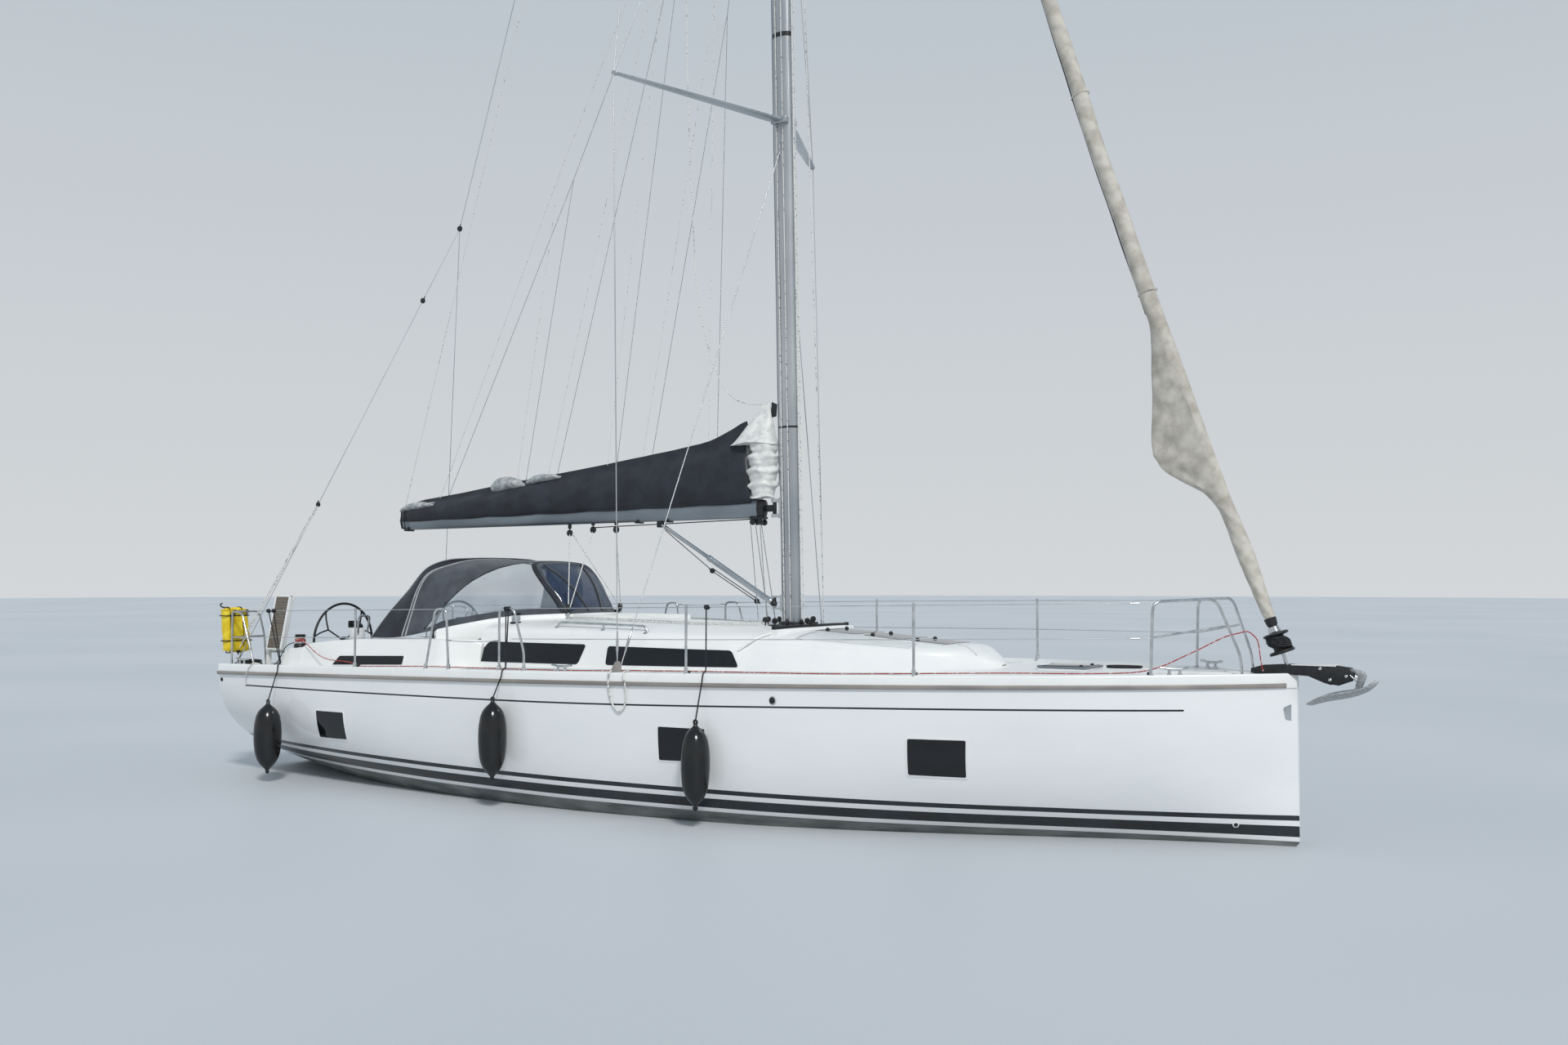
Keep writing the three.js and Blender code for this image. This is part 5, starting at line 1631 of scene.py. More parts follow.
def cover_row(x):
    """One section of the cover: up one side, over the ridge and down the other."""
    top, half = flowing(COVER_TOP, x)
    foot = cover_foot(x)
    lean = 0.1 * min(1.0, max(0.0, (x + 0.5) / 0.8)) ** 2
    scallop = abs(math.sin((x + 4.96) * math.pi / 0.78))
    sides = []
    for side in (-1, 1):
        points = []
        for k in range(15):
            t = k / 14
            swell = math.sin(math.pi * min(1.0, 0.1 + t * 1.02)) ** 0.8
            out = half * (0.26 * (1 - t) + 0.8 * swell * (0.9 + 0.1 * scallop))
            out += 0.008 * ripple(x, t * 4, 1.7 + side) * math.sin(math.pi * t)
            z = between(foot, top, t) + 0.012 * (1 - scallop) * (1 - t) ** 3
            points.append((x + lean * (1 - t), side * max(out, 0.068 * (1 - t) ** 0.5), z))
        points[-1] = (x, side * 0.01, top)
        sides.append(points)
    return sides[0] + sides[1][::-1]


cover = skin("sail_cover", [cover_row(x) for x in spaced(-4.9, COVER_FRONT_X, 130)])
cover_area = sum(face.area for face in cover.data.polygons)
modify(cover, "SOLIDIFY", thickness=0.004, offset=-1)
rides(cover, navy_canvas, "boom")
print("cover cloth, square metres:", round(cover_area, 2))

# %% [markdown]
# Inside the cover the sail is one soft mass, seen at the open ends. At the mast its
# luff hangs in short folds, and the stiff white head lies over them.

# %% The flaked sail
def pile_row(x):
    """A section of the flaked sail, well inside the cover."""
    top, half = flowing(COVER_TOP, x)
    foot = boom_top(x) + 0.002
    high = between(foot, top, 0.8)
    row = []
    for k in range(15):
        a = math.pi * k / 14
        y = half * 0.62 * math.cos(a) * (1 + 0.06 * ripple(x, a, 0.4))
        row.append((x, y, between(foot, high, math.sin(a) ** 0.9)))
    return row + row[:1]


pile = skin("sail_pile", [pile_row(x) for x in spaced(-4.88, 0.34, 60)], True, True)


def fold_row(z, low, high, centre, reach, breadth, deep, per_metre, seed):
    """A level ring of folded cloth: it goes in and out with height and round the ring."""
    t = (z - low) / (high - low)
    fold = math.sin(z * per_metre + seed) + 0.5 * math.sin(z * per_metre * 1.9 + seed * 2)
    row = []
    for a in around(40):
        wave = 1 + deep * fold * (0.7 + 0.3 * math.sin(a * 2 + seed))
        wave += 0.3 * deep * math.sin(5 * a + z * 17)
        row.append((
            centre(t) + reach(t) * math.cos(a) * wave, breadth(t) * math.sin(a) * wave,
            z + 0.012 * math.sin(a * 3 + seed + z * 11),
        ))
    return row + row[:1]


LUFF_LOW, LUFF_HIGH = 3.175, 3.88
luff = skin(
    "sail_luff",
    [
        fold_row(
            z, LUFF_LOW, LUFF_HIGH,
            lambda t: 0.5 + 0.02 * t, lambda t: 0.1 + 0.07 * math.sin(math.pi * (0.2 + 0.7 * t)),
            lambda t: 0.06 + 0.075 * math.sin(math.pi * (0.15 + 0.7 * t)), 0.13, 44, 0.6,
        )
        for z in spaced(LUFF_LOW, LUFF_HIGH, 64)
    ],
    True, True,
)
HEAD_LOW, HEAD_HIGH = 3.755, 4.178
head = skin(
    "sail_head",
    [
        fold_row(
            z, HEAD_LOW, HEAD_HIGH,
            lambda t: between(0.395, 0.56, t), lambda t: between(0.3, 0.04, t ** 0.85),
            lambda t: between(0.168, 0.02, t ** 0.8), 0.02, 14, 2.2,
        )
        for z in spaced(HEAD_LOW, HEAD_HIGH, 30)
    ],
    True, True,
)
for piece in (luff, head):
    rides(piece, white_sailcloth, "boom")
rides(pile, grey_sailcloth, "boom")
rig.replaces(pile, "mainsail_stowed")
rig.sheet(cover, flat=(1.2, 5.3), held="draped", rests_on=["boom_section", "sail_pile"], area=cover_area)
rides(plate("headboard", [(0.6, -0.007, 4.03), (0.675, -0.007, 4.04), (0.685, -0.007, 4.17),
                          (0.62, -0.007, 4.2)],
            (0, 0.014, 0), 0.004), black_nylon, "boom")

# %% [markdown]
# Where the cover's zip is open on top, aged sailcloth bulges out: two bundles near the
# middle and one at the aft end.

# %% Bundles on top of the cover
def bundle(name, x0, x1, low, high, half, seed):
    """A soft heap of folded cloth between two stations."""
    rows = []
    for k in range(19):
        t = k / 18
        x = between(x0, x1, t)
        full = math.sin(math.pi * min(0.96, max(0.04, t))) ** 0.35
        base = between(low[0], low[1], t)
        top = between(high[0], high[1], t) * full + base * (1 - full)
        row = []
        for a in around(24):
            wave = 1 + 0.1 * ripple(x * 4, a, seed)
            y = half * full * math.cos(a) * wave
            z = between(base, top, 0.5 + 0.5 * math.sin(a) * wave)
            row.append((x + 0.02 * math.sin(a * 2 + seed), y, z))
        rows.append(row + row[:1])
    return skin(name, rows, True, True)


bundles = [
    bundle("bundle_mid", -3.38, -2.84, (3.34, 3.4), (3.56, 3.5), 0.09, 0.3),
    bundle("bundle_fore", -2.84, -2.3, (3.42, 3.48), (3.53, 3.56), 0.07, 1.9),
    bundle("bundle_aft", -4.9, -4.25, (3.13, 3.2), (3.29, 3.25), 0.115, 4.4),
]
rides(joined("sail_bundles", bundles), grey_sailcloth, "boom")

# %% [markdown]
# ## Standing rigging
# Each wire is made of straight lengths between its fittings. At the deck a turnbuckle
# tightens it, and a tapered grey boot covers the chainplate. Only a wire's ends need
# points, because a taut wire has no others.

# %% Shrouds
CHAIN_X = 0.108
CHAIN_Z = sheer_height(CHAIN_X)
CHAIN_HALF = sheer_half(CHAIN_X) - 0.034
LOW_TIP, HIGH_TIP = (-0.01, 1.942, 7.3), (0.06, 1.252, 12.74)
SHROUDS = [
    # starboard half's points, radius
    ([(CHAIN_X, CHAIN_HALF, CHAIN_Z - 0.03), (CHAIN_X, CHAIN_HALF, CHAIN_Z + 0.33), LOW_TIP, HIGH_TIP,
      up_mast(18.0, 0.02, 0.03)], 0.0055),
    ([LOW_TIP, up_mast(12.4, 0.01, 0.03)], 0.004),
    ([(CHAIN_X + 0.01, CHAIN_HALF - 0.014, CHAIN_Z), up_mast(6.95, 0.01, 0.03)], 0.0055),
]


def turnbuckle(at, toward, size=1.0):
    """Stud, barrel and fork of a rigging screw, pointing along the wire."""
    profile = [(0, 0.008), (0.05, 0.009), (0.06, 0.013), (0.17, 0.014), (0.18, 0.009), (0.24, 0.008)]
    return turned("turnbuckle", [(h * size, r * size) for h, r in profile], at, toward, 12)


for side, hand in HANDS:
    runs = [[(x, side * y, z) for x, y, z in points] for points, _ in SHROUDS]
    wires = [tube("wire", [run], radius, 2) for run, (_, radius) in zip(runs, SHROUDS)]
    shrouds = joined("shrouds_%s_finished" % hand, wires)
    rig.replaces(rides(shrouds, rigging_wire), "shrouds_" + hand)
    boot_rows = [
        oval((x, side * (CHAIN_HALF - 0.008), CHAIN_Z + up), reach, breadth, 20)
        for up, x, reach, breadth in ((-0.045, 0.078, 0.074, 0.034), (-0.035, 0.078, 0.078, 0.036),
                                      (0.02, 0.09, 0.06, 0.034), (0.08, 0.103, 0.036, 0.03),
                                      (0.1, 0.108, 0.026, 0.024),
                                      (0.105, 0.108, 0.016, 0.016))
    ]
    rides(skin("chainplate_boot", boot_rows, True, True), strake_plastic)
    cap, lower = runs[0], runs[2]
    screws = [
        turnbuckle(between(cap[0], cap[1], 0.5), Vector(cap[1]) - Vector(cap[0])),
        turnbuckle(between(lower[0], lower[1], 0.035), Vector(lower[1]) - Vector(lower[0])),
    ]
    for z, at in ((6.95, runs[2][1]), (12.4, runs[1][1]), (18.0, runs[0][4])):
        screws.append(block("tang", (at[0] - 0.016, min(side * 0.02, side * 0.075), z - 0.05),
                            (at[0] + 0.016, max(side * 0.02, side * 0.075), z + 0.03), 0.006))
    rides(joined("shroud_fittings_" + hand, screws), stainless)

# %% [markdown]
# The backstay splits at a block and runs to both quarters. Its falls pass over a second
# block, with a white tackle to the rail. A small block is two round cheeks on a strap.

# %% Blocks and the backstay
def rope_block(at, toward, radius=0.032, across=ACROSS, wide=0.014):
    """Pieces of a block whose sheave is at a place and whose strap leads off along a direction."""
    lead = Vector(toward).normalized() * radius
    at = Vector(at)
    cheeks = [(-wide, radius * 0.6), (-wide * 0.8, radius * 0.94), (-wide * 0.2, radius),
              (wide * 0.2, radius), (wide * 0.8, radius * 0.94), (wide, radius * 0.6)]
    return [
        turned("block_cheeks", cheeks, at, across, 20),
        tube("block_strap", [[tuple(at), tuple(at + lead * 1.7)]], 0.007, 2),
        turned("block_pin", [(-wide * 1.25, 0.006), (wide * 1.25, 0.006)], at, across, 10),
    ]


MASTHEAD_AFT = (mast_x(19.8) - 0.2, 0, 19.787)
SPLIT = (-3.971, 0, 6.659)
quarters = [(-5.915, side * 1.706, sheer_height(-5.915) - 0.03) for side in (-1, 1)]
stay_pieces = [tube("wire", [[MASTHEAD_AFT, SPLIT]], 0.005, 2)]
stay_pieces += [tube("wire", [[SPLIT, quarter]], 0.004, 2) for quarter in quarters]
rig.replaces(rides(joined("backstay_finished", stay_pieces), rigging_wire), "backstay")
leg_down = Vector(quarters[0]) - Vector(SPLIT)
rides(joined("backstay_blocks", rope_block(SPLIT, (0.27, 0, 1), 0.036) + rope_block(
    tuple(Vector(SPLIT) + leg_down * 0.17), -leg_down, 0.034)), black_nylon)
for quarter in quarters:
    up = Vector(SPLIT) - Vector(quarter)
    foot = Vector(quarter)
    rides(joined("quarter_fitting", [
        turnbuckle(foot + up.normalized() * 0.02, up, 0.9),
        turned("quarter_eye", [(0, 0.028), (0.006, 0.03), (0.012, 0.014), (0.05, 0.012)],
               (foot[0], foot[1], foot[2] - 0.01), (0, 0, 1), 16),
    ]), stainless)
tackle_top = tuple(Vector(quarters[0]) + (Vector(SPLIT) - Vector(quarters[0])) * 0.36)
tackle = [
    tube("fall", [[tuple(Vector(tackle_top) + Vector((d, 0, 0))),
                   tuple(Vector(quarters[0]) + Vector((d + 0.02, 0.02, 0.2)))]],
         0.0065, 2)
    for d in (-0.014, 0.016)
]
rides(joined("backstay_tackle", tackle), white_rope)
rides(joined("tackle_blocks", rope_block(tackle_top, up, 0.03) + rope_block(
    tuple(Vector(quarters[0]) + Vector((0.02, 0.02, 0.17))), (0, 0, -1), 0.026)), black_nylon)

# %% [markdown]
# ## Running rigging
# A line between the boat and the boom has its ends on different bodies. Its few points
# lie beyond the two ends of the blend, so it stays straight and follows at both ends as
# the boom swings. The table gives each such line its path, thickness and rope.

# %% Lines from the boom to the boat
SHEET_NEAR, SHEET_FAR = (-1.79, -0.47, 1.98), (-1.79, 0.47, 1.98)
BOOM_BLOCKS = [(-2.171, 0, 2.84), (-1.822, 0, 2.872), (-1.484, 0, 2.868)]
mainsheet = [
    [(*BOOM_BLOCKS[0][:2], 2.84), SHEET_NEAR], [(*BOOM_BLOCKS[1][:2], 2.86), (-1.775, -0.46, 1.98)],
    [(-2.14, 0, 2.84), SHEET_FAR], [(*BOOM_BLOCKS[2][:2], 2.86), (-1.775, 0.46, 1.98)],
]
lines = [(mainsheet, 0.0058, white_rope, (-1.8, 0, 2.06), (-1.8, 0, 2.8), "mainsheet")]
BOOM_TIP = (-4.87, 0, 3.225)
lines.append(([[(mast_x(19.8) - 0.16, 0.0, 19.79), (-2.955, 0, 9.31), BOOM_TIP]], 0.0045, white_rope,
              (-3.0, 0, 9.2), (-4.8, 0, 3.3), "topping_lift"))
for side, hand, rope in ((-1, "starboard", white_rope), (1, "port", grey_rope)):
    jacks = []
    for ring, feet in (
        ((-2.25, 7.06), ((-4.2, 3.33), (-2.93, 3.47))),
        ((-0.6, 10.1), ((-2.436, 3.56), (-1.548, 3.63))),
        ((-0.05, 8.6), ((-1.04, 3.72), (-0.144, 3.84))),
    ):
        eye = (ring[0], side * 0.13, ring[1])
        jacks.append([(mast_x(12.6) - 0.02, side * 0.06, 12.6), eye])
        for foot in feet:
            wide = flowing(COVER_TOP, foot[0])[1]
            jacks.append([eye, (foot[0], side * wide * 0.55, foot[1] - 0.03)])
    lines.append((jacks, 0.0032, rope, (0, 0, 4.6), (0, 0, 3.95), "lazy_jacks_" + hand))
lines.append(([
    [(0.38, -0.05, 2.9), (0.5, -0.08, 1.87)], [(0.43, -0.03, 2.9), (0.56, 0.02, 1.87)],
    [(0.5, -0.05, 2.9), (0.62, -0.1, 1.87)], [(0.46, 0.04, 2.9), (0.6, 0.1, 1.87)],
], 0.0045, grey_rope, (0, 0, 2.0), (0, 0, 2.85), "reef_lines_down"))
for runs, radius, rope, start, end, name in lines:
    line = tube(name, runs, radius, 2)
    line.data.materials.append(rope)
    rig.blend(line, "yacht", "boom", start, end)
    print(name, "runs:", len(runs))

# %% [markdown]
# The fittings at the ends of those lines ride on the body they are bolted to. Under the
# boom two black lines run forward to blocks at the gooseneck, and the kicker's purchase
# lies under its tube.

# %% Blocks, lines along the boom and the kicker
sheet_blocks, sheet_feet = [], []
for x, y, z in (SHEET_NEAR, SHEET_FAR):
    roof = roof_top(x, y)
    sheet_blocks += rope_block((x, y, z), (0, 0, -1), 0.042, (1, 0.3, 0), 0.018)
    sheet_feet.append(tube("sheet_post", [[(x, y, roof - 0.004), (x, y, z - 0.055)]], 0.013, 3))
    sheet_feet.append(turned("sheet_foot", [(-0.004, 0.03), (0.004, 0.034), (0.012, 0.018)],
                             (x, y, roof), sides=20))
rides(joined("sheet_blocks", sheet_blocks), black_nylon)
rides(joined("sheet_feet", sheet_feet), stainless)
on_boom = []
for x, y, z in BOOM_BLOCKS:
    on_boom += rope_block((x, y, z), (0, 0, 1), 0.04)
    on_boom.append(block("boom_eye", (x - 0.02, -0.012, z + 0.05),
                         (x + 0.02, 0.012, boom_top(x) - 0.195), 0.004))
for x, z in ((0.4, 2.917), (0.5, 2.912)):
    for y in (-0.04, 0.04):
        on_boom += rope_block((x, y, z), (0, 0, 1), 0.034)
on_boom.append(block("front_bracket", (0.36, -0.05, 2.945), (0.54, 0.05, 2.972), 0.006))
for x, wide in ((-4.8, 0.075), (-1.154, 0.07), (-0.74, 0.07)):
    on_boom.append(block("boom_strap", (x - 0.016, -wide, boom_top(x) - 0.215),
                         (x + 0.016, wide, boom_top(x) - 0.19), 0.005))
rides(joined("boom_blocks", on_boom), black_nylon, "boom")
under = [[(-1.82, y, boom_top(-1.8) - 0.245), (-0.6, y, boom_top(-0.6) - 0.225), (0.4, y * 1.4, 2.95)]
         for y in (-0.02, 0.02)]
rides(tube("reef_lines_under", under, 0.0045, 2), black_rope, "boom")
for k, x in enumerate((-4.86, -4.8)):
    loop = [(x, y, z) for y, z in ((-0.07, 2.94), (-0.085, 3.02), (-0.08, 3.16), (0, 3.2 + 0.04 * k),
                                   (0.08, 3.16), (0.085, 3.02), (0.07, 2.94))]
    rides(tube("clew_strap", [rounded(loop + loop[:1], 0.03, 3)], 0.006, 2), black_rope, "boom")

VANG_FOOT, VANG_TOP = (0.655, 0, 2.04), (-0.853, 0, 2.921)


def on_vang(t, under=0.0):
    """A point part of the way up the kicker, or so far below it."""
    x, y, z = between(VANG_FOOT, VANG_TOP, t)
    return (x - under * 0.5, y, z - under * 0.86)


vang_line = Vector(VANG_TOP) - Vector(VANG_FOOT)
vang_tube = turned(
    "vang_tube",
    [(0.03, 0.02), (0.05, 0.034), (0.09, 0.034), (0.1, 0.031), (0.94, 0.031), (0.95, 0.034),
     (0.99, 0.034), (1.0, 0.024), (1.01, 0.021), (1.68, 0.021), (1.69, 0.024), (1.735, 0.024),
     (1.74, 0.016)],
    VANG_FOOT, vang_line, 24,
)
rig.replaces(rides(vang_tube, spar_aluminium, "boom"), "vang")
vang_ends = [
    turned("vang_pin", [(2.005, 0.014), (2.009, 0.017), (2.103, 0.017), (2.107, 0.014)], (0.655, 0, 0),
           sides=16),
    block("vang_fork", (-0.895, -0.024, 2.88), (-0.815, 0.024, 2.985), 0.01),
    turned("vang_ball", [(-0.02, 0.02), (0, 0.034), (0.03, 0.034), (0.05, 0.02)], VANG_FOOT, vang_line,
           20),
    *rope_block(on_vang(0.5, 0.1), vang_line, 0.03), *rope_block(on_vang(0.12, 0.09), -vang_line, 0.03),
]
rides(joined("vang_fittings", vang_ends), black_nylon, "boom")
falls = [[on_vang(0.95, 0.03), on_vang(0.5, 0.1)]]
falls += [[on_vang(0.5, 0.1 + d), on_vang(0.12, 0.09 + d)] for d in (-0.02, 0.012)]
falls = [[(x, y + 0.012 * k, z) for x, y, z in run] for k, run in enumerate(falls)]
rides(tube("vang_purchase", falls, 0.005, 2), black_rope, "boom")

# %% [markdown]
# Spare halyards stand taut before the mast and along its sides. One hangs slack from the
# masthead and comes down in a long curve to the head of the sail.

# %% Halyards
taut = []
for x0, y0, x1, y1, top in (
    (0.03, -0.075, 0.02, -0.07, 19.6), (-0.05, -0.072, -0.06, -0.068, 19.6),
    (0.13, -0.02, 0.16, -0.02, 17.3), (0.128, 0.03, 0.15, 0.04, 17.3),
    (0.24, -0.16, 0.13, -0.03, 17.4), (0.32, 0.12, 0.13, 0.02, 18.9),
):
    taut.append([(mast_x(1.87) + x0, y0, 1.87), (mast_x(top) + x1 * 0.8, y1 * 0.8, top)])
rides(tube("halyards", taut, 0.0052, 2), white_rope)
slack = [(mast_x(19.8) - 0.19, 0.01, 19.77), (-0.2, 0.01, 14.2), (-0.49, 0, 10.4), (-0.518, 0, 8.81),
         (-0.47, 0, 7.2), (-0.383, 0, 5.74), (-0.326, 0, 5.278), (-0.182, 0, 4.773),
         (-0.016, 0, 4.428), (0.12, 0, 4.28), (0.262, 0, 4.215), (0.42, 0, 4.185), (0.62, 0, 4.18)]
slack_line = smoothed(slack, 8)
slack_length = run_length(slack_line)
halyard = tube("main_halyard", [slack_line], 0.006, 2)
halyard.data.materials.append(white_rope)
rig.blend(halyard, "yacht", "boom", (0, 0, 12.0), (0, 0, 4.2))
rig.cord(halyard, slack_line[0], slack_length, 0.012, "object", lay="hanging", path=slack_line)
print("slack halyard, metres:", round(slack_length, 2))
marks = []
for z, tall, wide in ((3.905, 0.022, 0.002), (8.12, 0.05, 0.0015)):
    rows = [oval((mast_x(h), 0, h), 0.118 + wide, 0.066 + wide, 28) for h in (z, z + tall)]
    marks.append(skin("mast_band", rows, True, True))
rides(joined("mast_bands", marks), black_nylon)

# %% [markdown]
# ## The furled headsail
# The headsail is rolled round the forestay and laced into a cream sleeve. Low down the
# sail's clew makes a flat, crinkled corner that tapers back into the roll. The sleeve
# is a skin of rings round the stay: nearly round above, drawn out aft at the clew, and
# wound all the way down by shallow spiral folds.

# %% Line of the forestay
STAY_FOOT = (5.955, 1.44)
STAY_TOP_Z = 17.2
STAY_SAG = [(1.44, 0.0), (1.965, 0.008), (3.5, 0.06), (5.0, 0.077), (6.46, 0.07), (7.9, 0.03),
            (10.0, 0.0)]


def stay_x(z):
    """The forestay's place at a height: a straight line, less its sag."""
    top = mast_x(STAY_TOP_Z) + 0.134
    straight = between(STAY_FOOT[0], top, (z - STAY_FOOT[1]) / (STAY_TOP_Z - STAY_FOOT[1]))
    return straight - along(STAY_SAG, z)


JIB = [
    # height, (half breadth, reach forward, reach aft)
    (1.95, (0.03, 0.03, 0.03)), (1.97, (0.048, 0.048, 0.048)), (2.05, (0.058, 0.059, 0.059)),
    (2.5, (0.076, 0.078, 0.08)), (2.9, (0.07, 0.072, 0.08)), (3.08, (0.064, 0.068, 0.15)),
    (3.2, (0.06, 0.068, 0.29)), (3.33, (0.056, 0.068, 0.425)), (3.42, (0.054, 0.07, 0.458)),
    (3.5, (0.055, 0.071, 0.466)), (3.9, (0.062, 0.075, 0.332)), (4.2, (0.068, 0.077, 0.232)),
    (4.5, (0.073, 0.08, 0.128)), (4.68, (0.075, 0.082, 0.084)), (5.4, (0.077, 0.081, 0.082)),
    (6.4, (0.076, 0.08, 0.08)), (7.9, (0.07, 0.074, 0.074)), (12.0, (0.058, 0.06, 0.06)),
    (16.2, (0.034, 0.036, 0.036)), (16.4, (0.014, 0.014, 0.014)),
]


def jib_row(z):
    """One ring of the sleeve."""
    half, fore, aft = flowing(JIB, z)
    row = []
    for a in around(32):
        c = math.cos(a)
        s = math.sin(a)
        wrap = math.sin(a - z * 4.2) * 0.045 + math.sin(2 * a + z * 7.7) * 0.02
        corner = max(0.0, (aft - 0.11) / 0.3)
        reach = fore if c > 0 else aft
        x = c * reach * (1 + wrap * (1 - corner))
        y = s * half * (1 + wrap * 2)
        low = max(0.0, min(1.0, (3.3 - z) * 3))
        y += 0.004 * low * math.sin(z * 38 + 3 * a)
        if corner > 0 and c < 0:
            y = half * s * (1 - 0.55 * corner * -c)
            crease = math.sin(z * 21 + c * 6) * 0.5 + math.sin(z * 43 - c * 9) * 0.3
            crease += 0.5 * math.sin(z * 9 + c * 15)
            y += 0.018 * corner * crease * min(1.0, -c * 2) * (1 - abs(c) ** 8)
        row.append((stay_x(z) + x, y, z + 0.03 * c * (0.4 if c > 0 else 1) * corner))
    return row + row[:1]


jib_heights = [between(1.95, 4.8, k / 130) for k in range(130)]
jib_heights += [between(4.8, 16.4, (k / 150) ** 1.05) for k in range(151)]
jib_sleeve = skin("jib_sleeve", [jib_row(z) for z in jib_heights], True, True)
rides(jib_sleeve, cream_canvas)
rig.replaces(jib_sleeve, "jib_furled")

# %% [markdown]
# A zip flap runs down the sleeve's aft side, a lashing is drawn round it at intervals,
# and under it the bare foil runs down to the drum.

# %% Foil, lashings and furling drum
rides(tube("jib_foil", [[(stay_x(1.88), 0, 1.88), (stay_x(2.05), 0, 2.05)]], 0.016, 4), boom_aluminium)
rides(
    tube("forestay_top", [[(stay_x(16.1), 0, 16.1), (mast_x(17.25) + 0.02, 0, 17.25)]], 0.008),
    rigging_wire,
)
flap_points = [
    [(stay_x(z) - flowing(JIB, z)[2] - 0.006, 0.01 + 0.006 * math.sin(z * 9), z)
     for z in spaced(4.75, 16.2, 120)]
]
rides(tube("jib_zip", flap_points, 0.006, 2), navy_canvas)


def ring_round(z, grow=0.004, tilt=0.0):
    """A closed ring just outside the sleeve."""
    half, fore, aft = flowing(JIB, z)
    points = []
    for a in around(24, True):
        reach = fore if math.cos(a) > 0 else aft
        points.append((
            stay_x(z) + math.cos(a) * (reach + grow), math.sin(a) * (half * 1.04 + grow),
            z + tilt * math.cos(a),
        ))
    return points


rides(tube("jib_lashings", [ring_round(z, 0.004, 0.03) for z in (4.95, 6.9, 9.1, 11.6)], 0.005, 2),
      cream_canvas)
stay_lean = (stay_x(5.0) - stay_x(2.0), 0, 3.0)
drum = turned(
    "furling_drum",
    [(0.0, 0.03), (0.002, 0.1), (0.008, 0.11), (0.024, 0.11), (0.03, 0.1), (0.034, 0.062),
     (0.158, 0.062), (0.162, 0.1), (0.168, 0.11), (0.182, 0.11), (0.188, 0.098), (0.19, 0.03)],
    (stay_x(1.662), 0, 1.662), stay_lean, sides=36, angle_deg=30,
)
windings = []
for layer, (radius, count) in enumerate(((0.07, 7), (0.086, 6), (0.099, 5))):
    for level in range(count):
        windings += [
            (
                (radius + 0.004 * math.sin(7 * a + level * 2.3)) * math.cos(a),
                (radius + 0.004 * math.sin(5 * a + level * 1.7 + layer)) * math.sin(a),
                1.703 + layer * 0.008 + (level + a / (2 * math.pi)) * 0.0165,
            )
            for a in around(20)
        ]
line_on_drum = tube("line_on_drum", [[(stay_x(z) + x, y, z) for x, y, z in windings]], 0.008, 2)
rides(line_on_drum, black_rope)
stay_at = (stay_x(1.845), 0, 1.845)
rides(
    turned("drum_collar", [(0, 0.05), (0.004, 0.055), (0.05, 0.048), (0.056, 0.04), (0.062, 0.034)],
           stay_at, stay_lean, 24),
    stainless,
)
rides(
    turned("sleeve_band", [(0.06, 0.036), (0.064, 0.046), (0.126, 0.054), (0.13, 0.05)], stay_at,
           stay_lean, 24),
    black_nylon,
)
rides(drum, black_nylon)
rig.replaces(drum, "furler_drum")
stay_end = [
    tube("stay_toggle", [[(stay_x(1.44), 0, 1.44), (stay_x(1.668), 0, 1.668)]], 0.016, 4),
    block("toggle_jaw", (stay_x(1.47) - 0.02, -0.03, 1.41), (stay_x(1.47) + 0.03, 0.03, 1.5), 0.006),
    turned("toggle_pin", [(-0.04, 0.008), (-0.038, 0.012), (0.038, 0.012), (0.04, 0.008)],
           (stay_x(1.46), 0, 1.455), ACROSS, 16),
]
rides(joined("stay_toggle_finished", stay_end), stainless)
print("sleeve rings:", len(jib_heights))

# %% [markdown]
# ## The sprayhood
# Canvas stretched over three bent tubes shelters the companionway. Its surface is drawn
# through lines of seven points each: the aft edge, the main bow, two more, the forward
# bow and the foot of the front, with four between the last two. A point on it is named
# by two shares: u runs forward and v runs from the foot to the centreline.

# %% The hood's surface
HOOD_LINES = [
    # aft edge
    [(-3.94, 1.4, 1.635), (-3.77, 1.31, 1.9), (-3.59, 1.18, 2.16), (-3.43, 1.05, 2.42),
     (-3.37, 0.78, 2.525), (-3.34, 0.4, 2.55), (-3.33, 0.0, 2.556)],
    # main bow
    [(-3.42, 1.4, 1.655), (-3.385, 1.335, 1.9), (-3.34, 1.245, 2.2), (-3.32, 1.1, 2.37),
     (-3.3, 0.82, 2.46), (-3.295, 0.44, 2.525), (-3.29, 0.0, 2.54)],
    # over the companionway, two lines
    [(-2.84, 1.17, 1.785), (-2.88, 1.16, 1.98), (-2.92, 1.1, 2.2), (-2.95, 1.0, 2.37),
     (-2.97, 0.78, 2.465), (-2.98, 0.42, 2.515), (-2.98, 0.0, 2.528)],
    [(-2.4, 0.82, 1.88), (-2.46, 0.82, 2.07), (-2.56, 0.8, 2.24), (-2.66, 0.74, 2.39),
     (-2.7, 0.62, 2.47), (-2.72, 0.36, 2.506), (-2.72, 0.0, 2.515)],
    # forward bow
    [(-1.87, 0.45, 1.915), (-2.0, 0.47, 2.1), (-2.12, 0.5, 2.25), (-2.25, 0.5, 2.4),
     (-2.32, 0.44, 2.475), (-2.36, 0.26, 2.5), (-2.38, 0.0, 2.508)],
]
HOOD_FRONT = [
    (-1.85, 0.43, 1.905), (-1.82, 0.37, 1.91), (-1.8, 0.3, 1.912), (-1.78, 0.23, 1.914),
    (-1.77, 0.15, 1.915), (-1.765, 0.08, 1.916), (-1.76, 0.0, 1.916),
]
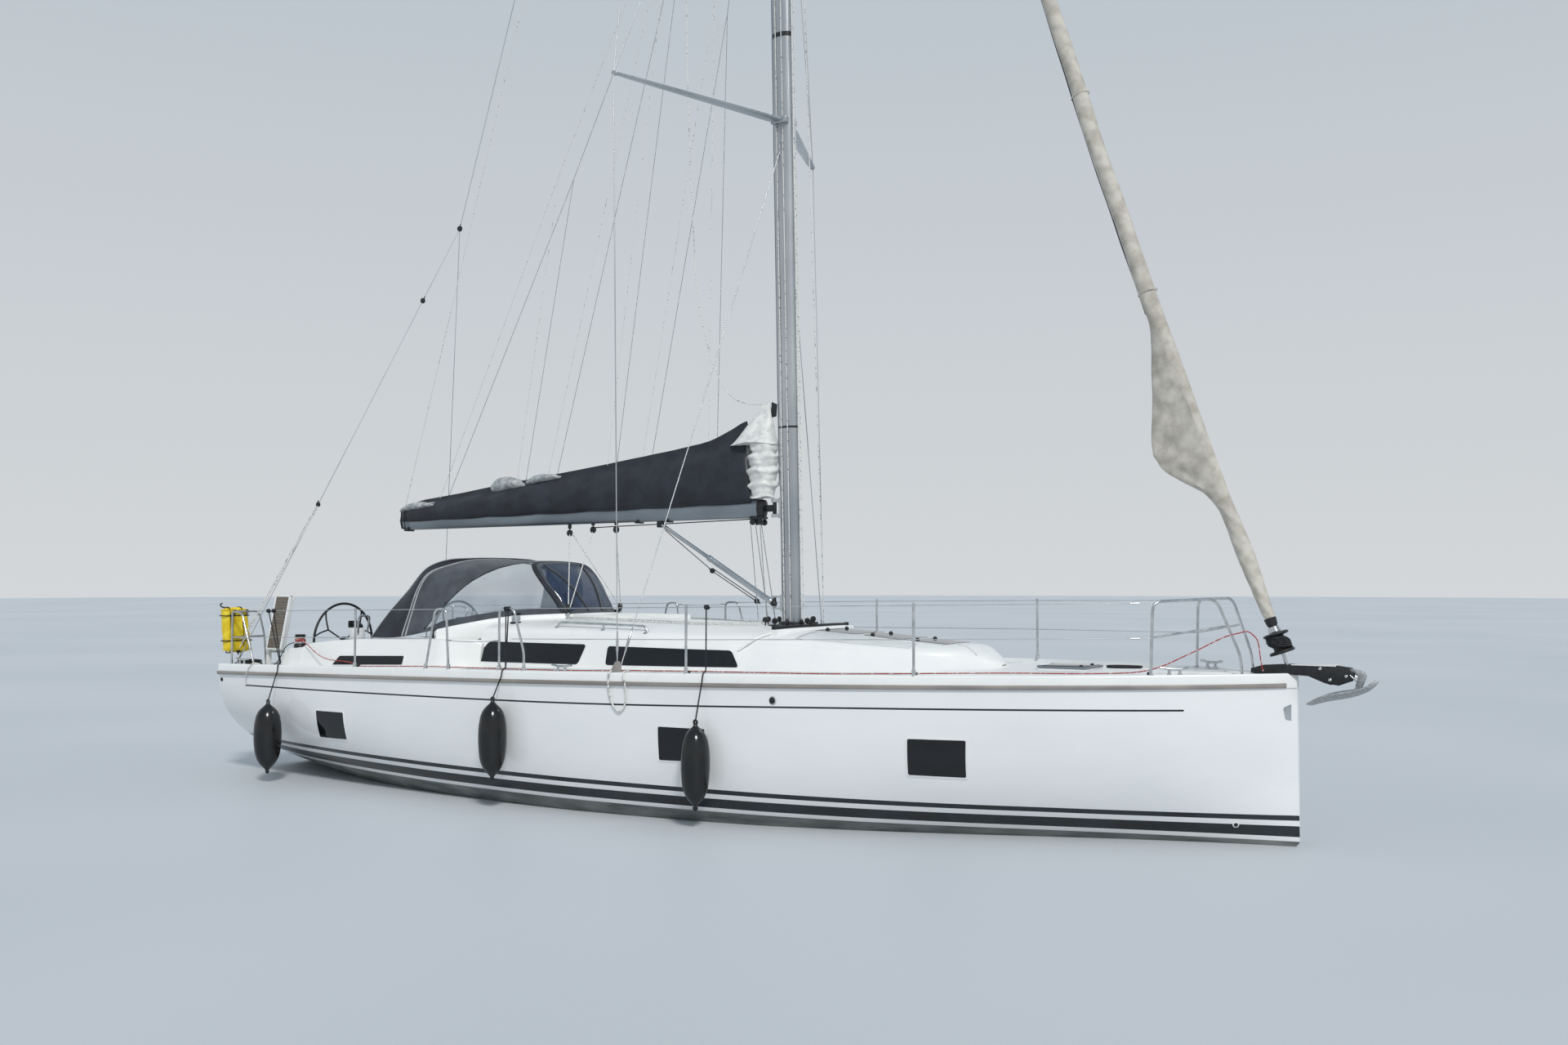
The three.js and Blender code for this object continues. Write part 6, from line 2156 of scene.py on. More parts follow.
for t in (0.2, 0.4, 0.6, 0.8):
    line = []
    for v, (high, low) in enumerate(zip(HOOD_LINES[4], HOOD_FRONT)):
        x, y, z = between(high, low, t)
        swell = math.sin(math.pi * t) * (v / 6) ** 0.7
        line.append((x + 0.05 * swell, y, z + 0.08 * swell))
    HOOD_LINES.append(line)
HOOD_LINES.append(HOOD_FRONT)
MAIN_BOW, FORWARD_BOW, LAST = 1, 4, len(HOOD_LINES) - 1
hood_table = [(u, tuple(c for p in line for c in p)) for u, line in enumerate(HOOD_LINES)]


def hood(u, v, lift=0.0):
    """A point of the hood. u counts the lines; v is 0 and 2 at the feet and 1 amidships."""
    side = -1 if v <= 1 else 1
    share = v if v <= 1 else 2 - v
    flat = flowing(hood_table, u)
    line = [(k / 6, flat[3 * k : 3 * k + 3]) for k in range(7)]
    line.append((7 / 6, (line[5][1][0], -line[5][1][1], line[5][1][2])))
    x, y, z = flowing(line, share)
    at = Vector((x, side * y, z))
    if not lift:
        return tuple(at)
    along_u = Vector(hood(min(u + 0.05, LAST), v)) - Vector(hood(max(u - 0.05, 0), v))
    along_v = Vector(hood(u, min(v + 0.02, 2))) - Vector(hood(u, max(v - 0.02, 0)))
    out = along_v.cross(along_u).normalized()
    if out.z * 0.6 - side * -out.y < 0:
        out = -out
    return tuple(at + out * lift)

# %% [markdown]
# The seams were read off the photograph in pixels. Each seam point is found on the
# surface where the camera sees it, so the windows get the right outline whatever the
# surface does. The camera's picture of a point is a plain division by its distance.

# %% Find a seam on the hood
PHOTO = (1920, 1279)
look = camera.rotation_euler.to_matrix().transposed()
focus = LENS_MM / 36 * PHOTO[0]


def pictured(point):
    """The photograph's pixel where the camera sees a point."""
    x, y, z = look @ (Vector(point) - Vector(CAMERA_AT))
    return PHOTO[0] / 2 + focus * x / -z, PHOTO[1] / 2 - focus * y / -z


hood_seen = [
    (u / 12, v / 80, *pictured(hood(u / 12, v / 80)))
    for u in range(12, 12 * FORWARD_BOW + 4)
    for v in range(0, 70)
]


def on_hood(px, py):
    """The place (u, v) on the hood that the camera sees at a pixel."""
    near = min(hood_seen, key=lambda one: (one[2] - px) ** 2 + (one[3] - py) ** 2)
    return near[0], near[1]


ARC_PIXELS = [(519, 770), (532, 752), (546, 738), (562, 724), (579, 711), (595, 702), (611, 696),
              (629, 691), (644, 689)]
arc_line = sorted(on_hood(*p) for p in ARC_PIXELS)
print("window arc on the hood:", [(round(u, 2), round(v, 2)) for u, v in arc_line])

# %% [markdown]
# Every panel of the hood is a patch of that one surface between two seams, so
# neighbours meet without a gap. Canvas is doubled at the seams and the windows are
# sewn in under it, so windows lie two millimetres lower than canvas.

# %% Panels
ARC_SEAM = arc_line[:1] + arc_line[2:] + [(FORWARD_BOW, 0.745)]
BAND_SEAM = ARC_SEAM[:1] + [
    (u, 0.075 - 0.004 * (u - 2)) for u in (1.75, 2.1, 2.6, 3.1, 3.6, FORWARD_BOW)
]


def panel(name, u_from, u_to, low, high, u_steps, v_steps, lift=0.0):
    """A patch of the hood: `low` and `high` give its edges in v for each u."""
    rows = []
    for u in spaced(u_from, u_to, u_steps):
        rows.append([hood(u, v, lift) for v in spaced(low(u), high(u), v_steps)])
    return skin(name, rows)


def fixed(value):
    """The same edge for every u."""
    return lambda u: value


def cloth_of(name, parts, thick, finish):
    """Joins panels into one sheet with a thickness."""
    piece = joined(name, parts)
    choose(piece)
    edit_all()
    bpy.ops.mesh.remove_doubles(threshold=0.0004)
    edited()
    area = sum(face.area for face in piece.data.polygons)
    thickened(piece, thick)
    soften(piece, 40)
    rides(piece, finish)
    return piece, area


window_from = ARC_SEAM[0][0]
arc = lambda u: along(ARC_SEAM, u)
band = lambda u: along(BAND_SEAM, u)
grey_parts = [
    panel("hood_roof", MAIN_BOW, window_from, fixed(0.0), fixed(1.0), 8, 40),
    panel("hood_over_window", window_from, FORWARD_BOW, arc, fixed(1.0), 40, 24),
    panel("hood_band", window_from, FORWARD_BOW, fixed(0.0), band, 40, 4),
    panel("hood_brow", FORWARD_BOW, FORWARD_BOW + 0.42, fixed(0.16), fixed(1.0), 5, 32),
    panel("hood_foot_band", LAST - 0.5, LAST, fixed(0.0), fixed(1.0), 4, 24),
    panel("hood_corner", FORWARD_BOW, LAST - 0.5, fixed(0.0), fixed(0.16), 12, 5),
]
dark_parts = [panel("hood_wing", 0, MAIN_BOW, fixed(0.0), fixed(1.0), 10, 40)]
clear_parts = [panel("hood_side_window", window_from, FORWARD_BOW, band, arc, 40, 20, -0.002)]
front_parts = [
    panel("hood_front_side", FORWARD_BOW + 0.42, LAST - 0.5, fixed(0.16), fixed(0.74), 14, 20, -0.002),
    panel("hood_front_middle", FORWARD_BOW + 0.42, LAST - 0.5, fixed(0.78), fixed(1.0), 14, 10, -0.002),
]
hood_sheets = {}
for name, parts, thick, finish in (
    ("hood_canvas", grey_parts, 0.0035, hood_canvas),
    ("hood_wings", dark_parts, 0.0035, navy_canvas),
    ("hood_side_windows", clear_parts, 0.001, clear_vinyl),
    ("hood_front_windows", front_parts, 0.001, tinted_vinyl),
):
    both = parts + [mirrored(part, part.name + "_port") for part in parts]
    piece, area = cloth_of(name, both, thick, finish)
    hood_sheets[name] = (piece, area)
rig.replaces(hood_sheets["hood_canvas"][0], "sprayhood")
print("cloth areas:", {name: round(area, 2) for name, (_, area) in hood_sheets.items()})

# %% [markdown]
# Tape covers the seams. The diagonal one over the forward bow and the divider of the
# front are dark, the pair over the main bow is pale piping, and they stand a few
# millimetres proud of the cloth.

# %% Tapes and piping
TAPE_THICK = 0.002


def tape(name, line, width, lift=0.0025):
    """A tape along a line of (u, v) places, lying on the hood."""
    rows = []
    for i, (u, v) in enumerate(line):
        here = Vector(hood(u, v, lift))
        before = Vector(hood(*line[max(i - 1, 0)], lift))
        after = Vector(hood(*line[min(i + 1, len(line) - 1)], lift))
        out = (Vector(hood(u, v, 0.05)) - Vector(hood(u, v, 0.001))).normalized()
        across = (after - before).normalized().cross(out)
        rows.append([tuple(here + across * width * s - out * 0.003 * abs(s)) for s in (-0.5, 0, 0.5)])
    piece = skin(name, rows)
    return thickened(piece, TAPE_THICK)


def line_v(u, start, end):
    """Places along one of the hood's lines."""
    return [(u, v) for v in spaced(start, end, 90)]


dark_tapes = [
    tape("bow_tape", line_v(FORWARD_BOW, 0.01, 1.99), 0.055),
    tape("arc_tape", ARC_SEAM, 0.022),
    tape("arc_tape_port", [(u, 2 - v) for u, v in ARC_SEAM], 0.022),
]
for v in (0.76, 1.24):
    dark_tapes.append(
        tape("front_tape", [(u, v) for u in spaced(FORWARD_BOW + 0.3, LAST - 0.2, 20)], 0.05)
    )
rides(joined("hood_tapes", dark_tapes), navy_canvas)
pale = [tape("piping", line_v(MAIN_BOW + du, 0.005, 1.995), 0.016, 0.004) for du in (-0.03, 0.055)]
pale.append(tape("edge_piping", line_v(0.03, 0.005, 1.995), 0.012, 0.003))
rides(joined("hood_piping", pale), piping_cloth)

# %% [markdown]
# The bows are stainless tube, bent to the same lines a finger's breadth inside the
# cloth, and they pivot on the coaming.

# %% Bows and the moulding under the hood
bows = []
for u, inset in ((0.06, -0.02), (MAIN_BOW, -0.02), (FORWARD_BOW, -0.02)):
    bows.append([hood(u, 0.02 + 1.96 * k / 60, inset) for k in range(61)])
rides(tube("hood_bows", bows, 0.0125), stainless)

foot_line = [hood(u / 6, 0.0) for u in range(10, 6 * FORWARD_BOW + 1)]
foot_line += [hood(LAST, v / 12) for v in range(1, 25)]
foot_line += [(x, -y, z) for x, y, z in foot_line[6 * FORWARD_BOW - 10 :: -1]]
ridge_rows = []
for i, point in enumerate(foot_line):
    x, y, z = point
    before = Vector(foot_line[max(i - 1, 0)])
    after = Vector(foot_line[min(i + 1, len(foot_line) - 1)])
    run = after - before
    out = Vector((run.y, -run.x, 0)).normalized()
    if out.dot(Vector((x + 2.6, y, 0))) < 0:
        out = -out
    row = []
    for away, down in ((0.05, 0.2), (0.03, 0.05), (0.018, 0.012), (0.008, 0.0), (-0.02, 0.0),
                       (-0.034, 0.012), (-0.04, 0.05), (-0.05, 0.2)):
        row.append((x + out.x * away, y + out.y * away, max(z - down, 1.52)))
    ridge_rows.append(row + row[:1])
ridge = skin("hood_ridge", ridge_rows, True, True)
rides(ridge, deck_gelcoat)

for name, (piece, area) in hood_sheets.items():
    length, width = {
        "hood_canvas": (3.9, 2.2), "hood_wings": (3.9, 0.6),
        "hood_side_windows": (3.6, 0.8), "hood_front_windows": (2.0, 0.9),
    }[name]
    if area > length * width:
        width = area / length
    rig.sheet(
        piece, flat=(width, length), held="stretched", rests_on=["hood_bows"],
        area=max(area, 0.3 * width * length),
    )
print("hood ridge rows:", len(ridge_rows))

# %% [markdown]
# ## Cockpit
# Twin wheels stand on narrow pedestals. Each wheel is a leather-covered rim, three
# spokes that fork before the rim, and a hub. The starboard one is modelled and mirrored.

# %% Wheels and pedestals
WHEEL_AT = (-4.89, -0.96, 1.56)
RIM = 0.445
PEDESTAL_Y = -0.9


def on_wheel(turn_deg, radius):
    """A point in the wheel's plane."""
    a = math.radians(turn_deg)
    return (WHEEL_AT[0], WHEEL_AT[1] + radius * math.cos(a), WHEEL_AT[2] + radius * math.sin(a))


spokes = []
for turn in (30, 150, 270):
    spokes.append([on_wheel(turn, r) for r in (0.02, 0.15, 0.28)])
    for lean in (-22, 22):
        spokes.append([on_wheel(turn + lean * t**0.8, between(0.27, RIM, t))
                       for t in (0, 0.12, 0.3, 0.6, 1)])
rim = tube("wheel_rim", [[on_wheel(k * 5, RIM) for k in range(72)]], 0.0145, 3, closed=True)
wheel_frame = [
    tube("wheel_spokes", spokes, 0.0095, 2),
    turned("wheel_hub", [(-0.002, 0.024), (0.002, 0.034), (0.012, 0.046), (0.02, 0.047), (0.052, 0.046),
                         (0.056, 0.03),
                         (0.079, 0.028)], (WHEEL_AT[0] - 0.024, WHEEL_AT[1], WHEEL_AT[2]), (1, 0, 0)),
]
stitches = [[on_wheel(k * 5 + 2.5, RIM - 0.0125), on_wheel(k * 5 + 4, RIM - 0.0145)] for k in range(72)]
starboard = [rim, tube("wheel_stitches", stitches, 0.0022, 1), joined("wheel_frame", wheel_frame)]
finishes = (black_leather, piping_cloth, black_nylon)
for piece, finish in zip(starboard, finishes):
    twin = mirrored(piece, piece.name + "_port")
    rides(piece, finish, "wheel_starboard")
    rides(twin, finish, "wheel_port")
    if piece is rim:
        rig.replaces(piece, "wheel_starboard")
        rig.replaces(twin, "wheel_port")

pedestal_rows = []
for z, fore, wide in ((0.822, 0.152, 0.122), (0.85, 0.146, 0.116), (1.1, 0.126, 0.106),
                      (1.35, 0.11, 0.095), (1.6, 0.097, 0.089), (1.69, 0.09, 0.084),
                      (1.712, 0.08, 0.074), (1.72, 0.06, 0.055)):
    pedestal_rows.append(oval((-4.72, PEDESTAL_Y, z), fore, wide, 28))
shell = skin("pedestal_shell", pedestal_rows, True, True)
neck = turned("wheel_shaft", [(0, 0.03), (0.01, 0.04), (0.055, 0.04), (0.062, 0.03)],
              (-4.833, -0.96, 1.56), (1, 0, 0))
dials = [
    block("plotter", (-4.8, PEDESTAL_Y - 0.075, 1.716), (-4.782, PEDESTAL_Y + 0.075, 1.8), 0.008),
    turned("compass", [(0, 0.05), (0.012, 0.056), (0.03, 0.052), (0.05, 0.036), (0.06, 0.016)],
           (-4.7, PEDESTAL_Y, 1.716)),
    tube("pedestal_guard", [rounded([
        (-4.63, PEDESTAL_Y - 0.07, 1.66), (-4.6, PEDESTAL_Y - 0.09, 1.86),
        (-4.6, PEDESTAL_Y + 0.09, 1.86),
        (-4.63, PEDESTAL_Y + 0.07, 1.66)], 0.05)], 0.0125, 3),
]
dial_piece = joined("pedestal_dials", dials[:2])
for side, hand in HANDS:
    shell_piece = shell if side < 0 else mirrored(shell, "pedestal_shell_port")
    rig.replaces(rides(shell_piece, hull_gelcoat), "pedestal_" + hand)
for piece, finish in ((neck, stainless), (dial_piece, black_nylon), (dials[2], stainless)):
    rides(mirrored(piece, piece.name + "_port"), finish)
    rides(piece, finish)

# %% [markdown]
# A winch is a stack of turned parts: a black base and skirt, a polished drum, and the
# self-tailing jaws on top with their socket. All four share one profile at two sizes.

# %% Winches
WINCHES = {
    "winch_roof_starboard": ((-2.18, -0.9, 1.7905), 0.85),
    "winch_roof_port": ((-2.18, 0.9, 1.7905), 0.85),
    "winch_coaming_starboard": ((-4.99, -1.521, 1.5045), 0.9),
    "winch_coaming_port": ((-4.99, 1.521, 1.5045), 0.9),
}
SKIRT = [(0, 0.074), (0.004, 0.084), (0.012, 0.084), (0.02, 0.076), (0.04, 0.073), (0.046, 0.06)]
DRUM = [(0.044, 0.058), (0.06, 0.0545), (0.09, 0.054), (0.115, 0.0565), (0.126, 0.062), (0.13, 0.062)]
JAWS = [(0.13, 0.05), (0.132, 0.073), (0.138, 0.076), (0.143, 0.06), (0.149, 0.06), (0.154, 0.074),
        (0.16, 0.072), (0.165, 0.045), (0.1655, 0.02), (0.16, 0.016)]
for node, (at, size) in WINCHES.items():
    for part, profile, finish in (("skirt", SKIRT, black_nylon), ("drum", DRUM, stainless),
                                  ("jaws", JAWS, black_nylon)):
        piece = turned(node + "_" + part, [(h * size, r * size) for h, r in profile], at, sides=32)
        if part == "drum":
            ribs = [
                turned("rib", [(0.06, 0.0025), (0.118, 0.0035)],
                       (at[0] + 0.0535 * size * math.cos(a), at[1] + 0.0535 * size * math.sin(a),
                        at[2] - 0.006), sides=6)
                for a in around(18)
            ]
            piece = joined(node + "_drum", [piece, *ribs])
            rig.replaces(piece, node)
        rides(piece, finish)

# %% [markdown]
# The cockpit's teak is laid as thin panels on the sole, the seats and the helm floor.
# The table's leaves hang down on both sides of its pillar box.

# %% Teak, table and seats
planks = [
    ("sole", (-4.3, -0.37, 0.8195), (-2.62, 0.37, 0.8285)),
    ("helm_floor", (-5.82, -1.38, 0.8195), (-4.52, 1.38, 0.8285)),
    ("seat_starboard", (-4.3, -1.17, 1.2095), (-2.62, -0.47, 1.2185)),
    ("seat_port", (-4.3, 0.47, 1.2095), (-2.62, 1.17, 1.2185)),
]
for name, low, high in planks:
    rides(block("teak_" + name, low, high, 0.003), teak_along)
table = [
    block("table_box", (-4.05, -0.052, 1.18), (-3.15, 0.052, 1.571), 0.012, 3),
    block("table_leg", (-4.0, -0.04, 0.8295), (-3.86, 0.04, 1.185), 0.01),
    block("table_leg", (-3.34, -0.04, 0.8295), (-3.2, 0.04, 1.185), 0.01),
]
rides(joined("table_frame", table), hull_gelcoat)
boards = [block("table_top", (-4.07, -0.086, 1.572), (-3.13, 0.086, 1.622), 0.008, 3)]
boards += [block("table_leaf", (-4.04, min(y, y * 1.26), 1.25), (-3.16, max(y, y * 1.26), 1.569), 0.006,
                 3) for y in (-0.068, 0.068)]
boards = joined("table_boards", boards)
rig.replaces(rides(boards, teak_along), "cockpit_table")
hinge_line = [[(-4.0 + k * 0.2, s * 0.083, 1.569), (-3.94 + k * 0.2, s * 0.083, 1.569)]
              for k in range(5) for s in (-1, 1)]
rides(tube("table_hinges", hinge_line, 0.006, 2), stainless)

# %% [markdown]
# A helm seat is a white moulded tray with weathered teak slats, hinged on a steel pin
# at the deck's inner edge. The port one is down. The starboard one stands up and leans
# inboard a little, so it is made flat like the other and turned about its pin.

# %% Helm seats
PIN_X, PIN_Y, PIN_Z = -5.439, 1.465, 1.43
SEAT_LEAN_DEG = 12


def helm_seat(hand):
    """Tray, slats and hinge of a seat that lies flat on the port side."""
    low, high = 1.4405, 1.5235
    tray = block("seat_tray", (-5.57, 0.791, low), (-5.308, 1.457, high - 0.012), 0.02, 3)
    rim = []
    for a, b in (((-5.57, 0.791), (-5.55, 1.457)), ((-5.328, 0.791), (-5.308, 1.457)),
                 ((-5.57, 0.791), (-5.308, 0.813)), ((-5.57, 1.435), (-5.308, 1.457))):
        rim.append(block("seat_rim", (a[0], a[1], low + 0.03), (b[0], b[1], high), 0.008, 3))
    tray = joined("seat_tray_" + hand, [tray, *rim])
    slats = [block("slat", (-5.546, y, high - 0.016), (-5.332, y + 0.0305, high - 0.001), 0.0035)
             for y in (0.817 + 0.0363 * k for k in range(17))]
    slats = joined("seat_slats_" + hand, slats)
    hinge = [
        turned("seat_pin", [(-0.142, 0.008), (-0.14, 0.01), (0.14, 0.01), (0.142, 0.008)],
               (PIN_X, PIN_Y, PIN_Z), (1, 0, 0), 16),
        *[block("seat_strap", (x - 0.02, 1.425, 1.431), (x + 0.02, 1.471, 1.442), 0.004)
          for x in (-5.51, -5.37)],
    ]
    return tray, slats, joined("seat_hinge_" + hand, hinge)


for hand in ("port", "starboard"):
    pieces = helm_seat(hand)
    for piece, finish in zip(pieces, (hull_gelcoat, teak_slat_painted_shade, stainless)):
        if hand == "starboard":
            choose(piece)
            piece.scale = (1, -1, 1)
            settle(piece)
            edit_all()
            bpy.ops.mesh.normals_make_consistent(inside=False)
            bpy.ops.transform.rotate(
                value=-math.radians(90 - SEAT_LEAN_DEG), orient_axis="X",
                center_override=(PIN_X, -PIN_Y, PIN_Z)
            )
            bpy.ops.object.mode_set(mode="OBJECT")
            low_z = min(v.co.z for v in piece.data.vertices)
            print(piece.name, "from height", round(low_z, 3), "to",
                  round(max(v.co.z for v in piece.data.vertices), 3))
        rides(piece, finish, "helm_seat_" + hand)
    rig.replaces(pieces[0], "helm_seat_" + hand)

# %% [markdown]
# The companionway is closed by a smoked washboard under a sliding hatch, which has a
# white frame, a dark pane and a grab bar at its aft edge.

# %% Companionway
slide = [
    block("slide_frame", (-2.47, -0.3446, 1.8865), (-1.745, 0.3446, 1.908), 0.006),
    block("slide_lip", (-2.47, -0.328, 1.8625), (-2.441, 0.328, 1.89), 0.006),
]
slide = joined("slide_frame_white", slide)
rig.replaces(rides(slide, deck_gelcoat, "companion_slide"), "companion_slide")
rides(block("slide_pane", (-2.41, -0.29, 1.9), (-1.8, 0.29, 1.9105), 0.003), smoked_acrylic,
      "companion_slide")
rides(tube("slide_handle", [rounded([(-2.448, -0.09, 1.905), (-2.448, -0.09, 1.93),
                                     (-2.448, 0.09, 1.93), (-2.448, 0.09, 1.905)], 0.02)],
           0.007, 2), stainless, "companion_slide")
board = finished_copy("washboard", 0.004, 30)
rides(board, smoked_acrylic)
rides(block("board_vent", (-2.441, -0.11, 1.7), (-2.43, 0.11, 1.76), 0.004), stainless)

# %% [markdown]
# ## Rescue bag
# The yellow bag hangs on the pushpit. It is a soft, padded thing: a lofted shell whose
# sides swell between its seams. A short cloth simulation with a little pressure gives
# it the uneven fullness of a packed cover, and straps are laid round it afterwards.

# %% Rescue bag
BAG_AT = (-5.928, -1.698, 1.694)
BAG_SHAPE = [
    # height, (aft face, front face, outer edge, inner edge)
    (1.412, (-5.975, -5.892, 1.85, 1.48)), (1.45, (-5.988, -5.876, 1.866, 1.47)),
    (1.7, (-5.992, -5.867, 1.89, 1.51)), (1.94, (-5.988, -5.867, 1.906, 1.55)),
    (1.976, (-5.968, -5.884, 1.888, 1.568)),
]


def bag_ring(z, grow=0.0):
    """A level ring of the bag: boxy, and drawn in a little toward both ends."""
    aft, front, outer, inner = along(BAG_SHAPE, z)
    deep = (front - aft) / 2 - 0.006 + grow
    wide = (outer - inner) / 2 - 0.006 + grow
    row = []
    for a in around(44, True):
        c, s = math.cos(a), math.sin(a)
        x = (aft + front) / 2 + math.copysign(abs(c) ** 0.55, c) * deep
        y = -(outer + inner) / 2 + math.copysign(abs(s) ** 0.42, s) * wide
        row.append((x, y, z))
    return row


levels = [-0.278, -0.274, -0.265, -0.252] + spaced(-0.235, 0.235, 22) + [0.252, 0.265, 0.274, 0.278]
bag_rows = []
for up in levels:
    shrink = 1 - 0.45 * max(0.0, (abs(up) - 0.235) / 0.043) ** 2.2
    ring = bag_ring(BAG_AT[2] + up)
    middle = between(ring[0], ring[22], 0.5)
    bag_rows.append([between(middle, point, shrink) for point in ring])
bag = skin("rescue_bag_shell", bag_rows, True, True)
CLOTH_FRAMES, PRESSURE, FURTHEST = 20, 4, 0.009
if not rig.quick():
    modify(bag, "REMESH", mode="VOXEL", voxel_size=0.006)
    before = [v.co.copy() for v in bag.data.vertices]
    choose(bag)
    cloth = bag.modifiers.new("Cloth", "CLOTH")
    cloth.settings.use_pressure = True
    cloth.settings.uniform_pressure_force = PRESSURE
    cloth.settings.effector_weights.gravity = 0
    for moment in range(1, CLOTH_FRAMES + 1):
        bpy.context.scene.frame_set(moment)
    bpy.ops.object.modifier_apply(modifier="Cloth")
    bpy.context.scene.frame_set(1)
    for vertex, start in zip(bag.data.vertices, before):
        move = vertex.co - start
        if move.length > FURTHEST:
            vertex.co = start + move.normalized() * FURTHEST
    print("bag corners after the simulation:", len(bag.data.vertices))
for vertex in bag.data.vertices:
    x, y, z = vertex.co
    crease = ripple(y * 3, z * 9, 0.7) * 0.5 + ripple(z * 2.2, y * 30, 2.9) * 0.5
    vertex.co.x += 0.003 * crease
    vertex.co.y += 0.002 * ripple(z * 2.5, x * 20, 5.1)
soften(bag, 60)
rides(bag, rescue_cloth)
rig.replaces(bag, "rescue_bag")
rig.padded(bag, 0.75)
loops = [bag_ring(BAG_AT[2] + up, 0.009) for up in (-0.13, 0.17)]
for y in (-1.79, -1.62):
    lean = [(y - 0.02 * (z - 1.412) / 0.28, z) for z in (1.42, 1.55, 1.7, 1.85, 1.965)]
    aft = [(along(BAG_SHAPE, z)[0] - 0.002, across, z) for across, z in lean]
    front = [(along(BAG_SHAPE, z)[1] + 0.002, across, z) for across, z in lean[::-1]]
    loops.append(rounded(aft + front + aft[:1], 0.03, 3))
straps = tube("bag_straps", loops, 0.0065, 2)
rides(straps, black_nylon)
seams = [bag_ring(BAG_AT[2] + up, 0.004) for up in (-0.24, 0.24)]
rides(tube("bag_piping", seams, 0.0045, 2), rescue_cloth)
rail_z = sheer_height(-5.7) + 0.612
tabs = [tube("bag_tab", [rounded([(-5.872, y, 1.86), (-5.869, y, rail_z + 0.018),
                                  (-5.831, y, rail_z + 0.018), (-5.831, y, rail_z - 0.02),
                                  (-5.868, y, 1.868)], 0.012, 3)], 0.005, 2) for y in (-1.78, -1.6)]
tabs.append(tube("bag_hook", [rounded([(-5.92, -1.87, 1.962), (-5.92, -1.92, 1.975),
                                       (-5.92, -1.925, 2.005), (-5.92, -1.9, 2.012)], 0.015)], 0.008,
                 2))
rides(joined("bag_tabs", tabs), black_nylon)

# %% [markdown]
# ## Deck gear
# Rails, hatches, cleats and the mast's turning blocks are bolted to the deck. Each is
# set on the surface below it, whose height the functions above give.

# %% Handrails, plinth and track
def on_roof(x, y, up=0.0):
    """A point on the coachroof, or so far above it."""
    return (x, y, roof_top(x, y) + up)


for side, hand in HANDS:
    grab = [on_roof(-1.47, side * 1.03, 0.0), on_roof(-1.43, side * 1.03, 0.052),
            on_roof(-0.8, side * 1.02, 0.055),
            on_roof(-0.31, side * 1.0, 0.052), on_roof(-0.28, side * 1.0, 0.0)]
    rail = [tube("grab", [rounded(grab, 0.05)], 0.0125, 3)]
    for x in (-1.47, -0.84, -0.28):
        rail.append(turned("grab_foot", [(0, 0.024), (0.004, 0.026), (0.01, 0.018)],
                           on_roof(x, side * 1.03, -0.003), sides=16))
    rail.append(tube("grab_leg", [[on_roof(-0.84, side * 1.022, 0.0),
                                   on_roof(-0.84, side * 1.022, 0.054)]], 0.01, 2))
    rides(joined("handrail_" + hand, rail), stainless)
    slant = [(0.87, side * (roof_side(0.87, 1.6) + 0.012), 1.6), (1.0, side * 0.97, 1.7),
             on_roof(1.08, side * 0.86, 0.02),
             on_roof(1.1, side * 0.78, 0.012)]
    rides(tube("roof_strap_" + hand, [rounded(slant, 0.05)], 0.013, 3), deck_gelcoat)


def plinth_at(y):
    """Where the plinth's middle line runs, and its height."""
    x = 1.1 + 0.09 * (1 - (y / 0.8) ** 2)
    return x, between(1.8, roof_top(x, y), 0.3) + 0.014


def plinth_row(y):
    """A section of the track's plinth, which bows forward in the middle."""
    x, level = plinth_at(y)
    return [(x + across, y, z) for across, z in (
        (-0.085, roof_top(x - 0.085, y) - 0.01), (-0.075, level - 0.008), (-0.066, level),
        (0.066, level), (0.075, level - 0.008), (0.085, roof_top(x + 0.085, y) - 0.01),
        (-0.085, roof_top(x - 0.085, y) - 0.01))]


plinth_ys = [-0.79, -0.785] + spaced(-0.77, 0.77, 30) + [0.785, 0.79]
rides(skin("track_plinth", [plinth_row(y) for y in plinth_ys], True, True), deck_gelcoat)
track_rows = []
for y in spaced(-0.74, 0.74, 30):
    x, level = plinth_at(y)
    track_rows.append([(x + a, y, level + b) for a, b in (
        (-0.016, 0), (-0.016, 0.006), (-0.008, 0.008), (-0.008, 0.015), (-0.016, 0.017),
        (-0.016, 0.026), (0.016, 0.026), (0.016, 0.017), (0.008, 0.015), (0.008, 0.008),
        (0.016, 0.006), (0.016, 0),
        (-0.016, 0))])
rides(skin("jib_track", track_rows, True, True), black_nylon)
x, level = plinth_at(0.1)
car = [block("track_car", (x - 0.03, -0.16, level + 0.024), (x + 0.03, -0.04, level + 0.05), 0.008),
       *rope_block((x, -0.1, level + 0.08), (0, 0, -1), 0.03)]
x, level = plinth_at(0.745)
ends = [block("track_stop", (x - 0.024, s * 0.745 - 0.014, level - 0.002),
              (x + 0.024, s * 0.745 + 0.014, level + 0.034), 0.006)
        for s in (-1, 1)]
rides(joined("track_fittings", car + ends), black_nylon)

# %% [markdown]
# Round the mast's foot sit the turning blocks of the halyards. From them the lines run
# aft under the sprayhood, where a bank of clutches on each side holds them.

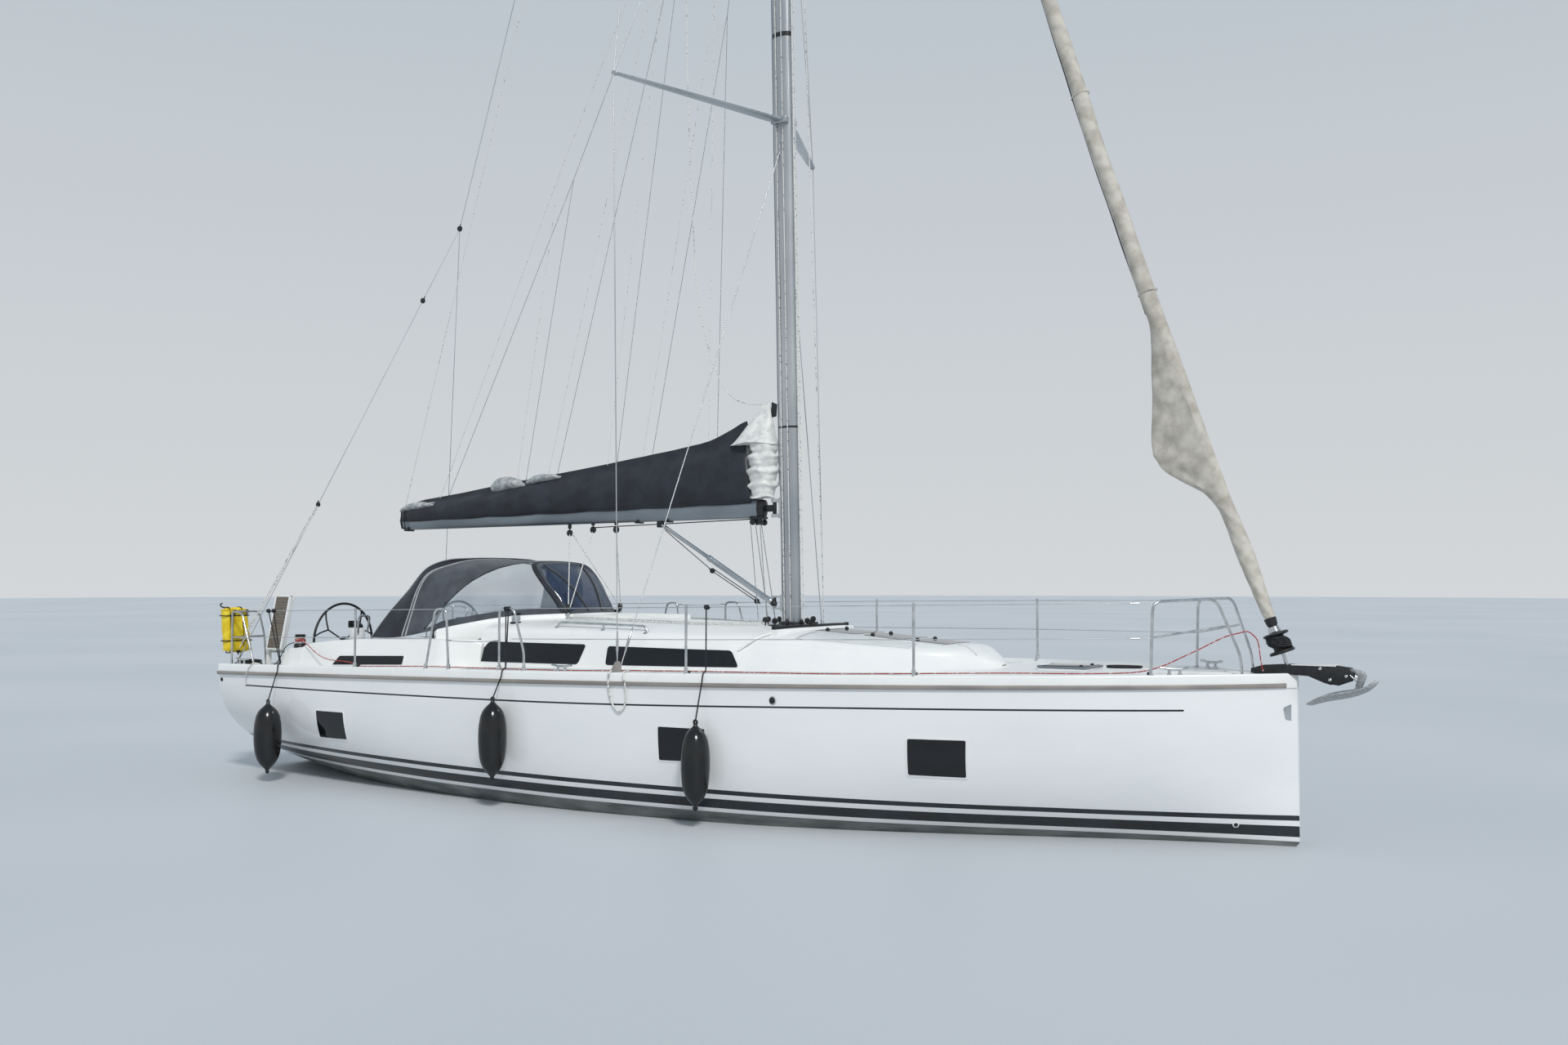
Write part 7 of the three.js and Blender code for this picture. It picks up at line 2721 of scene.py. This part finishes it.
# %% Mast foot, led lines and clutches
foot = []
for x, y in ((0.62, -0.13), (0.56, 0.02), (0.62, 0.15), (0.78, -0.2), (0.94, -0.21), (1.06, -0.12),
             (1.08, 0.06), (0.94, 0.2),
             (0.78, 0.2)):
    out = (x - 0.87, y, 0)
    foot += rope_block(on_roof(x, y, 0.055), (0, 0, -1), 0.032, (-out[1] + 0.001, out[0], 0))
foot.append(turned("mast_ring", [(0, 0.25), (0.006, 0.256), (0.016, 0.25), (0.02, 0.19)],
                   (0.87, 0, roof_top(0.87, 0) - 0.002), sides=40))
rides(joined("mast_foot_blocks", foot), black_nylon)
ropes = ((white_rope, 0.42), (white_rope, 0.46), (grey_rope, 0.5), (white_rope, 0.54),
         (white_rope, 0.58))
for k, (rope, y) in enumerate(ropes):
    runs = []
    for side in (-1, 1):
        way = [on_roof(0.62, side * (0.12 + 0.03 * k), 0.03),
               on_roof(0.4, side * (0.2 + 0.06 * k), 0.012),
               on_roof(0.1, side * y, 0.011)]
        way += [on_roof(x, side * (y + 0.012 * math.sin(x * 5 + k)), 0.011)
                for x in (-0.2, -0.5, -0.8, -1.1, -1.4)]
        way += [on_roof(-1.66, side * (0.38 + 0.03 * k), 0.011),
                on_roof(-1.84, side * (0.4 + 0.008 * k), 0.011)]
        runs.append(rounded(way, 0.08))
    rides(tube("led_line_%d" % k, runs, 0.005, 2), rope)
clutches = []
for side in (-1, 1):
    for k in range(5):
        y = side * (0.42 + 0.048 * k)
        base = roof_top(-2.28, y)
        clutches.append(block("clutch", (-2.38, y - 0.021, base - 0.012),
                              (-2.18, y + 0.021, base + 0.05), 0.01))
        clutches.append(plate("clutch_lever", [
            (-2.34, y - 0.014, base + 0.046), (-2.19, y - 0.014, base + 0.062),
            (-2.16, y - 0.014, base + 0.085), (-2.33, y - 0.014, base + 0.066),
        ], (0, 0.028, 0), 0.003))
rides(joined("clutches", clutches), black_nylon)

# %% [markdown]
# ## Hatches
# The flush panes on the coachroof follow its curve, each in a white frame. The forward
# hatch has an alloy frame round a smoked pane, two inner handles and its hinges.

# %% Roof panes, forward hatch, locker lid and panels
CORNER = 0.03
DECK_CAMBER = 0.0345


def roof_patch(name, x0, x1, half, up):
    """A patch with rounded corners lying on the coachroof's curve."""
    grid = []
    for x in spaced(x0, x1, 12):
        near = min(x - x0, x1 - x)
        inset = CORNER - math.sqrt(max(0.0, CORNER**2 - max(0.0, CORNER - near) ** 2))
        wide = half - inset
        grid.append([on_roof(x, wide * (k / 8 - 1), up) for k in range(17)])
    piece = skin(name, grid)
    thickened(piece, 0.004)
    return soften(piece, 30)


for k, (x0, x1, half) in enumerate(((1.36, 1.82, 0.33), (1.88, 2.32, 0.31), (2.38, 2.8, 0.28))):
    rides(roof_patch("pane_frame_%d" % k, x0 - 0.022, x1 + 0.022, half + 0.022, 0.003), hull_gelcoat)
    rides(roof_patch("roof_pane_%d" % k, x0, x1, half, 0.0055), smoked_acrylic)
    knob = [turned("pane_knob", [(0, 0.02), (0.008, 0.022), (0.02, 0.016), (0.026, 0.008)],
                   on_roof(x0 + 0.06, y, 0.005), sides=16)
            for y in (-0.2, 0.2)]
    rides(joined("pane_knobs_%d" % k, knob), black_nylon)
for side, hand in HANDS:
    grid = [[on_roof(x, side * y, 0.0022) for y in spaced(0.42, flowing(ROOF, x)[1] * 0.9, 8)]
            for x in spaced(1.4, 2.55, 16)]
    grip = skin("roof_grip_" + hand, grid)
    thickened(grip, 0.0025)
    rides(grip, nonslip_gelcoat)
    for name, x0, x1 in (("side_deck_aft", -2.3, 0.0), ("side_deck_mid", 0.16, 2.9)):
        grid = []
        for x in spaced(x0, x1, 24):
            near, far = flowing(ROOF, x)[0] + 0.06, sheer_half(x) - 0.16
            if x < -2.0:
                near = between(1.5, near, (x + 2.45) / 0.45)
            reach = max(0.2, sheer_half(x) - 0.12)
            grid.append([
                (x, side * y, deck_height(x) + DECK_CAMBER * (1 - y / reach) + 0.0035)
                for y in spaced(near, far, 6)
            ])
        grip = skin("%s_%s" % (name, hand), grid)
        thickened(grip, 0.004)
        rides(grip, nonslip_gelcoat)
hatch = [block("hatch_alloy", (3.7, -0.24, HATCH_Z + 0.0005), (4.18, 0.24, HATCH_Z + 0.02), 0.008, 3)]
hatch += [turned("hatch_hinge", [(-0.03, 0.008), (0.03, 0.008)], (3.692, y, HATCH_Z + 0.016), ACROSS,
                 16) for y in (-0.17, 0.17)]
hatch += [block("hinge_leaf", (3.69, y - 0.026, HATCH_Z + 0.012), (3.74, y + 0.026, HATCH_Z + 0.0225),
                0.003) for y in (-0.17, 0.17)]
hatch = joined("hatch_frame_alloy", hatch)
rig.replaces(rides(hatch, boom_aluminium, "deck_hatch_forward"), "deck_hatch_forward")
rides(block("hatch_pane", (3.728, -0.212, HATCH_Z + 0.014), (4.152, 0.212, HATCH_Z + 0.0255), 0.005, 3),
      smoked_acrylic, "deck_hatch_forward")
knobs = [turned("hatch_knob", [(0, 0.016), (0.01, 0.018), (0.016, 0.01)], (4.1, y, HATCH_Z + 0.02),
                sides=16) for y in (-0.15, 0.15)]
rides(joined("hatch_knobs", knobs), black_nylon, "deck_hatch_forward")
lid = finished_copy("anchor_locker_lid", 0.004, 30)
rides(lid, deck_gelcoat, "anchor_locker_lid")
lid_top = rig.box("anchor_locker_lid")[1].z
rides(plate("lid_grip", [(4.93, -0.235, lid_top - 0.001), (5.43, -0.09, lid_top - 0.001),
                         (5.43, 0.09, lid_top - 0.001), (4.93, 0.235, lid_top - 0.001)],
            (0, 0, 0.003), 0.001), nonslip_gelcoat, "anchor_locker_lid")
rides(turned("lid_catch", [(0, 0.018), (0.002, 0.02), (0.005, 0.012)], (5.38, 0, lid_top + 0.001),
             sides=16), stainless, "anchor_locker_lid")

# %% [markdown]
# A cleat is two horns on two feet. There are three on each side. Two lines lie coiled
# on the foredeck and one on the starboard quarter. Each coil is one line that runs out
# and in again, a layer higher each time, so no turn lies in another.

# %% Cleats and coils
def deck_at(x, y):
    """Height of the open deck at a place."""
    return deck_height(x) + 0.034 * (1 - abs(y) / max(0.2, sheer_half(x) - 0.12))


def cleat(x, y, z, turn_deg):
    """A cleat at a place, turned by some degrees from the fore and aft line."""
    dx, dy = math.cos(math.radians(turn_deg)), math.sin(math.radians(turn_deg))
    horns = [(x + dx * s, y + dy * s, z + up) for s, up in (
        (-0.125, 0.062), (-0.1, 0.06), (-0.05, 0.05), (0.05, 0.05), (0.1, 0.06), (0.125, 0.062))]
    feet = [turned("cleat_foot", [(0, 0.02), (0.006, 0.021), (0.02, 0.013), (0.05, 0.013)],
                   (x + dx * s, y + dy * s, z), sides=16) for s in (-0.045, 0.045)]
    return joined("cleat", [tube("cleat_horns", [horns], 0.0115, 3), *feet])


cleats = [cleat(x, side * (sheer_half(x) - 0.07), sheer_height(x) - 0.002, side * turn)
          for x, turn in ((5.1, -24), (-0.584, 0), (-5.62, 8)) for side in (-1, 1)]
rides(joined("cleats", cleats), stainless)


def coil(name, centre, radius, rope, finish, turns, layers):
    """A rope laid in a flat coil of several layers, as one line from its middle outward."""
    path = []
    gap = rope * 1.22
    for layer in range(layers):
        inward = layer % 2
        for k in range(turns * 26 + 1):
            t = k / 26
            r = radius + gap * (turns - t if inward else t)
            a = 2 * math.pi * t + layer * 0.24
            wob = 0.008 * math.sin(2 * a + layer) + 0.005 * math.sin(3 * a)
            path.append((centre[0] + (r + wob) * 1.2 * math.cos(a), centre[1] + (r + wob) * math.sin(a),
                         centre[2] + rope * 0.5 + layer * rope * 1.12))
    smooth = [path[0]]
    for point in path[1:]:
        if (Vector(point) - Vector(smooth[-1])).length > rope * 0.5:
            smooth.append(point)
    piece = rides(tube(name, [smooth], rope / 2, 2), finish)
    length = run_length(smooth)
    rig.cord(piece, smooth[0], length, rope, "bare", lay="coiled", path=smooth)
    print(name, "metres:", round(length, 2))
    return piece


coil("foredeck_coil", (3.83, 0.47, deck_at(3.83, 0.47)), 0.06, 0.014, white_rope, 6, 2)
coil("foredeck_coil_black", (4.32, 0.4, deck_at(4.32, 0.4)), 0.05, 0.014, black_rope, 5, 2)
coil("quarter_coil", (-5.69, -1.685, deck_at(-5.69, -1.685)), 0.06, 0.014, black_rope, 4, 5)


def free_cord(name, points, rope, finish, far_end="object", lay="hanging"):
    """A slack rope through points, declared with its own length."""
    path = smoothed(points, 6)
    piece = rides(tube(name, [path], rope / 2, 2), finish)
    length = run_length(path)
    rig.cord(piece, path[0], length, rope, far_end, lay=lay, path=path)
    print(name, "metres:", round(length, 2))
    return piece


def beside_hull(x, z, off=0.02):
    """A point just outside the starboard side of the hull."""
    return (x, -(hull_half(x, z) + off), z)


out_y = -(sheer_half(0.1) + 0.03)
free_cord("chainplate_loop", [
    (0.06, -1.9, 1.42), (0.055, out_y + 0.03, 1.42), (0.05, out_y, 1.37),
    beside_hull(0.057, 1.24, 0.026), beside_hull(0.1, 1.1),
    beside_hull(0.177, 1.04), beside_hull(0.235, 1.11), beside_hull(0.252, 1.24, 0.026),
    (0.235, out_y, 1.37),
    (0.22, out_y + 0.03, 1.42), (0.2, -1.9, 1.42)], 0.018, white_rope)
gunwale_y = -(sheer_half(-5.32) + 0.01)
free_cord("quarter_tail", [
    (-5.14, -1.8, deck_at(-5.14, -1.8) + 0.008), (-5.2, -1.85, 1.295), (-5.28, gunwale_y + 0.03, 1.324),
    (-5.32, gunwale_y - 0.008, 1.305),
    beside_hull(-5.39, 1.215, 0.026), beside_hull(-5.43, 1.13, 0.014),
    beside_hull(-5.444, 1.062, 0.012)], 0.013, white_rope, "bare")
free_cord("winch_tail", [
    (-5.03, -1.572, 1.556), (-5.1, -1.6, 1.53), (-5.16, -1.618, 1.468), (-5.2, -1.64, 1.37),
    (-5.25, -1.67, 1.295), (-5.34, -1.7, deck_at(-5.34, -1.7) + 0.007),
    (-5.5, -1.73, deck_at(-5.5, -1.73) + 0.007)], 0.011,
          black_rope, "bare", "loose")

# %% [markdown]
# The red furling line starts at the coaming winch and runs forward along the side deck,
# inside the guardrail, to the pulpit. There it makes a loop and drops to the drum's lead.

# %% Furling line
red = [(-4.97, -1.579, 1.575), (-4.86, -1.592, 1.57), (-4.72, -1.615, 1.52), (-4.55, -1.66, 1.45),
       (-4.27, -1.73, 1.39), (-3.85, -1.79, 1.375)]
red += [(x, -(sheer_half(x) - 0.085), deck_height(x) + 0.05 + 0.006 * math.sin(x * 2.1)) for x in
        (-3.505, -2.9, -2.3, -1.4, -0.5, 0.3, 0.868, 1.6, 2.3, 3.03, 3.8, 4.5)]
red += [(4.9, -(sheer_half(4.9) - 0.075), 1.52), (5.2, -0.5, 1.66), (5.45, -0.36, 1.8),
        (5.59, -0.33, 1.845), (5.647, -0.3, 1.858), (5.688, -0.27, 1.829), (5.724, -0.24, 1.766),
        (5.737, -0.2, 1.6), (5.745, -0.16, 1.515)]
rides(tube("furling_line", [smoothed(red, 5)], 0.005, 2), red_rope)
leads = []
for x in (-3.505, 0.868, 3.03, 4.9):
    leads += rope_block((x, -(sheer_half(x) - 0.075), deck_height(x) + 0.045), (0, 1, 0.3), 0.018,
                        (1, 0, 0), 0.008)
rides(joined("furling_leads", leads), black_nylon)
winch_wrap = []
for k in range(61):
    a = 2 * math.pi * k / 20
    winch_wrap.append((-4.99 + 0.0575 * math.cos(a), -1.521 + 0.0575 * math.sin(a),
                       1.563 + 0.0125 * k / 20))
rides(tube("winch_turns", [winch_wrap], 0.0055, 2), red_rope)

# %% [markdown]
# ## Bow
# A black composite sprit carries the roller. The galvanised anchor hangs in it with its
# plough-shaped fluke below, and a steel plate guards the stem against it.

# %% Bow roller, anchor and stem plate
SPRIT = [(5.62, 1.49), (5.9, 1.487), (6.1, 1.478), (6.24, 1.42), (6.35, 1.405), (6.44, 1.44),
         (6.46, 1.5), (6.44, 1.552), (6.33, 1.566), (5.95, 1.573), (5.7, 1.556), (5.62, 1.53)]
cheeks = [plate("sprit_cheek", [(x, s * 0.071 - 0.006, z) for x, z in SPRIT], (0, 0.012, 0), 0.003)
          for s in (-1, 1)]
cheeks.append(block("sprit_floor", (5.64, -0.07, 1.45), (5.9, 0.07, 1.51), 0.01))
cheeks.append(block("sprit_foot", (5.6, -0.13, 1.448), (5.86, 0.13, 1.47), 0.008))
bow_frame = joined("bow_sprit", cheeks)
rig.replaces(rides(bow_frame, black_nylon), "bow_roller")
caps = [block("sprit_cap", (5.96, s * 0.071 - 0.009, 1.566), (6.33, s * 0.071 + 0.009, 1.5755), 0.003)
        for s in (-1, 1)]
rides(joined("sprit_caps", caps), hull_gelcoat)
ROLLERS = ((6.41, 0, 1.487), (6.28, 0, 1.452))
ROLLER = [(-0.056, 0.03), (-0.05, 0.044), (-0.02, 0.03), (0.02, 0.03), (0.05, 0.044), (0.056, 0.03)]
roller = [turned("roller", ROLLER, at, ACROSS) for at in ROLLERS]
rides(joined("rollers", roller), black_leather)
pins = [turned("roller_pin", [(-0.086, 0.009), (-0.083, 0.013), (0.083, 0.013), (0.086, 0.009)], at,
               ACROSS, 16)
        for at in (*ROLLERS, (6.2, 0, 1.545))]
pins.append(tube("sprit_bail", [rounded([(6.44, -0.079, 1.5), (6.5, -0.079, 1.44), (6.5, 0.079, 1.44),
                                         (6.44, 0.079, 1.5)], 0.04)], 0.006, 2))
rides(joined("sprit_pins", pins), stainless)

shank = plate("anchor_shank", [(x, -0.009, z) for x, z in (
    (6.12, 1.538), (6.46, 1.548), (6.54, 1.532), (6.565, 1.49), (6.535, 1.41), (6.5, 1.345),
    (6.45, 1.33), (6.47, 1.4), (6.49, 1.47),
    (6.47, 1.51), (6.44, 1.523), (6.12, 1.512))], (0, 0.018, 0), 0.004)
FLUKE = [
    # distance forward, middle height, half width, dish of the plough
    (6.655, 1.452, 0.008, 0.002), (6.63, 1.42, 0.06, 0.014), (6.58, 1.375, 0.1, 0.026),
    (6.48, 1.328, 0.135, 0.042), (6.38, 1.3, 0.155, 0.05), (6.26, 1.275, 0.165, 0.046),
    (6.17, 1.25, 0.12, 0.028), (6.11, 1.232, 0.06, 0.01),
]
fluke_rows = []
for x, z, half, dish in smoothed(FLUKE, 4):
    upper = [(x - 0.03 * (t * t), half * t, z + dish * abs(t) ** 1.5) for t in spaced(-1, 1, 12)]
    lower = [(px, py, pz - 0.011) for px, py, pz in upper[::-1]]
    fluke_rows.append(upper + lower + upper[:1])
fluke = skin("anchor_fluke", fluke_rows, True, True)
crown = [turned("anchor_ring", [(-0.016, 0.012), (0.016, 0.012)], (6.15, 0, 1.526), ACROSS, 16),
         tube("shackle", [rounded([(6.15, -0.014, 1.526), (6.09, -0.02, 1.53), (6.09, 0.02, 1.53),
                                   (6.15, 0.014, 1.526)], 0.02)], 0.006, 2)]
anchor = joined("anchor_finished", [shank, fluke, *crown])
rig.replaces(rides(anchor, galvanised), "anchor")
links = []
for k in range(9):
    x = 6.065 - k * 0.034
    upright = k % 2
    links.append([
        (x + 0.021 * math.cos(a), 0.011 * math.sin(a) * upright,
         1.53 + 0.011 * math.sin(a) * (1 - upright))
        for a in around(12)
    ])
rides(tube("anchor_chain", links, 0.004, 2, closed=True), galvanised)
for side, hand in HANDS:
    guard = pane("stem_plate_" + hand, [(5.915, 1.1), (5.9, 1.2), (5.962, 1.235), (5.975, 1.08)],
                 hull_half, side, 0.002, 0.012, 0.004)
    rides(guard, stainless)
nose = [(hull_x, 0, z) for hull_x, z in ((5.979, 1.42), (5.984, 1.3), (5.988, 1.2), (5.991, 1.08))]
rides(tube("stem_strip", [nose], 0.009, 3), stainless)
vent_at = beside_hull(1.76, 1.2, -0.003)
rides(turned("hull_fitting_rim", [(0, 0.038), (0.006, 0.04), (0.01, 0.034)], vent_at, (0, -1, 0), 28),
      stainless)
rides(turned("hull_fitting_cap", [(0.008, 0.031), (0.013, 0.03), (0.016, 0.022)], vent_at, (0, -1, 0),
             28), black_nylon)
outlet_at = beside_hull(-5.935, 1.11, 0.001)
rides(turned("quarter_vent", [(0, 0.02), (0.004, 0.022), (0.009, 0.014)], outlet_at, (0.25, -1, 0), 20),
      black_nylon)
drain_at = beside_hull(5.505, 0.179, -0.004)
rides(turned("bow_drain_rim", [(0, 0.026), (0.006, 0.028), (0.01, 0.022)], drain_at, (0.5, -1, -0.3),
             24), hull_gelcoat)
rides(turned("bow_drain", [(0.006, 0.019), (0.0115, 0.018)], drain_at, (0.5, -1, -0.3), 24),
      black_nylon)

# %% [markdown]
# ## Guardrails
# Posts stand in sockets along the deck edge, with two steel lifelines. At the gate the
# posts are hoops, bent over at the top. All tubes of one side are drawn together.

# %% Posts, gates and lifelines
RAIL_UP, LINE_UP, RAIL_INBOARD = 0.62, 0.316, 0.03
POSTS = (-3.505, 0.868, 3.03)
GATE_AFT = [(-2.396, 0), (-2.261, 0.624), (-2.102, 0.624), (-2.064, 0)]
GATE_FORE = [(-1.356, 0), (-1.358, 0.624), (-1.168, 0.624), (-1.031, 0.18), (-1.029, 0)]


def rail_point(x, up, side=-1):
    """A point over the deck edge, at a height above the sheer."""
    return (x, side * (sheer_half(x) - RAIL_INBOARD), sheer_height(x) + up)


for side, hand in HANDS:
    posts = [[rail_point(x, -0.005, side), rail_point(x, 0.632, side)] for x in POSTS]
    gates = [rounded([rail_point(x, up, side) for x, up in gate], 0.06)
             for gate in (GATE_AFT, GATE_FORE)]
    sockets = [rail_point(x, -0.012, side) for x in (*POSTS, -2.396, -2.064, -1.356, -1.029)]
    tubes = [tube("posts", posts + gates, 0.0125, 3)]
    tubes += [turned("socket", [(0, 0.03), (0.006, 0.034), (0.012, 0.022), (0.06, 0.019),
                                (0.064, 0.014)], at, sides=20) for at in sockets]
    tubes += [turned("post_cap", [(-0.006, 0.0125), (0, 0.0145), (0.008, 0.012), (0.012, 0.005)],
                     run[1], sides=16) for run in posts]
    rail = joined("guardrail_%s_finished" % hand, tubes)
    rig.replaces(rides(rail, stainless), "guardrail_" + hand)
    lifelines = []
    for up, aft_end in ((RAIL_UP, -5.585), (LINE_UP, -5.462)):
        for part in ((aft_end, -3.505, -2.261), (-1.2, 0.868, 3.03, 4.945)):
            lifelines.append([rail_point(x, up, side) for x in part])
        lifelines.append(sagging(rail_point(-2.11, up - 0.02, side), rail_point(-1.36, up - 0.02, side),
                                 0.012, 8))
    rides(tube("lifelines_" + hand, lifelines, 0.0036, 2), rigging_wire)
    hooks = []
    for x in (-2.1, -1.43, 4.78):
        for up in (RAIL_UP, LINE_UP):
            drop = 0.02 if x < 0 else 0.001
            hooks.append([rail_point(x, up - drop, side), rail_point(x + 0.07, up - drop, side)])
    rides(tube("lifeline_hooks_" + hand, hooks, 0.0075, 2), stainless)

# %% [markdown]
# The pulpit is a hoop on each side with the headstay between them. Its after leg stands
# at the deck edge, its rail runs forward and inward, and its fore leg comes down beside
# the roller. The pushpit wraps both stern corners.

# %% Pulpit and pushpit
for side, hand in HANDS:
    foot_out = side * (sheer_half(4.93) - 0.035)
    rail_out = side * (sheer_half(4.95) - 0.035)
    aft_z = sheer_height(4.95)
    bow_z = deck_at(5.575, 0.2)
    leg = [(4.93, foot_out, aft_z - 0.01), (4.95, rail_out, aft_z + 0.632), (5.38, side * 0.28, 2.137),
           (5.568, side * 0.2, 1.63), (5.575, side * 0.2, bow_z - 0.01)]
    step = [(4.94, foot_out, aft_z + 0.32), (5.46, side * 0.246, 1.9)]
    hoop = [tube("pulpit_legs", [rounded(leg, 0.09)], 0.013, 3), tube("pulpit_step", [step], 0.01, 3)]
    for at in ((4.93, foot_out, aft_z - 0.005), (5.575, side * 0.2, bow_z - 0.004)):
        hoop.append(turned("pulpit_foot", [(0, 0.03), (0.005, 0.032), (0.01, 0.016)], at, sides=20))
    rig.replaces(rides(joined("pulpit_%s_finished" % hand, hoop), stainless), "pulpit_" + hand)

    z = sheer_height(-5.7)

    def quarter(x, up, inward=0.05):
        """A point at the stern's edge, so far inboard and so far above the sheer there."""
        return (x, side * (sheer_half(x) - inward), z + up)

    upper = [quarter(-5.35, -0.01), quarter(-5.61, 0.605), quarter(-5.8, 0.612),
             quarter(-5.85, 0.612, 0.1),
             (-5.85, side * 1.43, z + 0.612), (-5.85, side * 1.345, z + 0.31),
             (-5.85, side * 1.31, z - 0.16)]
    middle = [quarter(-5.483, 0.31), quarter(-5.8, 0.31), quarter(-5.85, 0.31, 0.1),
              (-5.85, side * 1.345, z + 0.31)]
    aft_leg = [quarter(-5.825, -0.02, 0.062), quarter(-5.835, 0.612, 0.07)]
    push = [tube("pushpit_top", [rounded(upper, 0.07)], 0.0125, 3),
            tube("pushpit_mid", [rounded(middle, 0.04)], 0.01, 3),
            tube("pushpit_leg", [aft_leg], 0.0125, 3)]
    for x, inward in ((-5.355, 0.05), (-5.825, 0.062)):
        at = (x, side * (sheer_half(x) - inward), sheer_height(x) - 0.003)
        push.append(turned("pushpit_foot", [(0, 0.03), (0.005, 0.032), (0.01, 0.016)], at, sides=20))
    push = joined("pushpit_%s_finished" % hand, push)
    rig.replaces(rides(push, stainless), "pushpit_" + hand)

# %% [markdown]
# ## Fenders
# A fender is a blown vinyl body, fullest under its middle and drawn in to a solid eye at
# each end. Each hangs from the guardrail on a black line, which bears on the gunwale.

# %% Fenders
EYE = 0.02
FENDER_SHAPE = [
    # share of the length, share of the radius
    (0.0, 0.06), (0.004, 0.1), (0.03, 0.13), (0.05, 0.2), (0.08, 0.36), (0.11, 0.52), (0.15, 0.66),
    (0.2, 0.79), (0.27, 0.9), (0.36, 0.96), (0.46, 1.0), (0.58, 1.0), (0.68, 0.96), (0.78, 0.86),
    (0.84, 0.72), (0.88, 0.56), (0.91, 0.38), (0.935, 0.22), (0.95, 0.15), (0.97, 0.12), (0.996, 0.1),
    (1.0, 0.06),
]
FENDERS = {
    # node: (lowest, highest, where its lines reach the rail)
    "fender_aft": (0.117, 0.928, (-4.96, -5.06)),
    "fender_mid": (0.307, 1.118, (-1.27, -1.235)),
    "fender_forward": (0.187, 0.998, (1.08,)),
}
for node, (low, high, line_xs) in FENDERS.items():
    lowest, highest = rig.box(node)
    at = (lowest + highest) / 2
    radius = (highest.x - lowest.x) / 2
    profile = [((high - low) * t, radius * share) for t, share in FENDER_SHAPE]
    body = turned(node + "_body", profile, (at.x, at.y, low), sides=40, angle_deg=60)
    eyes = [
        tube("fender_eye", [[(at.x + EYE * math.cos(a), at.y, z + EYE * math.sin(a))
                             for a in around(16)]],
             0.009, 2, closed=True)
        for z in (low + 0.012, high - 0.012)
    ]
    piece = joined(node + "_finished", [body, *eyes])
    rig.replaces(rides(piece, fender_vinyl), node)
    lip = sheer_height(at.x)
    out = -(sheer_half(at.x) + 0.022)
    runs = []
    for line_x in line_xs:
        top = rail_point(line_x, 0.635)
        runs.append(rounded([
            (at.x, at.y, high - 0.004), (at.x, out, lip - 0.06),
            (between(at.x, line_x, 0.04), out + 0.012, lip + 0.004),
            (between(at.x, line_x, 0.12), out + 0.06, lip + 0.022), top], 0.02, 3))
        for k in range(3):
            x = line_x - 0.014 + 0.013 * k
            middle = rail_point(x, 0.62)
            runs.append([(x + 0.0013 * j, middle[1] + 0.018 * math.cos(j * 0.7),
                          middle[2] + 0.018 * math.sin(j * 0.7)) for j in range(10)])
    rides(tube(node + "_line", runs, 0.0065, 2), black_rope)

# %% [markdown]
# ## Bathing platform
# Folded up, the platform closes the stern. Its inner face is planked, because it is the
# tread when it is down, and it turns on a steel rod along its foot.

# %% Platform
panel = block("platform_panel", (-5.998, -0.752, 0.4865), (-5.9485, 0.752, 1.2675), 0.014, 3)
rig.replaces(rides(panel, deck_gelcoat, "bathing_platform"), "bathing_platform")
planks_up = planked("teak_planks_upright", "Z")
rides(block("platform_teak", (-5.9505, -0.71, 0.53), (-5.9462, 0.71, 1.23), 0.0015), planks_up,
      "bathing_platform")
rod = [turned("platform_rod", [(-0.758, 0.012), (-0.756, 0.014), (0.756, 0.014), (0.758, 0.012)],
              (-5.972, 0, 0.47), ACROSS, 20)]
rod += [block("platform_hinge", (-5.988, y - 0.05, 0.47), (-5.956, y + 0.05, 0.5), 0.006)
        for y in (-0.6, 0.0, 0.6)]
rides(joined("platform_rod", rod), stainless, "bathing_platform")

# %% [markdown]
# ## Pieces whose solid form is already right
# What lies under the water is smooth already and needs only its finish.

# %% Finished copies
PLAIN_PIECES = {
    "keel": keel_iron, "rudder": bottom_paint, "drive_leg": bottom_paint, "propeller": bronze,
}
for node, finish in PLAIN_PIECES.items():
    rides(finished_copy(node), finish, node_of[node]["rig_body"])
print("plain pieces:", len(PLAIN_PIECES))

# %% [markdown]
# ## Measuring
# The box of the solids and the box of the finished yacht are written down side by
# side.

# %% Sizes and finish
with open("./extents.json", "w") as file:
    boxes = {
        "cad": [list(corner) for corner in cad_box],
        "visual": [list(corner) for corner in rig.bounds()],
    }
    json.dump(boxes, file)
print("sizes:", boxes)
